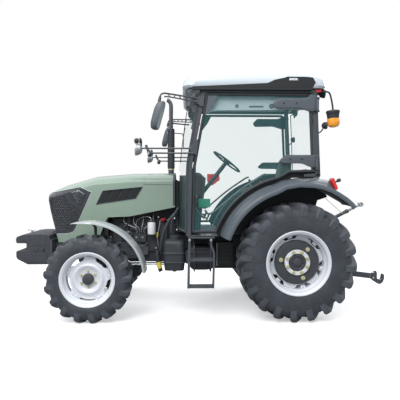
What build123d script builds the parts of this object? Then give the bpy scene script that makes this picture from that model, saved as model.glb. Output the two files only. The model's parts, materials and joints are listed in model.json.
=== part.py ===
from build123d import *
import os
from collections import namedtuple
from math import cos, degrees, hypot, pi, radians, sin

# A compact four-wheel-drive farm tractor with a cab. Millimetres.
# X runs ahead, Y to the tractor's left and Z up from the ground. Stations are given
# as distances ahead of the rear axle, and ahead() turns them into X.

# ------------------------------------------------------------ driving dimensions
front_reach = 3000          # rear axle to the tips of the front weights
rear_reach = 1060           # rear axle to the ends of the lower links
rear_axle_x = (rear_reach - front_reach) / 2
wheelbase = 2110
running_gap = 0.3           # between faces that turn on one another

# ------------------------------------------------------------ wheels
# across: wheel centre from the middle; bead: rim seat radius; wall: radius where the
# sidewall is widest; shoulder: radius at the tread's edge; lugs: bars on each half.
Wheel = namedtuple(
    "Wheel",
    "station across radius half_width bead flange wall shoulder crown sides lugs "
    "lug_lead lug_width rim_half rim_wall",
)
rear_wheel = Wheel(0, 650, 600, 172, 305, 330, 430, 520, 566, 30, 20, 62, 40, 162, 12)
front_wheel = Wheel(wheelbase, 680, 442, 105, 254, 279, 330, 385, 417, 26, 17, 40, 32, 96, 9)
flange_thickness = 10
lug_tip = 8                 # from the tyre's middle to a bar's leading end
lug_draft = 9               # how much a bar's foot is wider than its top, each side

# ------------------------------------------------------------ front axle and steering
kingpin_across = 520
kingpin_radius = 56
knuckle_web_inner = 583
hub_face_front = 602        # outer face of the knuckle, which the front hub turns on
steering_arm = 160          # kingpin to the tie rod's ball joint, behind the axle
arm_low, arm_high = 392, 416
tie_rod_radius = 15
front_fender_radius = 585
front_fender_sheet = 7
front_fender_inner, front_fender_outer = 566, 800

# ------------------------------------------------------------ cab
cab_half = 655              # outer faces of the doors
pillar_depth = 52           # across
pillar_outer = 648          # the doors stand proud of the pillars
fender_clearance = 38       # rear tyre's inner wall to the fender's
tub_half = rear_wheel.across - rear_wheel.half_width - fender_clearance
riser_height = 1120         # floor under the seat
a_pillar = [(1100, 860), (1085, 1595), (950, 2333)]
pillar_width = 50
rail_low, rail_high = 2333, 2400
windscreen_bow = 100
pane = 6
roof_front, roof_rear = 1161, -320
roof_half = 690
roof_edge = rail_high + 30
roof_crown = 150            # edge to the roof's highest point
cowl_half = 285

# ------------------------------------------------------------ rear fenders
fender_radius = 820
fender_sheet = 9
fender_outer = 842
fender_top = 1462
# rear fender's tail: end of its shelf, foot of the lamp's face, strip, tip
fender_tail = [(-308, 1458), (-356, 1345), (-470, 1281), (-571, 1172)]

# ------------------------------------------------------------ bonnet
bonnet_hinge = (1275, 1478)
bonnet_sheet = 9
# station, height of the crown, half width at the crown's edge, at the crease, at the foot
bonnet_sections = [
    (1250, 1530, 205, 292, 300),
    (1740, 1524, 200, 290, 296),
    (2150, 1490, 185, 278, 282),
    (2480, 1395, 160, 250, 258),
    (2620, 1335, 140, 215, 225),
    (2740, 1276, 105, 150, 162),
]
bonnet_shoulder = 26        # how far the crown's edge lies under the crown
bonnet_crease = 96          # how far the side crease lies under the crown

# ------------------------------------------------------------ three-point linkage
link_pivot = (-120, 490)
hook_lead = 54              # lower hook's tip beyond its seat
link_seat = (hook_lead - rear_reach, 377)
link_across = 380
link_lift = (-450, 448)     # where the lift rod holds the lower link
arm_pivot = (-120, 960)
link_bar = 26               # thickness across
top_pivot = (-330, 850)
top_end = (-950, 1165)
seat_radius = 28             # lower hooks' seats, for a 56 mm ball
top_pin = 25.4              # diameter of the top link's pin
drawbar_pin = 32
pto_shaft = 34.9


def ahead(distance):
    """X of a station that lies this far ahead of the rear axle."""
    return rear_axle_x + distance


def side_sketch(outline, across):
    """Face with a side outline of (ahead, height) points, on a plane across the tractor."""
    with BuildSketch(Plane.XZ.offset(-across)) as side:
        with BuildLine():
            Polyline(*[(ahead(x), z) for x, z in outline], close=True)
        make_face()
    return side.sketch


def slab(outline, inner, outer, mode=Mode.ADD):
    """Plate with a side outline, between two distances to the left of the middle."""
    extrude(side_sketch(outline, outer), amount=outer - inner, mode=mode)


def block(x, y, z, mode=Mode.ADD):
    """Block between pairs of distances ahead, to the left and up."""
    middle = (ahead(sum(x) / 2), sum(y) / 2, sum(z) / 2)
    with Locations(middle):
        Box(abs(x[1] - x[0]), abs(y[1] - y[0]), abs(z[1] - z[0]), mode=mode)


def point(x, y, z):
    """Place that lies so far ahead, to the left and up."""
    return Vector(ahead(x), y, z)


def bar(start, end, radius, sides=8, mode=Mode.ADD):
    """Straight bar with flats between two places."""
    run = end - start
    with BuildSketch(Plane(origin=start, z_dir=run)) as section:
        RegularPolygon(radius, sides)
    extrude(section.sketch, amount=run.length, mode=mode)


def drum(start, end, radius, mode=Mode.ADD):
    """Round shaft between two places."""
    run = end - start
    with BuildSketch(Plane(origin=start, z_dir=run)) as section:
        Circle(radius)
    extrude(section.sketch, amount=run.length, mode=mode)


def beside(stations, distance):
    """Side line that runs parallel to another, to its left, with mitred corners."""
    normals = []
    for (x0, z0), (x1, z1) in zip(stations, stations[1:]):
        length = hypot(x1 - x0, z1 - z0)
        normals.append(((z0 - z1) / length, (x1 - x0) / length))
    line = []
    before, after = [normals[0]] + normals, normals + [normals[-1]]
    for (x, z), (ax, az), (bx, bz) in zip(stations, before, after):
        share = distance / (1 + ax * bx + az * bz)
        line.append((x + share * (ax + bx), z + share * (az + bz)))
    return line


def station_at(line, height):
    """Station where a rising side line passes a height."""
    for (x0, z0), (x1, z1) in zip(line, line[1:]):
        if height <= z1:
            break
    return x0 + (x1 - x0) * (height - z0) / (z1 - z0)


def strip(stations, width, inner, outer, mode=Mode.ADD):
    """Bar of one width that follows a side line of (ahead, height) points."""
    outline = beside(stations, width / 2) + beside(stations, -width / 2)[::-1]
    slab(outline, inner, outer, mode)


def arc_points(centre, radius, start, end, steps):
    """Side points along an arc, from one angle to another above the forward line."""
    turns = [radians(start + (end - start) * step / steps) for step in range(steps + 1)]
    return [(centre[0] + radius * cos(t), centre[1] + radius * sin(t)) for t in turns]


def faceted(rings, mode=Mode.ADD):
    """Form with flat faces through rings that have as many points each."""
    faces = [Face(Wire.make_polygon(ring, close=True)) for ring in (rings[0], rings[-1])]
    for low, high in zip(rings, rings[1:]):
        for k in range(len(low)):
            a, b, c, d = low[k - 1], low[k], high[k], high[k - 1]
            across = (b - a).cross(c - a).normalized()
            corners = [[a, b, c, d]] if abs(across.dot(d - a)) < 0.001 else [[a, b, c], [a, c, d]]
            faces += [Face(Wire.make_polygon(quad, close=True)) for quad in corners]
    solid = Solid(Shell(faces))
    add(solid if solid.volume > 0 else -solid, mode=mode)


def turned_ring(across, radius, sides):
    """Corners of a regular ring about the Y axis."""
    turns = [2 * pi * k / sides for k in range(sides)]
    return [Vector(radius * cos(t), across, radius * sin(t)) for t in turns]


def flats(stations, sides, mode=Mode.ADD):
    """Turned form made of flats, about the Y axis, through (across, radius) stations."""
    faceted([turned_ring(across, radius, sides) for across, radius in stations], mode)


def finish(piece, name):
    """Label a finished piece and write it."""
    piece.part.label = name
    export_step(piece.part, f"parts/{name}.step")


def finish_pair(left, name):
    """Write a left-hand piece and its mirror image on the right."""
    with BuildPart() as right:
        mirror(left.part, about=Plane.XZ)
    finish(left, f"{name}_left")
    finish(right, f"{name}_right")


os.makedirs("parts", exist_ok=True)


# ------------------------------------------------------------ tyres
def lug_section(wheel, height, spread, outer):
    """Section of one slanting tread bar, square to the wheel's radius."""
    half = wheel.lug_width / 2 + spread
    lead = wheel.lug_lead
    tip = lug_tip - spread / 3
    corners = [(lead - half, tip), (lead + half, tip), (half - lead, outer), (-lead - half, outer)]
    return [Vector(x, y, height) for x, y in corners]


def tyre_about_origin(wheel):
    """Tyre of flats with two rows of slanting bars, about the Y axis at the origin."""
    half = wheel.half_width
    foot = wheel.crown - 0.12 * wheel.radius
    with BuildPart() as tread_bar:
        faceted([
            lug_section(wheel, foot, lug_draft, half - 3),
            lug_section(wheel, wheel.radius, 0, 0.87 * half),
        ])
    with BuildPart() as far_bar:
        mirror(tread_bar.part, about=Plane.XZ)
    pitch = 360 / wheel.lugs
    bars = [tread_bar.part.rotate(Axis.Y, pitch * k) for k in range(wheel.lugs)]
    bars += [far_bar.part.rotate(Axis.Y, pitch * (k + 0.5)) for k in range(wheel.lugs)]
    seat = wheel.rim_half - flange_thickness - running_gap
    slope = (half - seat) / (wheel.wall - wheel.flange)
    bead_edge = half - slope * (wheel.wall - wheel.bead)
    with BuildPart() as tyre:
        edge = 0.87 * half
        flats(
            [
                (-half, wheel.shoulder), (-edge, wheel.crown), (edge, wheel.crown),
                (half, wheel.shoulder),
            ],
            wheel.sides,
        )
        add(bars)
        flats([(-half, wheel.bead), (half, wheel.bead)], wheel.sides, Mode.SUBTRACT)
        for side in (-1, 1):
            cone = [(side * bead_edge, wheel.bead), (side * half, wheel.wall)]
            flats(cone, wheel.sides, Mode.SUBTRACT)
    return tyre.part


tyres = {"front": tyre_about_origin(front_wheel), "rear": tyre_about_origin(rear_wheel)}
# Each axle lies as high as its tyre's lowest bar is deep, so all four stand on the ground.
axle_height = {end: -tyre.bounding_box().min.Z for end, tyre in tyres.items()}
front_z, rear_z = axle_height["front"], axle_height["rear"]


def on_axle(part, wheel, end):
    """A wheel's piece carried from the origin to its place on the left."""
    return part.moved(Location((ahead(wheel.station), wheel.across, axle_height[end])))


for end, wheel in (("front", front_wheel), ("rear", rear_wheel)):
    with BuildPart() as tyre:
        add(on_axle(tyres[end], wheel, end))
    finish_pair(tyre, f"{end}_tyre")


# ------------------------------------------------------------ rims and hubs
def barrel(wheel):
    """Rim barrel with a flange at each edge, open through its middle."""
    flats([(-wheel.rim_half, wheel.bead), (wheel.rim_half, wheel.bead)], wheel.sides)
    for side in (-1, 1):
        edge = side * wheel.rim_half
        flats([(edge - side * flange_thickness, wheel.flange), (edge, wheel.flange)], wheel.sides)
    inner = wheel.bead - wheel.rim_wall
    flats([(-wheel.rim_half, inner), (wheel.rim_half, inner)], wheel.sides, Mode.SUBTRACT)


rear_disc_face = 52         # disc's outer face from the rear tyre's middle
rear_disc_sheet = 12
rear_hub_radius = 112
rear_hub_inner = -68
with BuildPart() as rear_rim_raw:
    barrel(rear_wheel)
    with BuildSketch(Plane.XZ.offset(-rear_disc_face)) as rear_disc:
        RegularPolygon(rear_wheel.bead - rear_wheel.rim_wall + 1, rear_wheel.sides)
        with PolarLocations(rear_wheel.bead - rear_wheel.rim_wall - 8, 6, start_angle=40):
            Trapezoid(150, 54, 50, rotation=90, mode=Mode.SUBTRACT)
    extrude(rear_disc.sketch, amount=rear_disc_sheet)
    flats([(rear_hub_inner, rear_hub_radius), (rear_disc_face + 14, rear_hub_radius)], 16)
with BuildPart() as rear_rim:
    add(on_axle(rear_rim_raw.part, rear_wheel, "rear"))
finish_pair(rear_rim, "rear_rim")

wheel_weight_radius = 227
wheel_weight_depth = 44
hub_cap_radius = 85
with BuildPart() as rear_hub_raw:
    face = rear_disc_face
    flats(
        [(face, wheel_weight_radius), (face + wheel_weight_depth - 14, wheel_weight_radius),
         (face + wheel_weight_depth, wheel_weight_radius - 22)],
        24,
    )
    flats([(face, 124), (face + wheel_weight_depth, 124)], 16, Mode.SUBTRACT)
    flats(
        [(face + 14, hub_cap_radius), (face + 34, hub_cap_radius), (face + 44, hub_cap_radius - 24)],
        16,
    )
    with BuildSketch(Plane.XZ.offset(-(face + wheel_weight_depth + 14))) as weight_bolts:
        with PolarLocations(165, 3, start_angle=9):
            RegularPolygon(17, 6)
    extrude(weight_bolts.sketch, amount=34)
with BuildPart() as rear_hub:
    add(on_axle(rear_hub_raw.part, rear_wheel, "rear"))
finish_pair(rear_hub, "rear_hub")

front_disc_face = 30
front_hub_radius = 62
with BuildPart() as front_rim_raw:
    barrel(front_wheel)
    inner = front_wheel.bead - front_wheel.rim_wall
    flats([(front_disc_face - 10, inner + 1), (front_disc_face, inner + 1)], front_wheel.sides)
    flats([(front_disc_face, 205), (front_disc_face + 22, 178)], 20)
    flats([(front_disc_face + 12, 118), (front_disc_face + 22, 150)], 20, Mode.SUBTRACT)
    with BuildSketch(Plane.XZ.offset(-(front_disc_face + 1))) as slots:
        with PolarLocations(222, 5, start_angle=58):
            Rectangle(24, 112)
    extrude(slots.sketch, amount=13, mode=Mode.SUBTRACT)
    hub_inner = hub_face_front + running_gap - front_wheel.across
    flats([(hub_inner, 92), (front_disc_face, 92)], 16)
    flats([(front_disc_face, front_hub_radius), (front_disc_face + 42, front_hub_radius - 8)], 16)
with BuildPart() as front_rim:
    add(on_axle(front_rim_raw.part, front_wheel, "front"))
finish_pair(front_rim, "front_rim")


# ------------------------------------------------------------ front axle
axle_x = wheelbase
case_low, case_high = front_z + 18, front_z + 158
with BuildPart() as front_axle:
    beam_z = front_z + 78
    for side in (-1, 1):
        bar(point(axle_x, side * 95, beam_z - 20), point(axle_x, side * 480, beam_z), 52)
        bar(
            point(axle_x, side * kingpin_across, case_low),
            point(axle_x, side * kingpin_across, case_high), kingpin_radius, 12,
        )
    with BuildSketch(Plane.XZ.offset(-110)) as casing:
        with Locations((ahead(axle_x), beam_z - 20)):
            RegularPolygon(88, 10)
    extrude(casing.sketch, amount=220)
    slab(
        [(axle_x - 150, beam_z + 40), (axle_x - 95, beam_z + 92), (axle_x + 95, beam_z + 92),
         (axle_x + 150, beam_z + 40), (axle_x + 60, beam_z - 40), (axle_x - 60, beam_z - 40)],
        -60, 60,
    )
    bar(point(axle_x - 80, -60, 470), point(900, -60, 470), 20)
finish(front_axle, "front_axle")

def front_fender_line(radius):
    """Side points of the front fender's arc, from over the axle's front to behind it."""
    return arc_points((wheelbase, front_z), radius, 76, 173, 16)


with BuildPart() as knuckle:
    reach = kingpin_across - 58
    bar(
        point(axle_x, kingpin_across, front_z - 62),
        point(axle_x, kingpin_across, case_low - running_gap), kingpin_radius + 8, 12,
    )
    block((axle_x - 52, axle_x + 52), (kingpin_across, knuckle_web_inner), (front_z - 62, case_low - 6))
    with BuildSketch(Plane.XZ.offset(-hub_face_front)) as hub_case:
        with Locations((ahead(axle_x), front_z)):
            RegularPolygon(92, 16)
    extrude(hub_case.sketch, amount=hub_face_front - knuckle_web_inner)
    slab(
        [(axle_x - 50, front_z), (axle_x + 50, front_z), (axle_x + 40, case_high + 26),
         (axle_x - 40, case_high + 26)],
        knuckle_web_inner, hub_face_front,
    )
    block(
        (axle_x - 40, axle_x + 40), (reach, hub_face_front),
        (case_high + running_gap, case_high + 26),
    )
    block((axle_x - steering_arm - 26, axle_x), (kingpin_across - 24, kingpin_across + 24), (arm_low, arm_high))
    # Stay that carries the fender from the knuckle's top, over the tyre.
    stay_x = axle_x - 40
    stay_top = front_z + 510
    bar(point(stay_x, 548, case_high + 12), point(stay_x, 548, stay_top), 16)
    bar(point(stay_x, 548, stay_top - 2), point(stay_x, 680, stay_top + 46), 15)
    # Pad whose top lies along two flats of the fender's underside.
    seat_line = front_fender_line(front_fender_radius - front_fender_sheet)[2:5]
    slab(seat_line + [(x, stay_top + 38) for x, _ in seat_line[::-1]], 640, 720)
finish_pair(knuckle, "knuckle")

with BuildPart() as tie_rod:
    rod_z = arm_high + running_gap + 16
    ball_x = axle_x - steering_arm
    bar(point(ball_x, -kingpin_across, rod_z), point(ball_x, kingpin_across, rod_z), tie_rod_radius)
    for side in (-1, 1):
        across = side * kingpin_across
        bar(point(ball_x, across, arm_high + running_gap), point(ball_x, across, rod_z + 18), 23, 10)
finish(tie_rod, "tie_rod")

with BuildPart() as front_fender:
    outer_arc = front_fender_line(front_fender_radius)
    inner_arc = front_fender_line(front_fender_radius - front_fender_sheet)
    slab(outer_arc + inner_arc[::-1], front_fender_inner, front_fender_outer)
    lip_arc = front_fender_line(front_fender_radius - 26)
    slab(outer_arc + lip_arc[::-1], front_fender_outer - 6, front_fender_outer)
finish_pair(front_fender, "front_fender")

# ------------------------------------------------------------ front frame and weights
frame_half = 176
with BuildPart() as front_frame:
    rail = [(1560, 610), (1700, 560), (axle_x - 150, 560), (axle_x - 110, 640), (axle_x + 100, 640),
            (axle_x + 140, 560), (2600, 560), (2600, 742), (1700, 742), (1560, 700)]
    for side in (-1, 1):
        inner, outer = sorted((side * frame_half, side * (frame_half - 26)))
        slab(rail, inner, outer)
    block((2480, 2600), (-frame_half + 26, frame_half - 26), (560, 720))
    block((1990, 2260), (-frame_half + 26, frame_half - 26), (front_z + 171, 720))
    slab([(2600, 540), (2622, 540), (2622, 790), (2600, 790)], -310, 310)
finish(front_frame, "front_frame")

weight_count, weight_pitch, weight_gap = 10, 60, 3
weight_outline = [          # two lobes with a notch for the towing pin between them
    (2622, 515), (2875, 515), (2985, 574), (front_reach, 604), (front_reach, 658), (2884, 670),
    (2884, 750), (2990, 756), (front_reach, 800), (2980, 826), (2930, 846), (2660, 852), (2622, 830),
]
tow_pin = (2925, 13)        # station and radius
with BuildPart() as front_weights:
    start = -weight_count * weight_pitch / 2
    for k in range(weight_count):
        left = start + k * weight_pitch
        slab(weight_outline, left + weight_gap / 2, left + weight_pitch - weight_gap / 2)
    bar(point(2700, -298, 685), point(2700, 298, 685), 20)
    bar(point(tow_pin[0], 0, 600), point(tow_pin[0], 0, 868), tow_pin[1])
finish(front_weights, "front_weights")

# ------------------------------------------------------------ engine
with BuildPart() as engine:
    block((1420, 1950), (-150, 150), (640, 1010))
    sump_front = axle_x - 180
    slab([(1440, 640), (1460, 500), (sump_front - 30, 500), (sump_front, 560), (sump_front, 640)], -123, 123)
    block((1450, 1930), (-105, 105), (1010, 1150))
    slab([(1470, 1150), (1490, 1205), (1890, 1205), (1910, 1150)], -80, 80)
    for k in range(4):
        left = 1465 + 118 * k
        block((left, left + 60), (150, 176), (880, 960))
        block((left, left + 52), (-186, -150), (930, 990))
    slab([(1340, 500), (1420, 520), (1420, 1020), (1340, 960)], -190, 190)
    block((1950, 1985), (-90, 90), (640, 1060))
finish(engine, "engine")

with BuildPart() as engine_fittings:
    bar(point(1515, 226, 845), point(1515, 226, 975), 46, 16)
    block((1480, 1550), (150, 262), (975, 1002))
    block((1580, 1720), (150, 196), (746, 840))
    bar(point(1790, 150, 812), point(1790, 196, 812), 66, 12)
    bar(point(1985, 0, 950), point(2030, 0, 950), 190, 12)
    block((2060, 2140), (-215, 215), (742, 1330))
    for z in (585, 612):
        bar(point(1420, 187, z), point(1700, 187, z), 9, 6)
    block((1460, 1900), (-246, -186), (930, 990))
finish(engine_fittings, "engine_fittings")

# ------------------------------------------------------------ transmission and rear axle
with BuildPart() as gearbox:
    slab([(1340, 500), (1340, 990), (1250, 990), (1246, 850), (240, 850), (240, 430), (900, 430),
          (900, 500)], -150, 150)
    slab([(240, 440), (240, 850), (-60, 1000), (-190, 1000), (-240, 900), (-240, 520), (-120, 430)], -170, 170)
finish(gearbox, "gearbox")

housing_end = rear_wheel.across + rear_hub_inner - running_gap
with BuildPart() as rear_axle:
    for side in (-1, 1):
        bar(point(0, side * 170, rear_z), point(0, side * 320, rear_z), 118, 10)
        bar(point(0, side * 320, rear_z), point(0, side * (housing_end - 30), rear_z), 86, 10)
        bar(point(0, side * (housing_end - 30), rear_z), point(0, side * housing_end, rear_z), 118, 16)
        # Post that carries the cab's floor.
        block((-35, 45), tuple(sorted((side * 240, side * 290))), (rear_z + 60, 1114))
finish(rear_axle, "rear_axle")

# ------------------------------------------------------------ cab
with BuildPart() as cab_floor:
    # Pressed tub: firewall, floor, seat riser and rear wall in one folded sheet.
    fold = [(1108, 1500), (1108, 866), (430, 866), (380, riser_height), (-215, riser_height), (-250, 1480)]
    strip(fold, 12, -tub_half, tub_half)
    for side in (-1, 1):
        inner, outer = sorted((side * tub_half, side * pillar_outer))
        block((800, 1125), (inner, outer), (860, 872))
    block((1114, 1200), (-cowl_half, cowl_half), (880, 1500))
    for side in (-1, 1):
        # Rubber mount on the gearbox, and bracket for the bonnet's hinge.
        block((960, 1030), tuple(sorted((side * 60, side * 140))), (850, 860))
        inner, outer = sorted((side * 176, side * (190 - running_gap)))
        slab([(1200, 1380), (1200, 1420), (1262, 1478), (1270, 1489), (1284, 1484), (1286, 1468)], inner, outer)
finish(cab_floor, "cab_floor")

with BuildPart() as rear_fender:
    centre = (0, rear_z)
    top = [(80, fender_top), *fender_tail]
    top_in = beside(top, fender_sheet)[::-1]
    front_arc = arc_points(centre, fender_radius, 19, 74, 12)
    front_arc_in = arc_points(centre, fender_radius - fender_sheet, 74, 19, 12)
    slab(front_arc + top + top_in + front_arc_in, tub_half + running_gap, fender_outer)
    lip = arc_points(centre, fender_radius - 44, 74, 19, 12)
    foot = [(-548, 1165), (-444, 1196), (-298, 1278), (-150, 1362), (0, 1378)]
    slab(front_arc + top + foot + lip[2:], fender_outer - 8, fender_outer)
    wall = front_arc + top[:3] + [
        (-400, 1262), (-290, 1224), (-262, 1100), (-262, 900), (-90, 872), (775, 872)]
    slab(wall, tub_half + running_gap, tub_half + running_gap + 8)
finish_pair(rear_fender, "rear_fender")

with BuildPart() as cab_frame:
    inner, outer = pillar_outer - pillar_depth, pillar_outer
    for low, high in ((inner, outer), (-outer, -inner)):
        strip([(a_pillar[0][0], 874), *a_pillar[1:]], pillar_width, low, high)
        block((1072, 1128), (low, high), (872, 884))
        strip([(-235, 1480), (-195, rail_low + 4)], pillar_width, low, high)
        slab([(975, rail_low), (975, rail_high), (-215, rail_high), (-215, rail_low)], low, high)
        slab([(-260, 1472), (-90, 1472), (-90, 1500), (-210, 1510), (-260, 1510)], low, high)
    block((920, 985), (-inner, inner), (rail_low, rail_high))
    block((-215, -165), (-inner, inner), (rail_low, rail_high))
    block((-262, -224), (-inner, inner), (1486, 1520))
    # Ears that hold the rear window's hinge barrels.
    for low, high in ((270, 300), (360, 390)):
        for side in (-1, 1):
            a, b = sorted((side * (low + running_gap), side * (high - running_gap)))
            slab([(-242, 2308), (-222, 2308), (-215, 2340), (-215, 2380), (-242, 2330)], a, b)
finish(cab_frame, "cab_frame")

def bowed_ring(x, z):
    """Plan corners of the bowed windscreen, whose ends lie at a station."""
    half = cab_half - 8
    bow = [(windscreen_bow * (1 - share * share), half * share) for share in (
        -1, -0.75, -0.5, -0.25, 0, 0.25, 0.5, 0.75, 1)]
    ring = [point(x + pane + ahead_by, across, z) for ahead_by, across in bow]
    return ring + [point(x + ahead_by, across, z) for ahead_by, across in reversed(bow)]


pillar_face = beside(a_pillar, -pillar_width / 2)
with BuildPart() as windscreen:
    levels = (900, pillar_face[1][1], rail_low - 3)
    faceted([bowed_ring(station_at(pillar_face, z) + running_gap, z) for z in levels])
    block((1000, 1400), (-cowl_half - 8, cowl_half + 8), (800, 1545), Mode.SUBTRACT)
finish(windscreen, "windscreen")

def rounded_ring(front, rear, left, right, corner, z):
    """Plan corners of a rectangle whose four corners are rounded by short flats."""
    ring = []
    for k, (x, y) in enumerate(((front, left), (rear, left), (rear, right), (front, right))):
        cx, cy = x - corner * (1 if x == front else -1), y - corner * (1 if y == left else -1)
        for step in range(4):
            turn = radians(90 * k + 30 * step)
            ring.append(point(cx + corner * cos(turn), cy + corner * sin(turn), z))
    return ring


roof_sections = [           # height, front, rear, half width
    (rail_high, 1120, -280, 650), (roof_edge, roof_front, roof_rear, roof_half),
    (roof_edge + 0.47 * roof_crown, 1120, -300, 672), (roof_edge + 0.84 * roof_crown, 980, -250, 600),
    (roof_edge + roof_crown, 760, -160, 480),
]
with BuildPart() as roof:
    faceted([rounded_ring(front, rear, half, -half, 120, z) for z, front, rear, half in roof_sections])
finish(roof, "roof")

# ------------------------------------------------------------ doors
def door_sketch(inset, across):
    """Side outline of a door, shrunk by an inset, on a plane across the tractor."""
    with BuildSketch(Plane.XZ.offset(-across)) as side:
        with BuildLine():
            arc = arc_points((0, rear_z), fender_radius + 45, 20, 78, 10)
            outline = arc + [(60, 1518), (-195, 1524), (-158, 2324), (914, 2324), (1050, 1592), (1066, 900)]
            Polyline(*[(ahead(x), z) for x, z in outline], close=True)
        make_face()
        if inset:
            offset(amount=-inset, kind=Kind.INTERSECTION, mode=Mode.REPLACE)
    return side.sketch


door_outer, door_depth = cab_half, 30
frame_width = 26
door_hinge = (-214, cab_half + 24)
with BuildPart() as door_frame:
    extrude(door_sketch(0, door_outer), amount=door_depth)
    extrude(door_sketch(frame_width, door_outer), amount=door_depth, mode=Mode.SUBTRACT)
    # Broad hinge straps, each with a barrel behind the rear pillar.
    for low, high in ((2180, 2262), (1590, 1664)):
        strap = [(238, low + 18), (190, high), (-150, high), (-190, high + 10), (-190, low - 30), (-150, low - 10), (205, low)]
        slab(strap, door_outer, door_outer + 16)
        block((-214, -180), (door_outer, door_outer + 30), (low - 20, high))
        bar(point(door_hinge[0], door_hinge[1], low - 20), point(door_hinge[0], door_hinge[1], high), 16)
    block((1010, 1040), (door_outer, door_outer + 26), (1180, 1290))
finish_pair(door_frame, "door_frame")
with BuildPart() as door_glass:
    extrude(door_sketch(frame_width, door_outer - 6), amount=pane)
finish_pair(door_glass, "door_glass")

with BuildPart() as door_hinges:
    for side in (-1, 1):
        for low, high in ((2180, 2262), (1590, 1664)):
            across = side * door_hinge[1]
            for z0, z1 in ((high + running_gap, high + 24), (low - 44, low - 20 - running_gap)):
                bar(point(door_hinge[0], across, z0), point(door_hinge[0], across, z1), 16)
                pair = sorted((side * pillar_outer, side * (cab_half + 18)))
                block((-238, -216), pair, (z0, z1))
finish(door_hinges, "door_hinges")

# ------------------------------------------------------------ rear window
window_hinge = (-232, 2318)
window_half = 520
with BuildPart() as rear_window:
    slab([(-264, 1530), (-258, 1530), (-226, 2300), (-232, 2300)], -window_half, window_half)
    for side in (-1, 1):
        inner, outer = sorted((side * 300, side * 360))
        slab([(-240, 2240), (-231, 2240), (-226, 2318), (-240, 2318)], inner, outer)
        bar(
            point(window_hinge[0], inner, window_hinge[1]),
            point(window_hinge[0], outer, window_hinge[1]), 9,
        )
    block((-285, -259), (-60, 60), (1560, 1584))
finish(rear_window, "rear_window")

# ------------------------------------------------------------ bonnet
def bonnet_section(station, crown, crown_half, crease_half, foot_half, inset):
    """Cross-section of the bonnet with its crown, shoulders and side creases."""
    shoulder, crease = crown - bonnet_shoulder - inset, crown - bonnet_crease
    half = [(crown_half - inset / 2, shoulder), (crease_half - inset, crease), (foot_half - inset, 700)]
    ring = [(0, crown - inset)] + half + [(-y, z) for y, z in reversed(half)]
    return [point(station, y, z) for y, z in ring]


bonnet_outline = [
    (1250, 1600), (1250, 1147), (1748, 1045), (1990, 1035), (wheelbase - 90, 990), (wheelbase, 755),
    (2550, 755),
    (2573, 852), (2693, 1300), (2730, 1600),
]
mask_outline = [(2760, 1288), (2297, 1368), (2176, 1310), (2360, 900), (2400, 865), (2480, 852), (2760, 852)]


def bonnet_shell():
    """Bonnet sheet before the mask is cut out of its nose."""
    faceted([bonnet_section(*row, 0) for row in bonnet_sections])
    slab(bonnet_outline, -400, 400, Mode.INTERSECT)
    with BuildPart(mode=Mode.PRIVATE) as core:
        faceted([bonnet_section(*row, bonnet_sheet) for row in bonnet_sections])
        trimmed = [
            (1200, 1600), (1200, 700), (2540, 700),
            (2563, 852), (2683, 1300), (2720, 1600),
        ]
        slab(trimmed, -400, 400, Mode.INTERSECT)
    add(core.part, mode=Mode.SUBTRACT)


vent_outline = [(2049, 1330), (1600, 1375), (1680, 1239), (2125, 1172)]
with BuildPart() as bonnet:
    bonnet_shell()
    slab(mask_outline, -400, 400, Mode.SUBTRACT)
    slab(vent_outline, -400, 400, Mode.SUBTRACT)
    for side in (-1, 1):
        inner, outer = sorted((side * 190, side * 202))
        slab([(1262, 1464), (1290, 1464), (1312, 1502), (1256, 1502)], inner, outer)
finish(bonnet, "bonnet")

slot_half = 125             # grille's slots, from the middle
with BuildPart() as grille:
    bonnet_shell()
    slab(mask_outline, -400, 400, Mode.INTERSECT)
    for row in range(7):
        z = 900 + 52 * row
        block((2500, 2800), (-slot_half, slot_half), (z, z + 30), Mode.SUBTRACT)
finish(grille, "grille")

with BuildPart() as bonnet_vents:
    with BuildPart(mode=Mode.PRIVATE) as sheet:
        bonnet_shell()
    add(sheet.part)
    slab(vent_outline, -400, 400, Mode.INTERSECT)
    for k in range(3):
        left = 1640 + 118 * k
        gap = [(left + 60, 1225), (left + 140, 1215), (left + 90, 1345), (left + 10, 1352)]
        slab(gap, -400, 400, Mode.SUBTRACT)
finish(bonnet_vents, "bonnet_vents")

# ------------------------------------------------------------ inside the cab
wheel_centre = (650, 1666)
rake = radians(52)
column = Vector(-cos(rake), 0, sin(rake))
column_length = 470
with BuildPart() as dashboard:
    slab([(1102, 872), (1102, 1480), (1000, 1540), (900, 1470), (930, 1200), (960, 872)], -170, 170)
    hub = point(wheel_centre[0], 0, wheel_centre[1])
    bar(hub - column * column_length, hub - column * (20 + running_gap), 26)
finish(dashboard, "dashboard")

with BuildPart() as steering_wheel_raw:
    flats([(-11, 192), (0, 200), (11, 192)], 20)
    flats([(-11, 178), (0, 170), (11, 178)], 20, Mode.SUBTRACT)
    for k in range(3):
        turn = radians(90 + 120 * k)
        with BuildSketch(Plane.XZ.offset(-5)) as spoke:
            with Locations(Location((95 * cos(turn), 95 * sin(turn)), degrees(turn))):
                Rectangle(170, 26)
        extrude(spoke.sketch, amount=8)
    flats([(-20, 36), (14, 40)], 12)
with BuildPart() as steering_wheel:
    frame = Plane(origin=hub, z_dir=column, x_dir=(0, 1, 0))
    flat = steering_wheel_raw.part.rotate(Axis.X, 90)
    add(frame.location * flat)
finish(steering_wheel, "steering_wheel")

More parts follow.
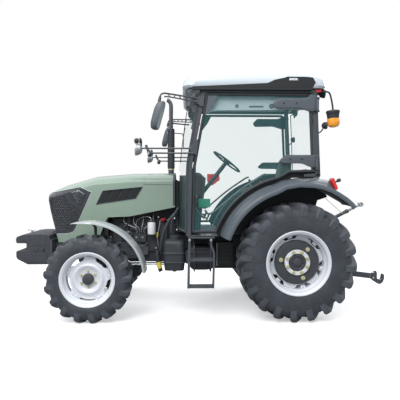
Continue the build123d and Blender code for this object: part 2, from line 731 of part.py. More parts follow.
floor = riser_height + 6     # upper face of the tub's sheet
seat_top = floor + 114
with BuildPart() as seat_base:
    slab([(40, floor), (400, floor), (400, floor + 24), (360, seat_top), (80, seat_top), (40, floor + 24)],
         -190, 190)
    block((-60, 420), (20 - tub_half, 190 - tub_half), (floor, 1330))
    bar(point(300, -330, 1330), point(330, -330, 1470), 14, 6)
    bar(point(180, -330, 1330), point(190, -330, 1440), 12, 6)
finish(seat_base, "seat_base")

with BuildPart() as seat:
    under = seat_top + running_gap
    slab([(0, under), (440, under), (455, under + 60), (420, under + 110), (60, under + 90)], -235, 235)
    slab([(0, under + 60), (90, under + 95), (20, under + 510), (-60, under + 520), (-100, under + 500),
          (-40, under + 60)], -225, 225)
finish(seat, "seat")

# ------------------------------------------------------------ outside fittings
with BuildPart() as exhaust:
    ex, ey = 1320, -420
    bar(point(1460, -222, 960), point(1395, -222, 960), 24)
    bar(point(1404, -222, 958), point(ex, ey, 1075), 26)
    bar(point(ex, ey, 1040), point(ex, ey, 1600), 36, 12)
    bar(point(ex, ey, 1600), point(ex, ey, 2110), 44, 16)
    bar(point(ex, ey, 2110), point(ex, ey, 2430), 27, 12)
    bar(point(ex, ey, 2425), point(ex + 50, ey, 2480), 27, 12)
    bar(point(ex, ey, 2180), point(1090, -560, 2180), 9, 6)
finish(exhaust, "exhaust")

lamp_across = 662
with BuildPart() as mirrors:
    for side in (-1, 1):
        inner, outer = sorted((side * pillar_outer, side * (pillar_outer + 16)))
        block((948, 986), (inner, outer), (2195, 2275))
        for inner_z, outer_z in ((2255, 2284), (2222, 2256)):
            bar(point(968, side * 660, inner_z), point(1338, side * 806, outer_z), 9, 6)
        bar(point(1332, side * 804, 2290), point(1384, side * 850, 2120), 10, 6)
        # Shell of the mirror, whose top leans ahead.
        glass = Plane(point(1371, side * 852, 2060), x_dir=(0, 1, 0), z_dir=(-1, -side * 0.12, 0.27))
        with BuildSketch(glass) as head:
            Rectangle(170, 270)
            chamfer(head.vertices(), 34)
        extrude(head.sketch, amount=-44, taper=22)
        block((1030, 1076), (inner, outer), (1722, 1806))
        for z in (1790, 1738):
            bar(point(1060, side * lamp_across, z), point(1570, side * lamp_across, z), 9, 6)
finish(mirrors, "mirrors")

with BuildPart() as lamps:
    (x0, z0), (x1, z1) = fender_tail[:2]
    lamp_line = [(x0 + (x1 - x0) * share, z0 + (z1 - z0) * share) for share in (0.06, 0.97)]
    for side in (-1, 1):
        across = side * lamp_across
        bar(point(1570, across, 1764), point(1640, across, 1764), 65, 16)
        bar(point(1590, across, 1800), point(1590, across, 1845), 9, 6)
        bar(point(1570, across, 1848), point(1640, across, 1848), 29, 12)
        # Round lamp behind the rear pillar, on its bent arm.
        bar(point(-239.5, side * 640, 1935), point(-286, side * 640, 1935), 8, 6)
        bar(point(-280, side * 640, 1930), point(-280, side * 652, 1990), 8, 6)
        bar(point(-266, side * 655, 2002), point(-318, side * 655, 2002), 37, 12)
        bar(point(-262, side * 560, 2346), point(-325, side * 560, 2340), 44, 12)
        block((-262, -215), (side * 560 - 12, side * 560 + 12), (2336, 2360))
        inner, outer = sorted((side * 730, side * 834))
        slab(lamp_line + beside(lamp_line, -26)[::-1], inner, outer)
finish(lamps, "lamps")

with BuildPart() as beacon:
    by = 625
    bar(point(-215, by, 2352), point(-320, by, 2352), 10, 6)
    bar(point(-316, by, 2350), point(-390, by, 2160), 10, 6)
    bar(point(-390, by, 2070), point(-390, by, 2165), 70, 12)
    bar(point(-390, by, 1985), point(-390, by, 2070), 62, 12)
finish(beacon, "beacon")

with BuildPart() as fuel_tank:
    for front, rear, levels in (
        (1370, 1130, ((482, 14), (500, 0), (786, 0), (812, 60))),
        (1100, 820, ((484, 50), (530, 6), (566, 0), (700, 0), (745, 50))),
    ):
        faceted([rounded_ring(front - inset, rear + inset, 560 - inset, 300 + inset, 46, z)
                 for z, inset in levels])
    bar(point(1250, 450, 810), point(1250, 450, 852), 56, 16)
    block((1100, 1130), (330, 530), (560, 700))
    for x in (860, 1030):
        block((x, x + 30), (395, 470), (700, 860))
finish(fuel_tank, "fuel_tank")

with BuildPart() as steps:
    for side in (-1, 1):
        for rail in ([(852, 330), (844, 700), (872, 780), (872, 872)], [(1100, 330), (1090, 872)]):
            inner, outer = sorted((side * 690, side * 702))
            strip(rail, 24, inner, outer)
        for z in (330, 610):
            inner, outer = sorted((side * 610, side * 690))
            block((840, 1100), (inner, outer), (z, z + 14))
        inner, outer = sorted((side * 585, side * 702))
        block((836, 1104), (inner, outer), (846, 860))
finish(steps, "steps")

# ------------------------------------------------------------ three-point linkage
with BuildPart() as hitch_frame:
    block((-262, -240), (-110, 110), (740, 910))
    for side in (-1, 1):
        inner, outer = sorted((side * (26 + running_gap), side * 46))
        slab([(-262, 790), (-262, 900), (-350, 885), (-360, 830), (-330, 810)], inner, outer)
        inner, outer = sorted((side * 170, side * (link_across - link_bar / 2 - running_gap)))
        bar(point(link_pivot[0], inner, link_pivot[1]), point(link_pivot[0], outer, link_pivot[1]), 26)
    # Drawbar with its pin hole, and the power take-off shaft above it.
    slab([(-120, 394), (-120, 430), (-800, 430), (-800, 394)], -38, 38)
    drum(point(-750, 0, 380), point(-750, 0, 440), drawbar_pin / 2, Mode.SUBTRACT)
    drum(point(-240, 0, 600), point(-330, 0, 600), pto_shaft / 2)
finish(hitch_frame, "hitch_frame")

arm_offset = (link_lift[0] - link_pivot[0], link_lift[1] - link_pivot[1])
arm_end = (arm_pivot[0] + arm_offset[0], arm_pivot[1] + arm_offset[1])
arm_across = 250
with BuildPart() as lift_arms:
    for side in (-1, 1):
        inner, outer = sorted((side * (170 + running_gap), side * 205))
        bar(point(arm_pivot[0], inner, arm_pivot[1]), point(arm_pivot[0], outer, arm_pivot[1]), 55, 10)
        inner, outer = sorted((side * 175, side * 203))
        strip([arm_pivot, arm_end], 62, inner, outer)
        bar(point(*[arm_end[0], 0, 0]) + Vector(0, side * 180, arm_end[1]),
            point(*[arm_end[0], 0, 0]) + Vector(0, side * 342, arm_end[1]), 20)
finish(lift_arms, "lift_arms")

rod_inner = 342 + running_gap
with BuildPart() as lift_rod:
    bar(point(arm_end[0], rod_inner, arm_end[1]), point(arm_end[0], rod_inner + 40, arm_end[1]), 30, 10)
    bar(point(arm_end[0], link_across, arm_end[1]), point(link_lift[0], link_across, link_lift[1] + 90), 17)
    for y0, y1 in ((link_across - 34, link_across - 20), (link_across + 20, link_across + 34)):
        block((link_lift[0] - 25, link_lift[0] + 25), (y0, y1), (link_lift[1] - 30, link_lift[1] + 96))
    block((link_lift[0] - 25, link_lift[0] + 25), (link_across - 34, link_across + 34),
          (link_lift[1] + 80, link_lift[1] + 100))
finish_pair(lift_rod, "lift_rod")

with BuildPart() as lower_link:
    y0, y1 = link_across - link_bar / 2, link_across + link_bar / 2
    hook_x, hook_z = link_seat
    strip([link_pivot, (hook_x + 66, hook_z + 9)], 62, y0, y1)
    bar(point(link_pivot[0], y0, link_pivot[1]), point(link_pivot[0], y1, link_pivot[1]), 40, 12)
    claw = [(hook_x + 81, 346), (hook_x + 81, 424), (hook_x + 58, 428), (hook_x + 50, 444),
            (hook_x + 34, 444), (hook_x, 420), (hook_x - 28, 414), (6 - rear_reach, 412),
            (-rear_reach, 394), (-rear_reach, 348), (hook_x - 36, 314), (hook_x - 8, 296),
            (hook_x + 24, 298), (hook_x + 60, 328)]
    slab(claw, y0 - 12, y1 + 12)
    seat = point(link_seat[0], 0, link_seat[1])
    drum(seat + Vector(0, y0 - 12, 0), seat + Vector(0, y1 + 12, 0), seat_radius, Mode.SUBTRACT)
    x = (link_seat[0] - seat_radius, link_seat[0] + seat_radius)
    block(x, (y0 - 12, y1 + 12), (link_seat[1], link_seat[1] + 80), Mode.SUBTRACT)
finish_pair(lower_link, "lower_link")

with BuildPart() as top_link:
    a, b = point(top_pivot[0], 0, top_pivot[1]), point(top_end[0], 0, top_end[1])
    along = (b - a).normalized()
    for centre in (a, b):
        bar(centre - Vector(0, 26, 0), centre + Vector(0, 26, 0), 32, 12)
    bar(a + along * 24, b - along * 24, 17)
    bar(a + along * 200, a + along * 430, 25)
    drum(b - Vector(0, 26, 0), b + Vector(0, 26, 0), top_pin / 2, Mode.SUBTRACT)
finish(top_link, "top_link")
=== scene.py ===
"""Looks of a compact four-wheel-drive farm tractor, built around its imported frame.

Metres, in the frame's own axes: X ahead, Y to the tractor's left, Z up. Most sizes
are given as stations, which are distances ahead of the rear axle.
"""

from __future__ import annotations

import json
import logging
import math
from dataclasses import dataclass
from enum import Enum
from typing import Any, Callable, ClassVar, Iterable, Iterator, Sequence

import bmesh
import bpy
from mathutils import Matrix, Vector

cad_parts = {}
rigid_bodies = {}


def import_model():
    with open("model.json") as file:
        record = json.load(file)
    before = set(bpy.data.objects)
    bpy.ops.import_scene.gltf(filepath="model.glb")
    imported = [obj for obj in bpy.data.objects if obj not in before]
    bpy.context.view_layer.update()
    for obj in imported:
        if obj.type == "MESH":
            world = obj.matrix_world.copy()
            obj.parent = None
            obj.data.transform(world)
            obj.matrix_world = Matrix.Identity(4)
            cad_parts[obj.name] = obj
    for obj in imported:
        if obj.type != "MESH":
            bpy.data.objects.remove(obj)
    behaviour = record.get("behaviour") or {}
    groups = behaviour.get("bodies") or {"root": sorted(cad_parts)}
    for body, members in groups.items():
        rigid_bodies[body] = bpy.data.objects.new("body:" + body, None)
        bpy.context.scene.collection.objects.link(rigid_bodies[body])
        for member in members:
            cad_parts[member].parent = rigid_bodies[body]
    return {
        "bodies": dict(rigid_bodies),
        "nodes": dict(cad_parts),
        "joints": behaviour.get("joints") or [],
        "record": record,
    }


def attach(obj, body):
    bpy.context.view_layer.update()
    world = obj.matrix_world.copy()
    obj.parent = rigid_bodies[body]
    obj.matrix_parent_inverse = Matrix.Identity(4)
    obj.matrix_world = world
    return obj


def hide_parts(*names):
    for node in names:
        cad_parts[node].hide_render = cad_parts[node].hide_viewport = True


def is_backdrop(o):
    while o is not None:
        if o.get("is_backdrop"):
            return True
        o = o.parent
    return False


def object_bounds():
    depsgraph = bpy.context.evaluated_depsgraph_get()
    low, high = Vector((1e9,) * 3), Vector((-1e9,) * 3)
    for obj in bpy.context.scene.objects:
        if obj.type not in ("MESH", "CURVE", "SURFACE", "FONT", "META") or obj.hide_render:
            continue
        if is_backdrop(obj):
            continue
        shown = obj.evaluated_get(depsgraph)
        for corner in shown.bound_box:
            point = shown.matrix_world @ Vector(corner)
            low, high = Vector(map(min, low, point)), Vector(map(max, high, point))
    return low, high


LOG = logging.getLogger("tractor")
Point = Sequence[float]
Outline = list[tuple[float, float]]
Colour = tuple[float, float, float]
SIDES: tuple[int, int] = (1, -1)


# ---------------------------------------------------------------- shader maths
class Field:
    """A number or colour that varies over a surface, used like a Python number."""

    def __init__(self, graph: "Graph", socket: bpy.types.NodeSocket) -> None:
        """Keep the graph and the output socket that this value comes from."""
        self.graph = graph
        self.socket = socket

    def maths(self, operation: str, *terms: Any) -> "Field":
        """Result of one Math node.

        Args:
            operation: The Math node's operation.
            terms: Its inputs in order, fields or numbers.

        Returns:
            The node's output.
        """
        return self.graph.add("ShaderNodeMath", {"operation": operation}, dict(enumerate(terms)))

    def __add__(self, other: Any) -> "Field":
        """Sum."""
        return self.maths("ADD", self, other)

    def __radd__(self, other: Any) -> "Field":
        """Sum with a number on the left."""
        return self.maths("ADD", other, self)

    def __sub__(self, other: Any) -> "Field":
        """Difference."""
        return self.maths("SUBTRACT", self, other)

    def __rsub__(self, other: Any) -> "Field":
        """Difference from a number on the left."""
        return self.maths("SUBTRACT", other, self)

    def __mul__(self, other: Any) -> "Field":
        """Product."""
        return self.maths("MULTIPLY", self, other)

    def __rmul__(self, other: Any) -> "Field":
        """Product with a number on the left."""
        return self.maths("MULTIPLY", other, self)

    def ramp(self, low: float, high: float) -> "Field":
        """Smooth rise from 0 to 1 between two values."""
        return self.graph.add(
            "ShaderNodeMapRange", {"interpolation_type": "SMOOTHSTEP"},
            {"Value": self, "From Min": low, "From Max": high},
        )

    def sine(self) -> "Field":
        """Sine of the value."""
        return self.maths("SINE", self)

    def length(self) -> "Field":
        """Length of a vector."""
        return self.graph.add("ShaderNodeVectorMath", {"operation": "LENGTH"}, {0: self}, "Value")


class Graph:
    """A material's node tree, with its principled shader."""

    def __init__(self, name: str) -> None:
        """Start an empty material.

        Args:
            name: The material's name.
        """
        self.material = bpy.data.materials.new(name)
        self.material.use_nodes = True
        self.tree = self.material.node_tree
        self.tree.nodes.clear()
        self.surface = self.tree.nodes.new("ShaderNodeBsdfPrincipled")
        self.output = self.tree.nodes.new("ShaderNodeOutputMaterial")
        self.tree.links.new(self.surface.outputs[0], self.output.inputs[0])

    def put(self, node: bpy.types.Node, inputs: dict[Any, Any]) -> None:
        """Set a node's sockets, each from a field or a constant."""
        for key, value in inputs.items():
            if isinstance(value, Field):
                self.tree.links.new(value.socket, node.inputs[key])
            else:
                node.inputs[key].default_value = value

    def node(self, kind: str, settings: dict[str, Any], inputs: dict[Any, Any]) -> bpy.types.Node:
        """Add any node.

        Args:
            kind: The node's type.
            settings: Its properties, or "stops" for a ramp's places and colours.
            inputs: Values or fields for its sockets.

        Returns:
            The node.
        """
        made = self.tree.nodes.new(kind)
        for key, value in settings.items():
            if key == "stops":
                for index, (place, shade) in enumerate(value):
                    ramp = made.color_ramp.elements
                    stop = ramp[index] if index < len(ramp) else ramp.new(place)
                    stop.position, stop.color = place, (*shade, 1)
            else:
                setattr(made, key, value)
        self.put(made, inputs)
        return made

    def add(self, kind: str, settings: dict[str, Any], inputs: dict[Any, Any], out: Any = 0) -> Field:
        """Add any node and take one of its outputs as a field."""
        return Field(self, self.node(kind, settings, inputs).outputs[out])

    def place(self) -> Field:
        """Position on the object, in metres."""
        return self.add("ShaderNodeTexCoord", {}, {}, "Object")

    def axis(self, index: int) -> Field:
        """One coordinate of the position."""
        return self.add("ShaderNodeSeparateXYZ", {}, {0: self.place()}, index)

    def noise(self, scale: float, detail: float = 3.0, stretch: Point = (1, 1, 1)) -> Field:
        """Noise over the surface, with so many features a metre."""
        where = self.add(
            "ShaderNodeVectorMath", {"operation": "MULTIPLY"}, {0: self.place(), 1: tuple(stretch)}
        )
        return self.add("ShaderNodeTexNoise", {}, {"Vector": where, "Scale": scale, "Detail": detail})

    def mix(self, share: Any, low: Any, high: Any) -> Field:
        """Colour between two colours."""
        low, high = [(*c, 1) if isinstance(c, tuple) else c for c in (low, high)]
        return self.add("ShaderNodeMix", {"data_type": "RGBA"}, {0: share, 6: low, 7: high}, 2)

    def bump(self, height: Field, depth: float, strength: float = 1.0) -> Field:
        """Normal disturbed by a height, whose full range is so deep in metres."""
        return self.add("ShaderNodeBump", {}, {"Height": height, "Distance": depth, "Strength": strength})


# ---------------------------------------------------------------- finishes
@dataclass(frozen=True)
class Finish:
    """What a surface is made of; each kind shades itself.

    Args:
        name: The material's name.
        colour: Its linear base colour.
        slot: The record's material slot that it stands for; not used.
        rough: Its roughness.
    """

    name: str
    colour: Colour
    slot: str
    rough: float = 0.4
    made: ClassVar[dict[str, bpy.types.Material]] = {}

    def shade(self, g: Graph) -> None:
        """Fill the graph with this finish's nodes."""
        raise NotImplementedError

    def material(self) -> bpy.types.Material:
        """The finish's material, made once."""
        if self.name not in Finish.made:
            graph = Graph(self.name)
            self.shade(graph)
            Finish.made[self.name] = graph.material
        return Finish.made[self.name]

    def tone(self, factor: float) -> Colour:
        """The base colour made darker or lighter."""
        return tuple(min(1.0, c * factor) for c in self.colour)


@dataclass(frozen=True)
class Paint(Finish):
    """Sprayed gloss or satin paint with a faint peel and a film of dust low down."""

    coat: float = 0.5
    dust: float = 0.12
    metal: float = 0.0

    def shade(self, g: Graph) -> None:
        """Colour drift, dust that settles in patches, and orange peel."""
        drift = g.noise(2.3, 4)
        specks = g.noise(160, 2)
        low = 1 - g.axis(2).ramp(0.15, 1.3)
        film = (g.noise(7, 5).ramp(0.42, 0.75) * low * self.dust) + specks.ramp(0.62, 0.75) * 0.03
        body = g.mix(drift, self.tone(0.93), self.tone(1.07))
        g.put(g.surface, {
            "Base Color": g.mix(film, body, (0.30, 0.28, 0.25)),
            "Roughness": film * 0.5 + (drift * 0.08 + (self.rough - 0.04)),
            "Metallic": self.metal, "Coat Weight": self.coat, "Coat Roughness": 0.07,
            "Normal": g.bump(g.noise(420, 2), 0.00012),
        })


@dataclass(frozen=True)
class Casting(Finish):
    """Painted iron casting with the grain of its sand mould."""

    grain: float = 0.0007

    def shade(self, g: Graph) -> None:
        """Sand grain, shallow dents and darker, duller patches."""
        sand, dents = g.noise(330, 4), g.noise(45, 3)
        grime = g.noise(11, 5).ramp(0.45, 0.7)
        g.put(g.surface, {
            "Base Color": g.mix(grime * 0.35, self.tone(1.0), self.tone(0.55)),
            "Roughness": sand * 0.25 + (self.rough - 0.1) + grime * 0.1,
            "Coat Weight": 0.15, "Coat Roughness": 0.35,
            "Normal": g.bump(sand + dents * 0.6, self.grain),
        })


@dataclass(frozen=True)
class Rubber(Finish):
    """Tyre rubber, matte, with pale dust rubbed into it and fine mould lines."""

    def shade(self, g: Graph) -> None:
        """Dusty patches, fine pores and a faint sheen."""
        patches, pores = g.noise(9, 5), g.noise(520, 2)
        wipe = g.noise(28, 3, (1, 3, 1)).ramp(0.4, 0.8)
        dusty = patches.ramp(0.35, 0.75) * 0.35 + wipe * 0.15
        g.put(g.surface, {
            "Base Color": g.mix(dusty, self.tone(0.85), self.tone(1.75)),
            "Roughness": 0.5 + dusty * 0.35, "Specular IOR Level": 0.45,
            "Sheen Weight": 0.15, "Sheen Roughness": 0.5,
            "Normal": g.bump(pores + patches * 0.4, 0.0006),
        })


@dataclass(frozen=True)
class Moulding(Finish):
    """Moulded plastic with a pressed leather-like grain."""

    grain: float = 0.0004
    coat: float = 0.0

    def shade(self, g: Graph) -> None:
        """Cells of grain, with slight fading."""
        cells = g.add("ShaderNodeTexVoronoi", {"feature": "F1"}, {"Vector": g.place(), "Scale": 420.0}, 0)
        fade = g.noise(4, 4)
        g.put(g.surface, {
            "Base Color": g.mix(fade, self.tone(0.9), self.tone(1.12)),
            "Roughness": cells * 0.15 + (self.rough - 0.05) + fade * 0.06,
            "Coat Weight": self.coat, "Coat Roughness": 0.12,
            "Normal": g.bump(cells + fade * 0.3, self.grain),
        })


@dataclass(frozen=True)
class Metal(Finish):
    """Bare or plated metal with fine scratches."""

    streak: Point = (1, 1, 14)

    def shade(self, g: Graph) -> None:
        """Scratches along one way and uneven plating."""
        scratch, cloud = g.noise(260, 3, self.streak), g.noise(18, 4)
        g.put(g.surface, {
            "Base Color": g.mix(cloud, self.tone(0.85), self.tone(1.15)),
            "Metallic": 0.9, "Roughness": scratch * 0.3 + (self.rough - 0.1) + cloud * 0.1,
            "Normal": g.bump(scratch, 0.0001),
        })


@dataclass(frozen=True)
class Pane(Finish):
    """Tinted safety glass, smeared a little, which lets the inside show."""

    cover: float = 0.065

    def shade(self, g: Graph) -> None:
        """Even tint with faint wipe marks that only show in the gloss."""
        smear = g.noise(3, 4, (1, 1, 3))
        g.put(g.surface, {
            "Base Color": g.mix(smear, self.tone(0.97), self.tone(1.03)),
            "Roughness": smear.ramp(0.5, 0.9) * 0.04 + 0.01,
            "Alpha": smear * 0.02 + (self.cover - 0.01), "Coat Weight": 1.0, "Coat Roughness": 0.02,
        })


@dataclass(frozen=True)
class Lens(Finish):
    """Coloured or clear lamp lens with moulded flutes."""

    # Emission strength: a faint lamp glow on lenses, and painted glow on the red tool box, coupler caps,
    # lever knobs, dipstick and reflector, which are no lamps.
    lamp_and_painted_glow: float = 0.0
    cover: float = 1.0

    def shade(self, g: Graph) -> None:
        """Flutes across the lens, depth of colour, and an even glow, which is painted glow where the finish
        covers parts that are no lamps.
        """
        flutes = (g.axis(1) * 900).sine() * (g.axis(2) * 900).sine()
        depth = g.noise(60, 2)
        g.put(g.surface, {
            "Base Color": g.mix(depth, self.tone(0.8), self.tone(1.15)),
            "Roughness": depth * 0.08 + self.rough, "Coat Weight": 1.0, "Coat Roughness": 0.03,
            "Emission Color": (*self.colour, 1), "Emission Strength": self.lamp_and_painted_glow,
            "Alpha": depth * 0.02 + (self.cover - 0.02),
            "Normal": g.bump(flutes, 0.0005),
        })


@dataclass(frozen=True)
class Cloth(Finish):
    """Woven seat cloth."""

    def shade(self, g: Graph) -> None:
        """Warp and weft about 2 mm apart, with fuzzy patches."""
        weave = (g.axis(1) * 3100).sine() * ((g.axis(0) + g.axis(2)) * 3100).sine()
        fuzz = g.noise(35, 4)
        g.put(g.surface, {
            "Base Color": g.mix(weave * 0.25 + fuzz * 0.5, self.tone(0.7), self.tone(1.5)),
            "Roughness": 0.85 + fuzz * 0.1, "Sheen Weight": 0.4, "Sheen Roughness": 0.4,
            "Normal": g.bump(weave + fuzz, 0.0008),
        })


GREEN = Paint("sage_green_paint", (0.245, 0.325, 0.26), "sage_green", 0.28, coat=1.0)
SILVER = Paint("silver_rim_paint", (0.76, 0.78, 0.82), "rim_silver", 0.34, coat=0.3, dust=0.06, metal=0.12)
WHITE = Paint("white_roof_gelcoat", (0.58, 0.635, 0.68), "roof_white", 0.25, coat=0.8, dust=0.0)
# Black paint whose base colour is raised and tinted blue: a painted sheen standing in for the bluish
# reflection on the black parts.
BLACK_WITH_PAINTED_SHEEN = Paint("black_paint_with_painted_sheen", (0.058, 0.067, 0.079), "black_metal", 0.32, coat=0.6)
DARK = Paint("chassis_black_paint", (0.012, 0.014, 0.016), "black_metal", 0.6, coat=0.0)
IRON = Casting("black_cast_iron", (0.045, 0.05, 0.057), "black_metal", 0.55)
ENGINE = Casting("engine_black", (0.03, 0.034, 0.038), "engine_black", 0.5)
RUBBER = Rubber("tyre_rubber", (0.043, 0.05, 0.06), "tyre_rubber")
TREAD = Rubber("worn_tread_rubber", (0.062, 0.07, 0.083), "tyre_rubber")
PLASTIC = Moulding("black_plastic", (0.03, 0.034, 0.04), "black_plastic", 0.48)
GLOSSY = Moulding("gloss_black_plastic", (0.028, 0.032, 0.04), "black_plastic", 0.28, 0.0001, 0.6)
FENDER = Moulding("fender_plastic", (0.09, 0.107, 0.123), "black_plastic", 0.34, 0.00015, 0.4)
GREY = Moulding("grey_fender_plastic", (0.4, 0.43, 0.44), "fender_grey", 0.32, 0.00012, 0.5)
TRIM = Moulding("dark_hinge_trim", (0.085, 0.1, 0.115), "black_plastic", 0.42)
LINER = Moulding("headliner_felt", (0.42, 0.5, 0.51), "black_plastic", 0.8, 0.0006)
GLASS = Pane("tinted_glass", (0.20, 0.54, 0.55), "cab_glass", 0.05)
ZINC = Metal("yellow_zinc", (0.72, 0.68, 0.42), "bright_steel", 0.38)
STEEL = Metal("bright_steel", (0.6, 0.62, 0.64), "bright_steel", 0.35)
CLEAR = Lens("clear_lens", (0.8, 0.84, 0.86), "lamps", 0.06)
# Red and yellow also cover the tool box, coupler caps, lever knobs, dipstick and reflector, where their
# glow is painted glow.
RED = Lens("red_lens", (0.62, 0.02, 0.015), "lamps", 0.1, lamp_and_painted_glow=0.25)
AMBER = Lens("amber_lens", (0.95, 0.36, 0.02), "beacon_amber", 0.1, lamp_and_painted_glow=0.15)
CLOTH = Cloth("seat_cloth", (0.03, 0.032, 0.036), "seat_fabric", 0.9)
FILTER = Paint("white_filter_paint", (0.8, 0.8, 0.82), "engine_fittings", 0.35, coat=0.5, dust=0.05)
PIPE = Paint("red_pipe_paint", (0.45, 0.03, 0.04), "engine_fittings", 0.4)
YELLOW = Lens("yellow_reflector", (0.85, 0.72, 0.1), "lamps", 0.25, lamp_and_painted_glow=0.05)


# ---------------------------------------------------------------- mesh building
class Form:
    """A mesh under construction, in the frame's axes."""

    rear: ClassVar[float] = 0.0

    def __init__(self, finish: Finish, side: int = 1) -> None:
        """Start an empty form.

        Args:
            finish: The finish of the first faces.
            side: 1 for the left, -1 to build the same thing on the right.
        """
        self.mesh = bmesh.new()
        self.side = side
        self.finishes: list[Finish] = []
        self.use(finish)

    def both(self) -> Iterator[int]:
        """Take each side in turn, 1 for the left and -1 for the right, and end on the left."""
        for self.side in SIDES:
            yield self.side
        self.side = SIDES[0]

    def use(self, finish: Finish) -> "Form":
        """Give the faces made from here on another finish."""
        if finish not in self.finishes:
            self.finishes.append(finish)
        self.index = self.finishes.index(finish)
        return self

    def at(self, x: float, y: float, z: float) -> Vector:
        """Place that lies so far ahead of the rear axle, outward and up."""
        return Vector((Form.rear + x, y * self.side, z))

    def face(self, corners: Iterable[bmesh.types.BMVert]) -> None:
        """Add one face, leaving out any that collapses."""
        unique = list(dict.fromkeys(corners))
        if len(unique) > 2:
            try:
                self.mesh.faces.new(unique).material_index = self.index
            except ValueError:
                pass

    def loft(self, rings: Sequence[Sequence[Vector]], ends: bool = True, loop: bool = False,
             shut: bool = True) -> "Form":
        """Skin through rings that have as many points each.

        Args:
            rings: The rings in order.
            ends: Whether the first and last ring are closed by faces.
            loop: Whether the last ring joins the first.
            shut: Whether each ring is a closed loop.
        """
        rows = [[self.mesh.verts.new(p) for p in ring] for ring in rings]
        count = len(rows[0])
        pairs = list(zip(rows, rows[1:])) + ([(rows[-1], rows[0])] if loop else [])
        for low, high in pairs:
            for k in range(count if shut else count - 1):
                n = (k + 1) % count
                self.face((low[k], low[n], high[n], high[k]))
        if ends and not loop:
            self.face(rows[0])
            self.face(reversed(rows[-1]))
        return self

    def prism(self, outline: Outline, inner: float, outer: float) -> "Form":
        """Plate with a side outline of (station, height), between two distances across."""
        return self.loft([[self.at(x, y, z) for x, z in outline] for y in (inner, outer)])

    def cross(self, outline: Outline, front: float, rear: float) -> "Form":
        """Bar with a section of (across, height), between two stations."""
        return self.loft([[self.at(x, y, z) for y, z in outline] for x in (front, rear)])

    def block(self, x: Point, y: Point, z: Point) -> "Form":
        """Block between pairs of stations, distances across and heights."""
        return self.prism([(x[0], z[0]), (x[1], z[0]), (x[1], z[1]), (x[0], z[1])], y[0], y[1])

    def turned(self, start: Point, end: Point, profile: Outline, sides: int = 32,
               hollow: bool = False) -> "Form":
        """Turned form along a line.

        Args:
            start: Where the line starts.
            end: Where it ends.
            profile: (share of the line or distance along it in metres, radius) stations.
            sides: Flats around.
            hollow: Whether its ends stay open.
        """
        a, b = self.at(*start), self.at(*end)
        run = (b - a).normalized()
        across = run.orthogonal().normalized()
        up = run.cross(across)
        rings = []
        for along, radius in profile:
            ring = [across * math.cos(t) + up * math.sin(t) for t in turns(sides)]
            rings.append([a + run * along + v * radius for v in ring])
        return self.loft(rings, ends=not hollow)

    def rod(self, start: Point, end: Point, radius: float, sides: int = 20) -> "Form":
        """Round bar whose ends are eased."""
        length = (self.at(*end) - self.at(*start)).length
        ease = min(radius * 0.25, length * 0.2)
        profile = [(0, radius - ease), (ease, radius), (length - ease, radius), (length, radius - ease)]
        return self.turned(start, end, profile, sides)

    def tube(self, path: Sequence[Point], radius: float, sides: int = 12, steps: int = 8,
             placed: bool = False) -> "Form":
        """Smooth tube through places.

        Args:
            path: The places it passes.
            radius: Its radius.
            sides: Flats around.
            steps: Stations between two places.
            placed: Whether the places are already in the frame's axes.
        """
        line = smooth([Vector(p) if placed else self.at(*p) for p in path], steps)
        normal = (line[1] - line[0]).orthogonal().normalized()
        rings = []
        for k, centre in enumerate(line):
            run = (line[min(k + 1, len(line) - 1)] - line[max(k - 1, 0)]).normalized()
            normal = (normal - run * normal.dot(run)).normalized()
            other = run.cross(normal)
            rings.append([centre + (normal * math.cos(t) + other * math.sin(t)) * radius
                          for t in turns(sides)])
        return self.loft(rings)

    def bolt(self, place: Point, towards: Point, size: float, depth: float) -> "Form":
        """Hexagon head on a washer, standing out from a place."""
        end = [p + t * depth for p, t in zip(place, towards)]
        base = [p + t * depth * 0.18 for p, t in zip(place, towards)]
        self.turned(place, base, [(0, size * 1.45), (depth * 0.18, size * 1.4)], 20)
        return self.turned(base, end, [
            (0, size), (depth * 0.62, size), (depth * 0.82, size * 0.86)], 6)

    def lathe(self, centre: Point, profile: Outline, sides: int = 96, loop: bool = True) -> "Form":
        """Form turned about an axle, through (outward distance, radius) stations."""
        rings = [[self.at(centre[0] + r * math.cos(t), centre[1] + y, centre[2] + r * math.sin(t))
                  for t in turns(sides)] for y, r in profile]
        return self.loft(rings, ends=False, loop=loop)

    def make(self, name: str, body: str, bevel: float = 0.0, angle: float = 35.0,
             replaces: Sequence[str] = (), segments: int = 2) -> bpy.types.Object:
        """Turn the form into a piece that rides on a body.

        Args:
            name: The piece's name.
            body: The CAD body that it rides on.
            bevel: Width of its eased edges, or 0.
            angle: Edges sharper than this many degrees stay crisp.
            replaces: CAD nodes that it stands for.
            segments: Steps in each eased edge.

        Returns:
            The finished piece.
        """
        bmesh.ops.remove_doubles(self.mesh, verts=self.mesh.verts, dist=1e-6)
        bmesh.ops.recalc_face_normals(self.mesh, faces=self.mesh.faces)
        data = bpy.data.meshes.new(name)
        self.mesh.to_mesh(data)
        self.mesh.free()
        for finish in self.finishes:
            data.materials.append(finish.material())
        piece = bpy.data.objects.new(name, data)
        bpy.context.scene.collection.objects.link(piece)
        data.shade_smooth()
        data.set_sharp_from_angle(angle=math.radians(angle))
        if bevel:
            ease = piece.modifiers.new("eased_edges", "BEVEL")
            ease.width, ease.segments, ease.limit_method = bevel, segments, "ANGLE"
            ease.angle_limit, ease.harden_normals = math.radians(30), True
            ease.use_clamp_overlap = True
        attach(piece, body)
        if replaces:
            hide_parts(*replaces)
        LOG.info("%s: %d faces", name, len(data.polygons))
        return piece


def turns(count: int, start: float = 0.0) -> list[float]:
    """Angles of equal steps around a circle."""
    return [start + 2 * math.pi * k / count for k in range(count)]


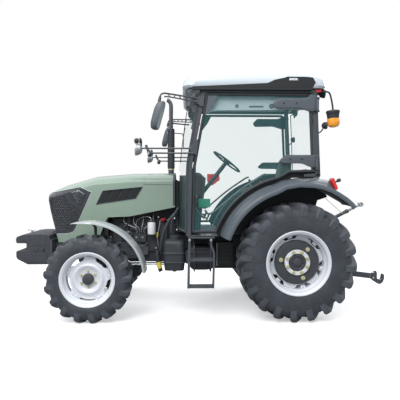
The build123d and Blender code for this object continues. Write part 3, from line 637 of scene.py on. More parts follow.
def smooth(points: Sequence[Vector], steps: int) -> list[Vector]:
    """Points along a smooth line that passes through all the given ones."""
    if len(points) < 3:
        return list(points)
    line = []
    for k in range(len(points) - 1):
        p0, p1, p2 = points[max(k - 1, 0)], points[k], points[k + 1]
        p3 = points[min(k + 2, len(points) - 1)]
        for step in range(steps):
            t = step / steps
            line.append(0.5 * ((2 * p1) + (p2 - p0) * t + (2 * p0 - 5 * p1 + 4 * p2 - p3) * t * t
                               + (3 * p1 - p0 - 3 * p2 + p3) * t * t * t))
    return line + [points[-1]]


def between(table: Outline, place: float) -> float:
    """Value at a place in a table of (place, value) rows, straight between rows."""
    for (x0, v0), (x1, v1) in zip(table, table[1:]):
        if place <= x1:
            return v0 + (v1 - v0) * max(0.0, (place - x0) / (x1 - x0))
    return table[-1][1]


def arc(centre: tuple[float, float], radius: float, start: float, end: float, steps: int) -> Outline:
    """Side points along an arc, by angles in degrees above the forward line."""
    spans = [math.radians(start + (end - start) * k / steps) for k in range(steps + 1)]
    return [(centre[0] + radius * math.cos(t), centre[1] + radius * math.sin(t)) for t in spans]


def beside(line: Outline, distance: float) -> Outline:
    """Side line parallel to another, to its left, with mitred corners."""
    normals = []
    for (x0, z0), (x1, z1) in zip(line, line[1:]):
        length = math.hypot(x1 - x0, z1 - z0)
        normals.append(((z0 - z1) / length, (x1 - x0) / length))
    out = []
    for (x, z), a, b in zip(line, [normals[0]] + normals, normals + [normals[-1]]):
        share = distance / (1 + a[0] * b[0] + a[1] * b[1])
        out.append((x + share * (a[0] + b[0]), z + share * (a[1] + b[1])))
    return out


def strip(line: Outline, width: float) -> Outline:
    """Outline of a bar of one width that follows a side line."""
    return beside(line, width / 2) + beside(line, -width / 2)[::-1]


def side_name(side: int) -> str:
    """Word for a side."""
    return "left" if side > 0 else "right"


# ---------------------------------------------------------------- wheels
class Axle(Enum):
    """Which axle a wheel is on."""

    FRONT = "front"
    REAR = "rear"


@dataclass
class Wheel:
    """One driven wheel: tyre with slanting bars, rim, disc and hub.

    Args:
        axle: The axle that it is on.
        side: 1 for the left, -1 for the right.
        centre: Its middle, as station, distance outward and height.
        half: Half the tyre's width.
        bead: Radius of the rim's seat.
        carcass: (outward, radius) rows from the bead to the crown.
        bars: Tread bars on each half.
        lead: How far a bar's inner end leads its middle.
        width: A bar's width at the top.
        rim_half: Half the rim's width.
    """

    axle: Axle
    side: int
    centre: tuple[float, float, float]
    half: float
    bead: float
    carcass: Outline
    bars: int
    lead: float
    width: float
    rim_half: float
    ROUND: ClassVar[float] = 0.88

    @property
    def body(self) -> str:
        """CAD body that the wheel rides on."""
        return f"{self.axle.value}_wheel_{side_name(self.side)}"

    def polar(self, form: Form, outward: float, angle: float, radius: float) -> Vector:
        """Place on the wheel; the angle turns from straight up towards the front."""
        x, y, z = self.centre
        return form.at(x + radius * math.sin(angle), y + outward, z + radius * math.cos(angle))

    def tyre(self) -> None:
        """Carcass with its ridges, and two rows of bars that wrap over the shoulder."""
        form = Form(RUBBER, self.side)
        wall = self.carcass
        whole = wall + [(-y, r) for y, r in reversed(wall[:-1])]
        inner = [(-self.rim_half + 0.03, self.bead - 0.002), (self.rim_half - 0.03, self.bead - 0.002)]
        form.lathe(self.centre, whole + inner, 128)
        top = self.centre[2]
        crown = wall[-1][1]
        floor = sorted({y: r for y, r in wall if r > 0.8 * crown}.items())
        # Share of the half width, depth of the bar's face below the top, and extra half width.
        stations = [(0.04, 0.0, 0.0), (0.1, 0.0, 0.002), (0.35, 0.0, 0.0), (0.62, 0.0015, 0.0),
                    (0.8, 0.005, 0.003), (0.92, 0.016, 0.006), (0.985, 0.036, 0.009),
                    (1.0, 0.06, 0.008), (1.0, 0.085, 0.002)]
        form.use(TREAD)
        for row in (1, -1):
            for k in range(self.bars):
                middle = 2 * math.pi * (k + (0.5 if row < 0 else 0)) / self.bars
                rings = []
                for share, drop, wider in stations:
                    y = share * self.half
                    lean = self.lead * (1 - 2 * share) * (0.8 + 0.2 * share)
                    face = top - drop
                    base = min(between(floor, y), face - 0.004) - 0.004
                    turn = middle + lean / crown
                    half = self.width / 2 + wider
                    foot = half + 0.010
                    section = [(-foot, base), (-half - 0.002, face - 0.005), (-half + 0.003, face),
                               (half - 0.003, face), (half + 0.002, face - 0.005), (foot, base)]
                    rings.append([self.polar(form, row * y, turn + s / crown, r) for s, r in section])
                form.loft(rings)
        # Thin raised line round the wall.
        form.use(RUBBER)
        for row in (1, -1):
            y, r = wall[2]
            form.lathe(self.centre, [(row * (y - 0.003), r + 0.013), (row * (y + 0.0005), r + 0.010),
                                     (row * (y + 0.0005), r + 0.004), (row * (y - 0.003), r)], 96)
        form.make(f"{self.body}_tyre", self.body, angle=38,
                  replaces=[f"{self.axle.value}_tyre_{side_name(self.side)}"])

    def barrel(self, form: Form) -> None:
        """Rim barrel with rolled flanges and a drop centre."""
        w, b = self.rim_half, self.bead
        outer = [(w - 0.012, b + 0.004), (w - 0.006, b + 0.018), (w, b + 0.025), (w + 0.006, b + 0.024),
                 (w + 0.008, b + 0.017), (w + 0.003, b + 0.004), (w - 0.006, b - 0.008),
                 (w - 0.035, b - 0.012), (w - 0.045, b - 0.018), (w - 0.065, b - 0.03)]
        under = [(-y, r) for y, r in reversed(outer)]
        back = [(-w + 0.06, b - 0.018), (-w + 0.03, b), (w - 0.03, b), (w - 0.06, b - 0.018)]
        form.lathe(self.centre, outer + under + back)

    def disc(self, form: Form, face: float, sheet: float, edge: Callable[[float], float],
             dish: Outline, hole: float) -> None:
        """Wheel disc whose edge reaches the barrel in lobes.

        Args:
            form: The form that takes it.
            face: Its outer face from the tyre's middle.
            sheet: Its thickness.
            edge: Radius of its edge at an angle.
            dish: (radius share, outward shift) rows from the edge inward.
            hole: Radius of its middle hole.
        """
        steps = 180
        rings = []
        low = min(edge(t) for t in turns(steps))
        for share, shift in dish + [(s, d - sheet) for s, d in reversed(dish)]:
            ring = []
            lobed = max(0.0, share - self.ROUND) / (1 - self.ROUND)
            for t in turns(steps):
                reach = hole + (low + (edge(t) - low) * lobed - hole) * share
                ring.append(self.polar(form, face + shift, t, reach))
            rings.append(ring)
        form.loft(rings, ends=False, loop=True)

    def bolts(self, form: Form, face: float, circle: float, count: int, first: float,
              size: float, depth: float) -> None:
        """Ring of bolts; the first angle is in degrees from straight up to the front."""
        for t in turns(count, math.radians(first)):
            x, y, z = self.centre
            place = (x + circle * math.sin(t), y + face, z + circle * math.cos(t))
            form.bolt(place, (0, 1, 0), size, depth)

    def valve(self, form: Form, angle: float) -> None:
        """Valve stem beside the flange."""
        x, y, z = self.centre
        r = self.bead - 0.03
        spot = (x + r * math.sin(angle), y + self.rim_half - 0.05, z + r * math.cos(angle))
        form.rod(spot, (spot[0], spot[1] + 0.035, spot[2]), 0.004, 10)

    def build(self) -> None:
        """Make the tyre and the rim with its hub."""
        self.tyre()
        if self.axle is Axle.REAR:
            self.rear_rim()
        else:
            self.front_rim()

    def rear_rim(self) -> None:
        """Lobed silver disc, cast wheel weight, bolt ring and hub cap."""
        form = Form(SILVER, self.side)
        self.barrel(form)
        reach = self.bead - 0.031
        self.disc(form, 0.052, 0.012,
                  lambda t: reach - 0.036 * max(0.0, min(1.0, 0.5 - 1.6 * math.cos(6 * (t + 0.26)))),
                  [(1.0, 0.0), (0.93, 0.004), (0.8, 0.0), (0.0, 0.0)], 0.07)
        for t in turns(6, math.radians(15)):
            rings = []
            for out, r in ((0.046, reach - 0.03), (0.046, reach + 0.002), (0.062, reach + 0.002),
                           (0.062, reach - 0.022)):
                rings.append([self.polar(form, out, t + s * 0.09, r) for s in (-1, 1)])
            form.loft([[a[0] for a in rings], [a[1] for a in rings]])
        self.bolts(form, 0.062, reach - 0.012, 6, 15, 0.008, 0.012)
        form.lathe(self.centre, [(0.05, 0.13), (0.105, 0.13), (0.112, 0.125), (0.112, 0.092),
                                 (0.1, 0.088), (0.05, 0.088)], 64)
        self.valve(form, 2.4)
        form.use(ZINC)
        self.bolts(form, 0.112, 0.109, 8, 22.5, 0.0135, 0.016)
        form.make(f"{self.body}_rim", self.body, bevel=0.0012,
                  replaces=[f"rear_rim_{side_name(self.side)}"])
        form = Form(IRON, self.side)
        weight = [(0.054, 0.132), (0.088, 0.132), (0.094, 0.14), (0.094, 0.2), (0.088, 0.215),
                  (0.08, 0.227), (0.054, 0.227)]
        form.lathe(self.centre, weight, 96)
        for t in (math.radians(90 - a) for a in (129, 9, -111)):
            x, y, z = self.centre
            spot = (x + 0.168 * math.sin(t), y + 0.09, z + 0.168 * math.cos(t))
            form.turned(spot, (spot[0], spot[1] + 0.012, spot[2]),
                        [(0, 0.034), (0.006, 0.033), (0.009, 0.029)], 32)
        cap = [(0.05, 0.086), (0.1, 0.086), (0.108, 0.08), (0.11, 0.066), (0.104, 0.06), (0.104, 0.045),
               (0.112, 0.04), (0.116, 0.03), (0.116, 0.001)]
        form.lathe(self.centre, cap, 64, loop=False)
        for t in turns(8):
            rings = [[self.polar(form, out, t + s, r) for s in (-0.06, 0.06)]
                     for out, r in ((0.1, 0.047), (0.1, 0.074), (0.114, 0.07), (0.114, 0.05))]
            form.loft([[a[0] for a in rings], [a[1] for a in rings]])
        form.use(ZINC)
        for t in (math.radians(90 - a) for a in (129, 9, -111)):
            x, y, z = self.centre
            spot = (x + 0.168 * math.sin(t), y + 0.099, z + 0.168 * math.cos(t))
            form.bolt(spot, (0, 1, 0), 0.016, 0.016)
        form.make(f"{self.body}_weight", self.body, bevel=0.0012,
                  replaces=[f"rear_hub_{side_name(self.side)}"])

    def front_rim(self) -> None:
        """Dished pale disc on five lobes, yellow bolts and a black cap."""
        form = Form(SILVER, self.side)
        self.barrel(form)
        reach = self.bead - 0.031
        lobes = math.radians(90 - 94)

        def edge(t: float) -> float:
            """Radius of the disc's edge, which drops back between its lobes."""
            return reach - 0.034 * max(0.0, min(1.0, 0.62 - 1.5 * math.cos(5 * (t - lobes))))

        self.disc(form, 0.03, 0.008, edge,
                  [(1.0, 0.0), (0.9, 0.003), (0.82, 0.005), (0.74, 0.018), (0.66, 0.026),
                   (0.56, 0.024), (0.4, 0.008), (0.3, 0.004), (0.0, 0.004)], 0.05)
        for t in turns(5, lobes):
            rings = [[self.polar(form, out, t + s * 0.16, r) for s in (-1, 1)]
                     for out, r in ((0.02, reach - 0.02), (0.02, reach + 0.002), (0.04, reach + 0.002),
                                    (0.04, reach - 0.012))]
            form.loft([[a[0] for a in rings], [a[1] for a in rings]])
            for s in (-0.1, 0.1):
                x, y, z = self.centre
                spot = (x + (reach - 0.014) * math.sin(t + s), y + 0.034,
                        z + (reach - 0.014) * math.cos(t + s))
                form.bolt(spot, (0, 1, 0), 0.007, 0.01)
        inner = 0.6023 - self.centre[1]
        form.lathe(self.centre, [(inner, 0.05), (inner, 0.092), (0.026, 0.092), (0.026, 0.05)], 48)
        self.valve(form, 3.6)
        form.use(ZINC)
        self.bolts(form, 0.034, 0.081, 6, 2, 0.0105, 0.014)
        form.use(IRON)
        form.lathe(self.centre, [(0.02, 0.058), (0.06, 0.057), (0.07, 0.053), (0.074, 0.044),
                                 (0.075, 0.001)],
                   48, loop=False)
        form.make(f"{self.body}_rim", self.body, bevel=0.0012,
                  replaces=[f"front_rim_{side_name(self.side)}"])


# ---------------------------------------------------------------- bonnet
def inside(outline: Outline, x: float, z: float) -> bool:
    """Whether a side point lies in an outline."""
    hit = False
    for (x0, z0), (x1, z1) in zip(outline, outline[1:] + outline[:1]):
        if (z0 > z) != (z1 > z) and x < x0 + (x1 - x0) * (z - z0) / (z1 - z0):
            hit = not hit
    return hit


@dataclass
class Nose:
    """Bonnet, its mask with grille and lamps, and its side vents.

    Args:
        sections: station, crown height, crown half width, crease half width, foot half width.
        outline: Side outline of the whole nose.
        mask: Side outline of the black mask.
        vent: Side outline of the vent.
        lamp: Side outline of the head lamp.
        mesh_area: Side outline of the honeycomb.
        sheet: Thickness of the skin.
        cell: Width of a honeycomb cell.
    """

    sections: tuple[tuple[float, float, float, float, float], ...] = (
        (1.25, 1.53, 0.205, 0.292, 0.300), (1.74, 1.524, 0.200, 0.290, 0.296),
        (2.15, 1.490, 0.185, 0.278, 0.282), (2.48, 1.395, 0.160, 0.250, 0.258),
        (2.62, 1.335, 0.140, 0.215, 0.225), (2.74, 1.276, 0.105, 0.150, 0.162),
    )
    outline: tuple[tuple[float, float], ...] = (
        (1.25, 1.6), (1.25, 1.147), (1.748, 1.045), (1.99, 1.035), (2.02, 0.99), (2.11, 0.755),
        (2.55, 0.755), (2.573, 0.852), (2.693, 1.3), (2.73, 1.6),
    )
    mask: tuple[tuple[float, float], ...] = (
        (2.76, 1.268), (2.76, 1.288), (2.297, 1.368), (2.176, 1.31), (2.36, 0.90), (2.385, 0.872),
        (2.43, 0.858), (2.48, 0.852), (2.76, 0.852),
    )
    vent: tuple[tuple[float, float], ...] = ((2.049, 1.33), (1.60, 1.375), (1.68, 1.239), (2.125, 1.172))
    lamp: tuple[tuple[float, float], ...] = (
        (2.43, 1.316), (2.31, 1.337), (2.235, 1.292), (2.29, 1.165), (2.40, 1.235),
    )
    sheet: float = 0.008
    cell: float = 0.021

    def section(self, x: float) -> Outline:
        """Half section (across, height) from the crown to the foot, at a station."""
        for low, high in zip(self.sections, self.sections[1:]):
            if x <= high[0]:
                break
        t = (x - low[0]) / (high[0] - low[0])
        crown, ch, cr, foot = (a + (b - a) * t for a, b in zip(low[1:], high[1:]))
        keys = [(0.0, crown), (0.5 * ch, crown - 0.007), (0.92 * ch, crown - 0.022),
                (0.5 * (ch + cr) + 0.006, crown - 0.054), (cr - 0.002, crown - 0.094),
                (cr + 0.001, crown - 0.098), (cr + 0.004, crown - 0.16),
                (0.3 * cr + 0.7 * foot + 0.004, 1.12),
                (foot + 0.001, 0.95), (foot - 0.004, 0.8), (foot - 0.012, 0.70)]
        line = smooth([Vector((y, z, 0)) for y, z in keys[:5]], 4)[:-1]
        line += smooth([Vector((y, z, 0)) for y, z in keys[5:]], 5)
        return [(p.x, p.y) for p in line]

    def across(self, x: float, z: float, inset: float = 0.0) -> float:
        """Distance out to the skin's side at a station and height."""
        half = self.section(max(1.25, min(2.74, x)))
        rows = [(-h, y) for y, h in half]
        return between(rows, -z) - inset

    def skin(self, inset: float, stations: int = 46) -> bmesh.types.BMesh:
        """Whole nose skin as a grid, with a front wall, set in by a distance."""
        mesh = bmesh.new()
        rows = []
        for k in range(stations + 1):
            x = 1.25 + (2.735 - 1.25) * k / stations
            half = [(max(0.0, y - inset * (1 if y > 0 else 0)), z - inset * (1 if z > 1.2 else 0))
                    for y, z in self.section(x)]
            ring = [(-y, z) for y, z in reversed(half[1:])] + half
            rows.append([mesh.verts.new((Form.rear + x, y, z)) for y, z in ring])
        for low, high in zip(rows, rows[1:]):
            for a, b, c, d in zip(low, low[1:], high[1:], high):
                mesh.faces.new((a, b, c, d))
        return mesh

    def front(self, mesh: bmesh.types.BMesh, inset: float) -> None:
        """Slanted front wall, whose corners round into the sides."""
        x0, z0, x1, z1 = 2.548, 0.755, 2.700, 1.31
        rows = []
        for i in range(19):
            t = i / 18
            z = z0 + (z1 - z0) * t
            x = x0 + (x1 - x0) * t - inset
            half = self.across(x, z, inset)
            row = []
            for k in range(-12, 13):
                s = k / 12
                bulge = 0.028 * (1 - s * s)
                row.append(mesh.verts.new((Form.rear + x - 0.028 + bulge, half * s, z)))
            rows.append(row)
        for low, high in zip(rows, rows[1:]):
            for a, b, c, d in zip(low, low[1:], high[1:], high):
                mesh.faces.new((a, b, c, d))

    def take(self, name: str, finish: Finish, keep: Callable[[float, float], bool], inset: float,
             thick: float, cuts: Sequence[Sequence[tuple[float, float]]], replaces: Sequence[str] = (),
             wall: bool = False) -> bpy.types.Object:
        """Make a panel from the part of the skin that is kept.

        Args:
            name: The piece's name.
            finish: Its finish.
            keep: Whether a side point belongs to the panel.
            inset: How far the panel lies under the nose's skin.
            thick: Its thickness.
            cuts: Outlines along which the skin is cut.
            replaces: CAD nodes that it stands for.
            wall: Whether the front wall belongs to it.

        Returns:
            The panel.
        """
        mesh = self.skin(inset)
        if wall:
            self.front(mesh, inset)
        for outline in cuts:
            for (x0, z0), (x1, z1) in zip(outline, list(outline[1:]) + list(outline[:1])):
                lows = (min(x0, x1) - 0.04, min(z0, z1) - 0.04)
                highs = (max(x0, x1) + 0.04, max(z0, z1) + 0.04)
                near = [f for f in mesh.faces
                        if lows[0] < f.calc_center_median().x - Form.rear < highs[0]
                        and lows[1] < f.calc_center_median().z < highs[1]]
                parts = list({v for f in near for v in f.verts} | {e for f in near
                                                                   for e in f.edges} | set(near))
                bmesh.ops.bisect_plane(mesh, geom=parts, plane_co=(Form.rear + x0, 0, z0),
                                       plane_no=(z1 - z0, 0, x0 - x1), dist=1e-6)
        drop = [f for f in mesh.faces
                if not keep(f.calc_center_median().x - Form.rear, f.calc_center_median().z)]
        bmesh.ops.delete(mesh, geom=drop, context="FACES")
        form = Form(finish)
        form.mesh.free()
        form.mesh = mesh
        piece = form.make(name, "bonnet", angle=28, replaces=replaces)
        shell = piece.modifiers.new("sheet", "SOLIDIFY")
        shell.thickness, shell.offset = thick, -1
        ease = piece.modifiers.new("eased_edges", "BEVEL")
        ease.width, ease.segments, ease.limit_method = 0.0012, 2, "ANGLE"
        ease.angle_limit, ease.harden_normals = math.radians(50), True
        return piece

    def honeycomb(self) -> None:
        """Honeycomb mesh set into the mask, with a dark screen behind it."""
        form = Form(GLOSSY)
        pitch = self.cell
        rows = int(0.62 / (pitch * 0.866))
        area = self.mesh_area()
        for side in (1, -1):
            for i in range(rows):
                for k in range(int(0.6 / pitch)):
                    x = 2.15 + pitch * (k + 0.5 * (i % 2))
                    z = 0.83 + pitch * 0.866 * i
                    ring = [(x + pitch * 0.577 * math.sin(t), z + pitch * 0.577 * math.cos(t))
                            for t in turns(6)]
                    if not all(inside(area, *p) for p in ring):
                        continue
                    self.honey_cell(form, [self.skin_point(px, pz, side) for px, pz in ring],
                                    self.skin_point(x, z, side), side)
        for i in range(int(0.37 / (pitch * 0.866))):
            for k in range(-6, 7):
                y = pitch * (k + 0.5 * (i % 2))
                z = 0.885 + pitch * 0.866 * i
                ring = [(y + pitch * 0.577 * math.sin(t), z + pitch * 0.577 * math.cos(t))
                        for t in turns(6)]
                if max(abs(p[0]) for p in ring) > 0.125:
                    continue
                self.honey_cell(form, [self.front_point(py, pz) for py, pz in ring], self.front_point(y, z),
                                0)
        form.make("grille_honeycomb", "bonnet", angle=30)

    def skin_point(self, x: float, z: float, side: int) -> Vector:
        """Place on the mask's side."""
        return Vector((Form.rear + x, side * (self.across(x, z) - 0.001), z))

    def front_point(self, y: float, z: float) -> Vector:
        """Place on the mask's front wall."""
        t = (z - 0.755) / (1.31 - 0.755)
        x = 2.548 + (2.7 - 2.548) * t
        half = max(0.13, self.across(x, z))
        return Vector((Form.rear + x - 0.028 + 0.028 * (1 - (y / half) ** 2) + 0.001, y, z))

    def honey_cell(self, form: Form, ring: list[Vector], middle: Vector, side: int) -> None:
        """One cell: a rim that stands proud, its walls and a sunk floor."""
        out = Vector((0, side, 0)) if side else Vector((0.96, 0, -0.26))
        lift, sunk = out * 0.0035, out * -0.004
        inner = [middle + (p - middle) * 0.80 for p in ring]
        form.use(GLOSSY)
        form.loft([[p - out * 0.002 for p in ring], [p + lift * 0.6 for p in ring], [p + lift for p in
                  [middle + (q - middle) * 0.94 for q in ring]], [p + lift * 0.7 for p in inner],
                   [p + sunk for p in inner]], ends=False)
        form.use(ENGINE)
        form.face([form.mesh.verts.new(p + sunk) for p in inner])

    def mesh_area(self) -> Outline:
        """Side outline that the honeycomb fills, clear of the lamp."""
        return [(2.675, 1.262), (2.47, 1.295), (2.412, 1.195), (2.288, 1.128), (2.385, 0.915),
                (2.42, 0.885), (2.56, 0.883), (2.585, 0.93)]

    def lamps(self) -> None:
        """Head lamps: a chrome bowl with two reflectors behind smoked glass."""
        for side in SIDES:
            form = Form(STEEL, side)
            for x, z, r in ((2.335, 1.275, 0.031), (2.32, 1.222, 0.02)):
                y = self.across(x, z)
                form.turned((x, y - 0.02, z), (x, y + 0.002, z),
                            [(0.0, r * 0.3), (0.008, r * 0.75), (0.019, r), (0.021, r + 0.003),
                             (0.017, r + 0.003)], 32)
                form.turned((x, y - 0.01, z), (x, y, z),
                            [(0.0, r * 0.3), (0.008, r * 0.22), (0.01, 0.001)], 20)
            form.make(f"head_lamp_bowl_{side_name(side)}", "bonnet", bevel=0.0006)
            glass = Form(SMOKED, side)
            middle = (sum(x for x, _ in self.lamp) / 5, sum(z for _, z in self.lamp) / 5)
            rings = []
            for scale, lift in ((1.0, 0.0), (0.985, 0.004), (0.94, 0.006), (0.5, 0.0075)):
                ring = [(middle[0] + (x - middle[0]) * scale, middle[1] + (z - middle[1]) * scale)
                        for x, z in self.lamp_edge()]
                rings.append([glass.at(x, self.across(x, z) + lift, z) for x, z in ring])
            glass.loft(rings)
            glass.make(f"head_lamp_glass_{side_name(side)}", "bonnet", angle=50)

    def lamp_edge(self) -> Outline:
        """The lamp's outline with several points on each edge."""
        edge = []
        for (x0, z0), (x1, z1) in zip(self.lamp, self.lamp[1:] + self.lamp[:1]):
            edge += [(x0 + (x1 - x0) * k / 5, z0 + (z1 - z0) * k / 5) for k in range(5)]
        return edge

    def louvres(self) -> None:
        """Slanted louvres in each side vent, in a black tray with a rim."""
        a, b, c, d = self.vent
        for side in SIDES:
            form = Form(DARK, side)
            for k in range(4):
                t0, t1 = k / 4 + 0.012, (k + 1) / 4 - 0.012
                top = [(b[0] + (a[0] - b[0]) * t, b[1] + (a[1] - b[1]) * t) for t in (t0, t1)]
                low = [(c[0] + (d[0] - c[0]) * t, c[1] + (d[1] - c[1]) * t) for t in (t0, t1)]
                rings = []
                for depth, shrink in ((-0.018, 0.06), (-0.001, 0.06), (0.002, 0.09)):
                    ring = []
                    for (x, z), tilt in ((low[0], -0.016), (low[1], 0.0), (top[1], 0.0), (top[0], -0.016)):
                        mx = (low[0][0] + low[1][0] + top[0][0] + top[1][0]) / 4
                        mz = (low[0][1] + low[1][1] + top[0][1] + top[1][1]) / 4
                        px, pz = x + (mx - x) * shrink, z + (mz - z) * shrink
                        ring.append(form.at(px, self.across(px, pz) + depth + tilt * (depth > -0.01), pz))
                    rings.append(ring)
                form.loft(rings)
            form.make(f"side_vent_louvres_{side_name(side)}", "bonnet", bevel=0.0015)
            rim = Form(TRIM, side)
            edge = [(x, z) for x, z in self.vent]
            rings = []
            for shrink, lift in ((0.0, -0.006), (0.0, 0.003), (0.018, 0.0045), (0.04, 0.003),
                                 (0.05, -0.018)):
                mx, mz = sum(x for x, _ in edge) / 4, sum(z for _, z in edge) / 4
                ring = []
                for (x0, z0), (x1, z1) in zip(edge, edge[1:] + edge[:1]):
                    for j in range(6):
                        x, z = x0 + (x1 - x0) * j / 6, z0 + (z1 - z0) * j / 6
                        px, pz = x + (mx - x) * shrink, z + (mz - z) * shrink * 1.8
                        ring.append(rim.at(px, self.across(px, pz) + lift, pz))
                rings.append(ring)
            rim.loft(rings, ends=False)
            rim.make(f"side_vent_rim_{side_name(side)}", "bonnet", angle=50)

    def trim(self) -> None:
        """Pale bead behind the mask, whose pale paint is a painted highlight along the mask's edge, the
        gasket at the rear, and black lines along the side that are painted shade for shaded grooves.
        """
        for side in SIDES:
            # The bead's pale paint is a painted highlight, standing in for the light caught along the edge
            # of the green panel beside the mask.
            form = Form(PAINTED_HIGHLIGHT_BEAD, side)
            line = [(2.66, 1.3035), (2.48, 1.336), (2.30, 1.371), (2.172, 1.312), (2.27, 1.095),
                    (2.357, 0.90), (2.383, 0.869), (2.43, 0.854), (2.50, 0.849), (2.565, 0.849)]
            path = []
            for (x0, z0), (x1, z1) in zip(line, line[1:]):
                path += [(x0 + (x1 - x0) * k / 4, z0 + (z1 - z0) * k / 4) for k in range(4)]
            form.tube([(x, self.across(x, z) - 0.0005, z) for x, z in path], 0.003, 8, 2)
            form.make(f"mask_highlight_bead_{side_name(side)}", "bonnet")
            # Black tubes along the side: painted shade, standing in for the shade in two shallow grooves of
            # the skin.
            form = Form(PLASTIC, side)
            for z0, z1, x0, x1, r in ((1.456, 1.458, 1.27, 1.72, 0.0022),
                                      (1.393, 1.40, 1.27, 1.60, 0.0028)):
                path = [(x0 + (x1 - x0) * k / 8, z0 + (z1 - z0) * k / 8) for k in range(9)]
                form.tube([(x, self.across(x, z) - 0.001, z) for x, z in path], r, 8, 2)
            form.make(f"bonnet_groove_shade_{side_name(side)}", "bonnet")
        gasket = Form(RUBBER)
        half = [p for p in self.section(1.25) if p[1] > 1.15]
        ring = [(-y, z) for y, z in reversed(half[1:])] + half
        rings = []
        for x, grow in ((1.272, -0.004), (1.272, 0.005), (1.252, 0.006), (1.251, -0.004)):
            rings.append([gasket.at(x, y * (1 + grow / 0.25), z + (grow if z > 1.4 else 0))
                          for y, z in ring])
        gasket.loft(rings, ends=False, loop=True, shut=False)
        gasket.make("bonnet_gasket", "bonnet", angle=40)

    def build(self) -> None:
        """Make every piece of the nose."""
        outline, mask, vent = list(self.outline), list(self.mask), list(self.vent)
        self.take("bonnet_skin", GREEN,
                  lambda x, z: inside(outline, x, z) and not inside(mask, x, z) and not inside(vent, x, z),
                  0.0, self.sheet, (outline, mask, vent), ["bonnet"], wall=True)
        self.take("mask_panel", GLOSSY, lambda x, z: inside(outline, x, z) and inside(mask, x, z),
                  0.003, 0.006, (outline, mask), ["grille"], wall=True)
        self.take("vent_tray", PLASTIC, lambda x, z: inside(vent, x, z), 0.02, 0.004, (vent,),
                  ["bonnet_vents"])
        self.honeycomb()
        self.lamps()
        self.louvres()
        self.trim()


SMOKED = Pane("smoked_lamp_glass", (0.05, 0.06, 0.07), "black_plastic", 0.05, cover=0.55)
# Pale paint of the mask bead: a painted highlight along the mask's edge.
PAINTED_HIGHLIGHT_BEAD = Paint("painted_highlight_bead_paint", (0.55, 0.6, 0.58), "sage_green", 0.3)


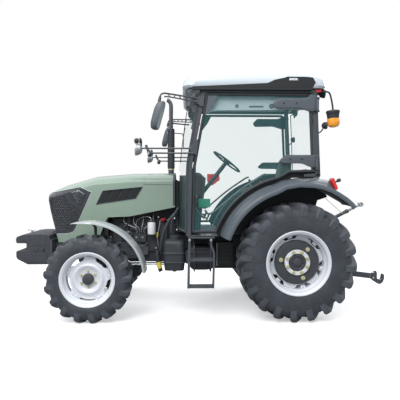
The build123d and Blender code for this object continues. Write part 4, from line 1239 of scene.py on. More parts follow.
# ---------------------------------------------------------------- cab
@dataclass
class Cab:
    """Pillars, doors, glass, hinges, floor and the bowed windscreen.

    Args:
        pillar: Side line of the front pillar.
        rear: Side line of the rear pillar.
        outer: Outer face of the pillars.
        door_outer: Outer face of the doors.
        wheel_height: Height of the rear wheel's middle.
        arch: Radius of the rear fender.
    """

    pillar: tuple[tuple[float, float], ...] = ((1.1, 0.872), (1.085, 1.595), (1.03, 1.915), (0.95, 2.337))
    rear: tuple[tuple[float, float], ...] = ((-0.235, 1.48), (-0.195, 2.337))
    outer: float = 0.648
    door_outer: float = 0.655
    wheel_height: float = 0.60544
    arch: float = 0.82

    def door_edge(self) -> Outline:
        """Side outline of a door."""
        bottom = arc((0, self.wheel_height), self.arch + 0.045, 20, 78, 24)
        rest = [(0.06, 1.518), (-0.17, 1.523), (-0.193, 1.535), (-0.195, 1.56), (-0.160, 2.30),
                (-0.152, 2.318), (-0.135, 2.324), (0.895, 2.324), (0.914, 2.318), (0.921, 2.30),
                (1.05, 1.592), (1.066, 0.925), (1.06, 0.906), (1.045, 0.9)]
        return bottom + rest

    def shrunk(self, outline: Outline, inset: float) -> Outline:
        """Closed outline moved inward by a distance."""
        line = [outline[-1], *outline, outline[0]]
        moved = beside(line, inset)[1:-1]
        flipped = beside(line, -inset)[1:-1]
        span = [max(z for _, z in o) - min(z for _, z in o) for o in (moved, flipped)]
        return moved if span[0] < span[1] else flipped

    def door(self, side: int) -> None:
        """Glass door in a slim black frame, its straps and handle."""
        name, body = side_name(side), f"door_{side_name(side)}"
        form = Form(PLASTIC, side)
        edge = self.door_edge()
        rings = []
        for inset, y in ((0.0, -0.03), (0.0, -0.004), (0.004, 0.0), (0.016, 0.0005), (0.022, -0.003),
                         (0.026, -0.008), (0.026, -0.03)):
            rings.append([form.at(x, self.door_outer + y, z) for x, z in self.shrunk(edge, inset)])
        form.loft(rings, ends=False, loop=True)
        form.make(f"{body}_frame", body, angle=40, replaces=[f"door_frame_{name}"])
        pane = Form(GLASS, side)
        inner = self.shrunk(edge, 0.025)
        pane.loft([[pane.at(x, y, z) for x, z in inner]
                   for y in (self.door_outer - 0.012, self.door_outer - 0.007)])
        pane.make(f"{body}_glass", body, replaces=[f"door_glass_{name}"])
        # Dark slanted corner printed on the glass, at its upper front.
        band = Form(TRIM, side)
        band.prism([(0.905, 2.303), (0.80, 2.303), (0.84, 2.22), (0.925, 2.105), (0.943, 2.12)],
                   self.door_outer - 0.0065, self.door_outer - 0.0045)
        band.make(f"{body}_corner", body)
        strap = Form(TRIM, side)
        for outline in (
            [(0.236, 2.205), (0.238, 2.222), (0.19, 2.271), (0.175, 2.277), (-0.09, 2.277), (-0.125, 2.29),
             (-0.15, 2.318), (-0.212, 2.30), (-0.212, 2.152), (-0.165, 2.14), (-0.13, 2.143), (-0.05, 2.17),
             (-0.02, 2.176), (0.2, 2.171), (0.218, 2.178)],
            [(0.168, 1.63), (0.168, 1.645), (0.12, 1.69), (0.10, 1.698), (-0.212, 1.70), (-0.212, 1.574),
             (-0.17, 1.566), (-0.13, 1.582), (-0.08, 1.605), (-0.04, 1.611), (0.11, 1.612), (0.15, 1.618)],
        ):
            mx = sum(x for x, _ in outline) / len(outline)
            mz = sum(z for _, z in outline) / len(outline)
            rings = []
            for shrink, y in ((0.0, 0.0), (0.0, 0.01), (0.03, 0.0145), (0.10, 0.0165), (0.5, 0.0175)):
                rings.append([strap.at(x + (mx - x) * shrink * 0.35, self.door_outer + y,
                                       z + (mz - z) * shrink)
                              for x, z in outline])
            strap.loft(rings)
        for low, high in ((2.16, 2.262), (1.57, 1.664)):
            strap.rod((-0.214, 0.679, low), (-0.214, 0.679, high), 0.0155)
        strap.make(f"{body}_straps", body, bevel=0.0015)
        for k, (x, z) in enumerate(((0.0, 2.224), (0.13, 2.224), (0.06, 1.656), (-0.06, 1.656))):
            cap = Form(PLASTIC, side)
            cap.turned((x, self.door_outer + 0.016, z), (x, self.door_outer + 0.02, z),
                       [(0, 0.011), (0.003, 0.0105), (0.0045, 0.008)], 20)
            cap.make(f"{body}_cap_{k}", body)
        latch = Form(GLOSSY, side)
        latch.prism([(0.968, 1.278), (0.962, 1.44), (0.972, 1.486), (1.03, 1.492), (1.035, 1.46),
                     (1.012, 1.45), (1.016, 1.278)], self.door_outer - 0.03, self.door_outer + 0.006)
        latch.prism([(1.0, 1.17), (1.0, 1.29), (1.03, 1.29), (1.036, 1.17)], self.door_outer - 0.002,
                    self.door_outer + 0.02)
        latch.tube([(1.018, self.door_outer + 0.012, 1.18), (1.018, self.door_outer + 0.034, 1.20),
                    (1.018, self.door_outer + 0.034, 1.27), (1.018, self.door_outer + 0.012, 1.285)], 0.007)
        latch.make(f"{body}_latch", body, bevel=0.002)
        rail = Form(TRIM, side)
        rail.tube([(0.93, self.door_outer - 0.02, 1.13), (0.86, self.door_outer - 0.055, 1.1),
                   (0.6, self.door_outer - 0.055, 1.31), (0.36, self.door_outer - 0.055, 1.475),
                   (0.3, self.door_outer - 0.02, 1.5)], 0.011, steps=10)
        rail.make(f"{body}_grab_rail", body)

    def pillars(self) -> None:
        """Front and rear pillars with their outer seals, rails and sills."""
        form = Form(BLACK_WITH_PAINTED_SHEEN)
        for _ in form.both():
            form.prism(strip(list(self.pillar), 0.05), self.outer - 0.052, self.outer)
            form.prism(strip(list(self.rear), 0.05), self.outer - 0.052, self.outer)
            form.block((-0.215, 0.975), (self.outer - 0.052, self.outer), (2.333, 2.4))
            form.prism([(-0.26, 1.472), (-0.09, 1.472), (-0.09, 1.50), (-0.21, 1.51), (-0.26, 1.51)],
                       self.outer - 0.052, self.outer)
            form.block((1.07, 1.13), (self.outer - 0.06, self.outer), (0.872, 0.886))
            for low, high in ((0.2705, 0.2995), (0.3605, 0.3895)):
                form.prism([(-0.242, 2.308), (-0.222, 2.308), (-0.215, 2.34), (-0.215, 2.38),
                            (-0.242, 2.33)],
                           low, high)
        half = self.outer - 0.05
        form.block((0.92, 0.985), (-half, half), (2.333, 2.4))
        form.block((-0.215, -0.165), (-half, half), (2.333, 2.4))
        form.block((-0.262, -0.224), (-half, half), (1.486, 1.52))
        form.make("cab_pillars", "chassis", bevel=0.007, replaces=["cab_frame"], segments=3)
        seal = Form(RUBBER)
        for _ in seal.both():
            front = beside(list(self.pillar), -0.021)
            seal.prism(strip(front, 0.012), self.outer - 0.03, self.outer + 0.006)
            back = beside(list(self.pillar), 0.02)
            seal.prism(strip(back, 0.01), self.outer - 0.02, self.outer + 0.004)
            seal.prism(strip(beside(list(self.rear), 0.02), 0.01), self.outer - 0.02, self.outer + 0.004)
        seal.make("pillar_seals", "chassis", bevel=0.003)

    def hinges(self) -> None:
        """Barrels on the rear pillars that the doors turn on."""
        form = Form(BLACK_WITH_PAINTED_SHEEN)
        for _ in form.both():
            for low, high in ((2.18, 2.262), (1.59, 1.664)):
                for z0, z1 in ((high + 0.0003, high + 0.024), (low - 0.044, low - 0.0203)):
                    form.rod((-0.214, 0.679, z0), (-0.214, 0.679, z1), 0.016)
                    form.block((-0.238, -0.216), (self.outer, 0.673), (z0, z1))
        form.make("door_hinge_barrels", "chassis", bevel=0.001, replaces=["door_hinges"])

    def bow(self, share: float, z: float, lift: float = 0.0) -> Vector:
        """Place on the bowed windscreen, at a share of its half width and a height."""
        face = beside(list(self.pillar), -0.025)
        x = between([(h, s) for s, h in face], z) + 0.0005
        return Vector((Form.rear + x + 0.1 * (1 - share * share) + lift, 0.647 * share, z))

    def windscreen(self) -> None:
        """Bowed glass with a black edge, cut round the cowl, and its wiper."""
        form = Form(GLASS)
        steps, rows = 32, 20
        for lift in (0.0, 0.006):
            grid = [[form.mesh.verts.new(self.bow(-1 + 2 * k / steps, 0.9 + (2.33 - 0.9) * i / rows, lift))
                     for k in range(steps + 1)] for i in range(rows + 1)]
            for i in range(rows):
                for k in range(steps):
                    low, side_share = grid[i][k].co, abs(-1 + 2 * (k + 0.5) / steps)
                    if low.z < 1.49 and side_share < 0.45:
                        continue
                    form.face((grid[i][k], grid[i][k + 1], grid[i + 1][k + 1], grid[i + 1][k]))
        form.make("windscreen_glass", "chassis", replaces=["windscreen"])
        edge = Form(RUBBER)
        for side in SIDES:
            path = [self.bow(side * 0.985, 0.905 + (2.325 - 0.905) * i / 12, 0.003) for i in range(13)]
            edge.tube(path, 0.009, 8, 2, placed=True)
        for z in (0.912, 2.322):
            path = [self.bow(-0.985 + 1.97 * k / 16, z, 0.003) for k in range(17)]
            edge.tube(path, 0.009, 8, 2, placed=True)
        edge.make("windscreen_edge", "chassis")
        visor = Form(DARK)
        visor.loft([[self.bow(0.985 * k / 12, z, lift) for z, lift in (
            (2.225, 0.0065), (2.225, 0.0095), (2.315, 0.0095), (2.315, 0.0065))] for k in range(-12, 13)])
        visor.make("windscreen_top_band", "chassis")
        wiper = Form(PLASTIC)
        pivot = self.bow(0.02, 2.30, 0.03)
        wiper.turned(*[(pivot.x - Form.rear + d, pivot.y, pivot.z) for d in (-0.03, 0.012)],
                     [(0, 0.016), (0.03, 0.016), (0.042, 0.01)], 20)
        arm = [self.bow(0.02 + 0.26 * t, 2.30 - 0.36 * t, 0.026 - 0.012 * t)
               for t in (0.0, 0.25, 0.5, 0.75, 1.0)]
        wiper.tube(arm, 0.005, 8, 4, placed=True)
        blade = [self.bow(0.05 + 0.45 * t, 2.06 - 0.42 * t, 0.0105) for t in (0.0, 0.2, 0.4, 0.6, 0.8, 1.0)]
        wiper.tube(blade, 0.005, 8, 4, placed=True)
        wiper.make("windscreen_wiper", "chassis")

    def floor(self) -> None:
        """Pressed tub with its cowl, bonnet brackets and mounts."""
        form = Form(BLACK_WITH_PAINTED_SHEEN)
        fold = [(1.108, 1.5), (1.108, 0.866), (0.43, 0.866), (0.38, 1.12), (-0.215, 1.12), (-0.25, 1.48)]
        form.prism(strip(fold, 0.012), -0.44, 0.44)
        form.block((1.114, 1.2), (-0.285, 0.285), (0.88, 1.5))
        for _ in form.both():
            form.block((0.8, 1.125), (0.44, self.outer), (0.86, 0.872))
            form.prism([(1.2, 1.38), (1.2, 1.42), (1.262, 1.478), (1.27, 1.489), (1.284, 1.484),
                        (1.286, 1.468)],
                       0.176, 0.1897)
            form.block((0.96, 1.03), (0.06, 0.14), (0.85, 0.86))
            form.prism(strip([(1.12, 0.88), (1.117, 1.49)], 0.02), 0.285, 0.6)
        form.make("cab_tub", "chassis", bevel=0.004, replaces=["cab_floor"])
        mat = Form(RUBBER)
        mat.block((0.45, 1.095), (-0.43, 0.43), (0.872, 0.88))
        for k in range(28):
            x = 0.47 + 0.022 * k
            mat.block((x, x + 0.008), (-0.42, 0.42), (0.88, 0.883))
        mat.make("floor_mat", "chassis", bevel=0.001)

    def headliner(self) -> None:
        """Roof lining, and the far side's rail with its switches and sockets."""
        liner = Form(LINER)
        liner.block((-0.16, 0.92), (-0.594, 0.594), (2.36, 2.392))
        liner.prism([(0.915, 2.33), (-0.16, 2.33), (-0.165, 2.20), (-0.15, 2.17), (0.80, 2.16),
                     (0.88, 2.14), (0.93, 2.11), (0.945, 2.24)], 0.592, 0.597)
        for x, size in ((0.60, 0.02), (0.24, 0.028)):
            liner.use(TRIM).turned((x, 0.5965, 2.205), (x, 0.6, 2.205), [(0, size), (0.003, size - 0.003)],
                                   24)
        for x in (0.40, 0.08):
            liner.use(TRIM).block((x - 0.075, x + 0.075), (0.5965, 0.599), (2.19, 2.21))
        liner.make("headliner", "chassis", bevel=0.002)

    def surround(self) -> None:
        """Dark panels beside and under the cowl, and the lids over the rear wheel arches."""
        cowl = Form(DARK)
        for share in (-1, 1):
            path = [self.bow(share * s, 0.9, -0.008) for s in (0.42, 0.55, 0.7, 0.85, 0.99)]
            cowl.loft([[p + Vector((x, 0, z - p.z)) for x, z in ((0, 0.89), (0.005, 0.89), (-0.004, 1.475),
                                                                 (-0.009, 1.475))] for p in path])
        cowl.loft([rounded_box(cowl, (1.2005, 1.252), (-0.262, 0.262), z, 0.02) for z in (0.90, 1.44)])
        cowl.block((1.25, 1.56), (-0.15, 0.15), (1.02, 1.245))
        for _ in cowl.both():
            arch = arc((0, self.wheel_height), self.arch + 0.002, 17, 84, 26) + [(0.03, 1.4645),
                                                                                 (-0.262, 1.4645)]
            lid = [(-0.262, 1.476), (-0.262, 1.53), (-0.19, 1.53), (0.05, 1.526)]
            rim = arc((0, self.wheel_height), self.arch + 0.055, 76, 20, 22)
            cowl.prism(arch + lid + rim, 0.60, 0.606)
        cowl.make("cowl_panels", "chassis", bevel=0.001)

    def rear_window(self) -> None:
        """Rear glass with its black edge, hinge plates and handle."""
        glass = Form(GLASS)
        glass.prism([(-0.264, 1.53), (-0.258, 1.53), (-0.226, 2.3), (-0.232, 2.3)], -0.52, 0.52)
        glass.make("rear_window_glass", "rear_window", bevel=0.0015, replaces=["rear_window"])
        form = Form(PLASTIC)
        for _ in form.both():
            form.prism([(-0.24, 2.24), (-0.231, 2.24), (-0.226, 2.318), (-0.24, 2.318)], 0.3, 0.36)
            form.rod((-0.232, 0.3, 2.318), (-0.232, 0.36, 2.318), 0.009)
            form.tube([(-0.2615, 0.515, 1.54), (-0.2455, 0.515, 1.92), (-0.2295, 0.515, 2.295)], 0.0055, 8)
        for z, x in ((1.535, -0.2612), (2.296, -0.2292)):
            form.rod((x, -0.515, z), (x, 0.515, z), 0.0055, 8)
        form.tube([(-0.262, -0.055, 1.572), (-0.284, -0.05, 1.572), (-0.285, 0.05, 1.572),
                   (-0.262, 0.055, 1.572)],
                  0.007, 10)
        form.make("rear_window_trim", "rear_window", bevel=0.001)

    def build(self) -> None:
        """Make the whole cab shell."""
        self.pillars()
        self.hinges()
        self.windscreen()
        self.floor()
        self.headliner()
        self.surround()
        self.rear_window()
        for side in SIDES:
            self.door(side)


@dataclass
class Roof:
    """Moulded roof with its dark side bands, their vents and its seam.

    Args:
        levels: height, front, rear, half width and corner radius of each plan ring.
    """

    levels: tuple[tuple[float, float, float, float, float], ...] = (
        (2.372, 1.112, -0.285, 0.655, 0.10), (2.379, 1.142, -0.306, 0.680, 0.11),
        (2.400, 1.162, -0.322, 0.691, 0.12), (2.462, 1.150, -0.316, 0.689, 0.13),
        (2.492, 1.118, -0.304, 0.676, 0.14), (2.520, 1.060, -0.285, 0.648, 0.16),
        (2.545, 0.985, -0.255, 0.606, 0.18), (2.562, 0.900, -0.215, 0.556, 0.2),
        (2.572, 0.820, -0.185, 0.510, 0.2), (2.5795, 0.740, -0.150, 0.450, 0.2),
    )

    def ring(self, form: Form, z: float, front: float, rear: float, half: float,
             radius: float) -> list[Vector]:
        """Rounded plan ring at a height; the front edge bows ahead."""
        points = []
        for cx, cy, start in ((front - radius, half - radius, 0), (rear + radius, half - radius, 90),
                              (rear + radius, -half + radius, 180), (front - radius, -half + radius, 270)):
            for step in range(9):
                t = math.radians(start + step * 11.25)
                x, y = cx + radius * math.cos(t), cy + radius * math.sin(t)
                points.append(form.at(x, y, z))
        return points

    def build(self) -> None:
        """Make the moulding, its bands, vents and seam."""
        form = Form(WHITE)
        form.loft([self.ring(form, *row) for row in self.levels])
        # Long shallow swage along the top, as a raised panel.
        for _ in form.both():
            rings = []
            for z, grow in ((2.566, 0.0), (2.577, -0.012), (2.5795, -0.03)):
                rings.append([form.at(x, y, z) for x, y in (
                    (0.74 + grow, 0.16 - grow), (0.7 + grow, 0.42 + grow), (-0.1 - grow, 0.42 + grow),
                    (-0.14 - grow, 0.16 - grow))])
            form.loft(rings)
        form.make("roof_moulding", "chassis", angle=32, replaces=["roof"])
        band = Form(DARK)
        for _ in band.both():
            band.loft([[band.at(x, y, z) for x, z in ((1.06, 2.352), (1.06, 2.381), (-0.16, 2.43),
                                                      (-0.16, 2.352))]
                       for y in (0.655, 0.6915)])
            outline = [(1.06, 2.372), (1.06, 2.383), (0.30, 2.421), (0.226, 2.455), (0.13, 2.476),
                       (0.10, 2.487), (-0.10, 2.487), (-0.165, 2.479), (-0.19, 2.43), (-0.16, 2.376)]
            rings = [[band.at(x, max(self.out(z), 0.688) + lift, z) for x, z in outline]
                     for lift in (-0.03, 0.0045)]
            band.loft(rings)
        band.make("roof_side_band", "chassis", bevel=0.002)
        vent = Form(STEEL)
        for _ in vent.both():
            outline = [(0.085, 2.448), (0.075, 2.472), (-0.005, 2.472), (-0.01, 2.448)]
            vent.loft([[vent.at(x, self.out(z) + lift, z) for x, z in outline] for lift in (0.0, 0.008)])
            for k in range(4):
                x = 0.065 - 0.02 * k
                vent.prism([(x, 2.451), (x - 0.006, 2.451), (x - 0.008, 2.469), (x - 0.002, 2.469)],
                           self.out(2.464), self.out(2.464) + 0.011)
        vent.make("roof_side_vent", "chassis", bevel=0.001)
        seam = Form(PLASTIC)
        ring = self.ring(seam, 2.372, 1.118, -0.288, 0.660, 0.105)
        seam.tube([*ring, ring[0]], 0.004, 8, 2, placed=True)
        seam.make("roof_seam", "chassis")

    def out(self, z: float) -> float:
        """Half width of the roof at a height."""
        return between([(row[0], row[3]) for row in self.levels], z)


# ---------------------------------------------------------------- fenders
@dataclass
class RearFender:
    """Broad moulded rear fender with a rolled lip, its wall and the flat rear top.

    Args:
        side: 1 for the left, -1 for the right.
        centre_height: Height of the wheel's middle.
        radius: Radius of its front arc.
        ridge_drop: How far the outer ridge lies inside that radius.
        lip: Depth of the lip under the ridge.
        tail: Places on the top line and on the ridge, behind the arc.
    """

    side: int
    centre_height: float = 0.60544
    radius: float = 0.82
    ridge_drop: float = 0.045

    lip: float = 0.05
    tail: tuple[tuple[tuple[float, float], tuple[float, float]], ...] = (
        ((0.14, 1.437), (0.145, 1.393)), ((0.0, 1.459), (0.0, 1.417)), ((-0.16, 1.462), (-0.15, 1.410)),
        ((-0.25, 1.4615), (-0.235, 1.394)), ((-0.308, 1.457), (-0.295, 1.372)),
        ((-0.334, 1.438), (-0.326, 1.36)), ((-0.346, 1.395), (-0.342, 1.352)),
        ((-0.357, 1.347), (-0.358, 1.343)),
        ((-0.41, 1.317), (-0.41, 1.3135)), ((-0.48, 1.271), (-0.48, 1.2675)),
        ((-0.53, 1.228), (-0.53, 1.2245)), ((-0.571, 1.184), (-0.571, 1.1805)),
    )

    def lines(self) -> tuple[Outline, Outline]:
        """Side lines of the fender's top and of its outer ridge, point by point.

        Returns:
            Both lines, from the low front to the rear tip.
        """
        centre = (0, self.centre_height)
        top, ridge = (arc(centre, self.radius - drop, 19, 72, 26) for drop in (0.0, self.ridge_drop))
        return top + [t for t, _ in self.tail], ridge + [r for _, r in self.tail]

    def build(self) -> None:
        """Make the shell with its ridge and lip, the inner wall and the skirt under the tail."""
        name = side_name(self.side)
        form = Form(FENDER, self.side)
        top, ridge = self.lines()
        low = beside(ridge, -self.lip) if beside(ridge, 1.0)[5][1] > ridge[5][1] else beside(ridge,
                                                                                             self.lip)
        # Distance out, share of the way down to the ridge, share of the lip, thickness under the skin.
        profile = [(0.4405, 0.0, 0.0), (0.62, 0.0, 0.0), (0.70, 0.05, 0.0), (0.745, 0.22, 0.0),
                   (0.785, 0.52, 0.0),
                   (0.812, 0.82, 0.0), (0.824, 1.0, 0.0), (0.834, 1.0, 0.1), (0.8405, 1.0, 0.4),
                   (0.8415, 1.0, 0.85),
                   (0.838, 1.0, 1.0), (0.831, 1.0, 1.0), (0.827, 1.0, 0.7), (0.818, 1.0, 0.22)]
        inner = [(0.80, 1.0), (0.74, 0.4), (0.62, 0.08), (0.4405, 0.0)]
        below = beside(top, -0.009) if beside(top, 1.0)[5][1] > top[5][1] else beside(top, 0.009)
        rings = []
        for (tx, tz), (rx, rz), (lx, lz), (bx, bz) in zip(top, ridge, low, below):
            ring = []
            for across, down, out in profile:
                ring.append(form.at(tx + (rx - tx) * down + (lx - rx) * out, across,
                                    tz + (rz - tz) * down + (lz - rz) * out))
            for across, down in inner:
                ring.append(form.at(bx + (rx - tx) * down, across, bz + (rz - tz) * down))
            rings.append(ring)
        form.loft(rings)
        form.make(f"rear_fender_shell_{name}", "chassis", angle=32, replaces=[f"rear_fender_{name}"])
        wall = Form(DARK, self.side)
        outline = [(x, z - 0.004) for x, z in top[:-4] if z > 0.872] + [
            (-0.40, 1.262), (-0.29, 1.224), (-0.262, 1.10), (-0.262, 0.90), (-0.09, 0.872), (0.775, 0.872)]
        wall.prism(outline, 0.4403, 0.4483)
        skirt = ridge[-12:]
        foot = [(-0.548, 1.165), (-0.444, 1.196), (-0.298, 1.278), (-0.15, 1.362), (0.0, 1.378),
                (0.14, 1.352)]
        wall.prism([(x, z - 0.004) for x, z in skirt] + foot, 0.806, 0.814)
        wall.make(f"rear_fender_wall_{name}", "chassis", bevel=0.002)
        bead = Form(FENDER, self.side)
        bead.prism(strip(beside(top, 0.003)[4:27], 0.009), 0.655, 0.70)
        bead.make(f"rear_fender_rib_{name}", "chassis", bevel=0.004)


@dataclass
class FrontFender:
    """Narrow grey mudguard that turns with the front wheel, and its stay.

    Args:
        side: 1 for the left, -1 for the right.
        centre: Station and height of the wheel's middle.
        radius: Radius of its top.
    """

    side: int
    centre: tuple[float, float] = (2.11, 0.44501)
    radius: float = 0.585

    def build(self) -> None:
        """Make the blade, pointed at its front, with a rolled rim."""
        name = side_name(self.side)
        form = Form(GREY, self.side)
        rings = []
        steps = 44
        for k in range(steps + 1):
            angle = 72 + (173 - 72) * k / steps
            t = math.radians(angle)
            grow = min(1.0, k / 9)
            tip = 1 - (1 - grow) ** 2
            inner = 0.683 - 0.117 * (0.25 + 0.75 * tip)
            outer = 0.683 + 0.117 * (0.25 + 0.75 * tip)
            lip = 0.004 + 0.022 * tip
            ring = []
            for across, drop in ((inner, -lip * 0.4), (inner + 0.006, -0.003), (inner + 0.03, 0.0),
                                 (0.683, 0.0),
                                 (outer - 0.035, -0.001), (outer - 0.014, -0.004), (outer - 0.004, -0.011),
                                 (outer, -lip), (outer - 0.005, -lip), (outer - 0.018, -0.011),
                                 (outer - 0.04, -0.0075), (0.683, -0.007), (inner + 0.03, -0.007),
                                 (inner + 0.008, -0.009)):
                r = self.radius + drop
                ring.append(form.at(self.centre[0] + r * math.cos(t), across,
                                    self.centre[1] + r * math.sin(t)))
            rings.append(ring)
        form.loft(rings)
        form.make(f"front_mudguard_{name}", f"steer_knuckle_{name}", angle=40,
                  replaces=[f"front_fender_{name}"])
        stay = Form(BLACK_WITH_PAINTED_SHEEN, self.side)
        x = self.centre[0] - 0.04
        top = self.centre[1] + 0.51
        stay.tube([(x, 0.548, self.centre[1] + 0.17), (x, 0.548, top - 0.06), (x, 0.552, top - 0.015),
                   (x, 0.58, top + 0.006), (x, 0.68, top + 0.044)], 0.0155, 16, 8)
        stay.block((x - 0.045, x + 0.045), (0.45, 0.602), (self.centre[1] + 0.1585, self.centre[1] + 0.184))
        stay.block((x - 0.04, x + 0.04), (0.635, 0.725), (top + 0.044, top + 0.058))
        for dx in (-0.025, 0.025):
            for y in (0.655, 0.705):
                stay.use(ZINC).bolt((x + dx, y, self.centre[1] + self.radius - 0.004), (0, 0, 1), 0.006,
                                    0.007)
        stay.make(f"mudguard_stay_{name}", f"steer_knuckle_{name}", bevel=0.003)


# ---------------------------------------------------------------- front weights
@dataclass
class FrontWeights:
    """Row of two-lobed suitcase weights on their carrier, with the tow pin.

    Args:
        count: Number of weights.
        pitch: Distance between two of them.
        gap: Gap between two of them.
    """

    count: int = 10
    pitch: float = 0.06
    gap: float = 0.004
    outline: tuple[tuple[float, float], ...] = (
        (2.624, 0.515), (2.872, 0.515), (2.985, 0.575), (2.997, 0.60), (2.997, 0.655), (2.985, 0.667),
        (2.890, 0.667), (2.884, 0.675), (2.884, 0.745), (2.890, 0.752), (2.982, 0.752), (2.996, 0.765),
        (2.998, 0.80), (2.985, 0.822), (2.93, 0.843), (2.86, 0.851), (2.66, 0.851), (2.632, 0.835),
        (2.624, 0.80),
    )

    def build(self) -> None:
        """Make the weights, their clamp rod and the pin."""
        form = Form(IRON)
        start = -self.count * self.pitch / 2
        outline = list(self.outline)
        for k in range(self.count):
            left = start + k * self.pitch + self.gap / 2
            right = left + self.pitch - self.gap
            shrunk = [(x + (2.8 - x) * 0.02, z + (0.68 - z) * 0.025) for x, z in outline]
            form.loft([[form.at(x, y, z) for x, z in line] for line, y in (
                (shrunk, left), (outline, left + 0.006), (outline, right - 0.006), (shrunk, right))])
        for _ in form.both():
            face = 0.298
            panel = [(2.66, 0.545), (2.85, 0.545), (2.93, 0.588), (2.94, 0.64), (2.66, 0.64)]
            form.prism(panel, face - 0.004, face + 0.004)
            form.prism([(2.67, 0.72), (2.86, 0.72), (2.87, 0.77), (2.94, 0.78), (2.94, 0.80), (2.86, 0.822),
                        (2.67, 0.822)], face - 0.004, face + 0.003)
            form.turned((2.78, face, 0.685), (2.78, face + 0.008, 0.685),
                        [(0, 0.03), (0.006, 0.028), (0.007, 0.012)], 32)
        form.make("suitcase_weights", "chassis", angle=30, bevel=0.002, replaces=["front_weights"])
        rod = Form(STEEL)
        rod.rod((2.925, 0.0, 0.60), (2.925, 0.0, 0.868), 0.013)
        rod.tube([(2.925, 0.0, 0.862), (2.90, 0.0, 0.868), (2.885, 0.02, 0.872), (2.885, 0.05, 0.872),
                  (2.925, 0.06, 0.872), (2.958, 0.05, 0.872), (2.958, 0.02, 0.872), (2.94, 0.0, 0.868),
                  (2.925, 0.0, 0.862)], 0.0035, 8, 4)
        for z in (0.667, 0.752):
            rod.turned((2.925, 0, z - 0.004), (2.925, 0, z + 0.004),
                       [(0, 0.024), (0.006, 0.024), (0.008, 0.021)], 24)
        rod.rod((2.70, -0.305, 0.685), (2.70, 0.305, 0.685), 0.011)
        for _ in rod.both():
            rod.use(IRON).bolt((2.70, 0.30, 0.685), (0, 1, 0), 0.014, 0.014)
        rod.make("weight_pin_and_rod", "chassis", bevel=0.0008)
        frame = Form(BLACK_WITH_PAINTED_SHEEN)
        for _ in frame.both():
            rail = [(1.56, 0.61), (1.7, 0.56), (1.96, 0.56), (2.0, 0.64), (2.21, 0.64), (2.25, 0.56),
                    (2.6, 0.56), (2.6, 0.742), (1.7, 0.742), (1.56, 0.7)]
            frame.prism(rail, 0.15, 0.176)
            frame.tube([(2.632, 0.06, 0.80), (2.612, 0.06, 0.815), (2.606, 0.06, 0.845),
                        (2.63, 0.06, 0.866), (2.665, 0.06, 0.858)], 0.007, 10, 6)
            for x, z in ((1.75, 0.70), (1.86, 0.70), (1.75, 0.60), (2.3, 0.70), (2.42, 0.70), (2.54, 0.70),
                         (2.3, 0.60), (2.42, 0.60), (2.54, 0.60)):
                frame.bolt((x, 0.176, z), (0, 1, 0), 0.011, 0.011)
        frame.block((2.48, 2.6), (-0.15, 0.15), (0.56, 0.72))
        frame.block((1.99, 2.26), (-0.15, 0.15), (0.616, 0.72))
        frame.prism([(2.6, 0.54), (2.622, 0.54), (2.622, 0.79), (2.6, 0.79)], -0.31, 0.31)
        frame.make("front_carrier", "chassis", bevel=0.004, replaces=["front_frame"])


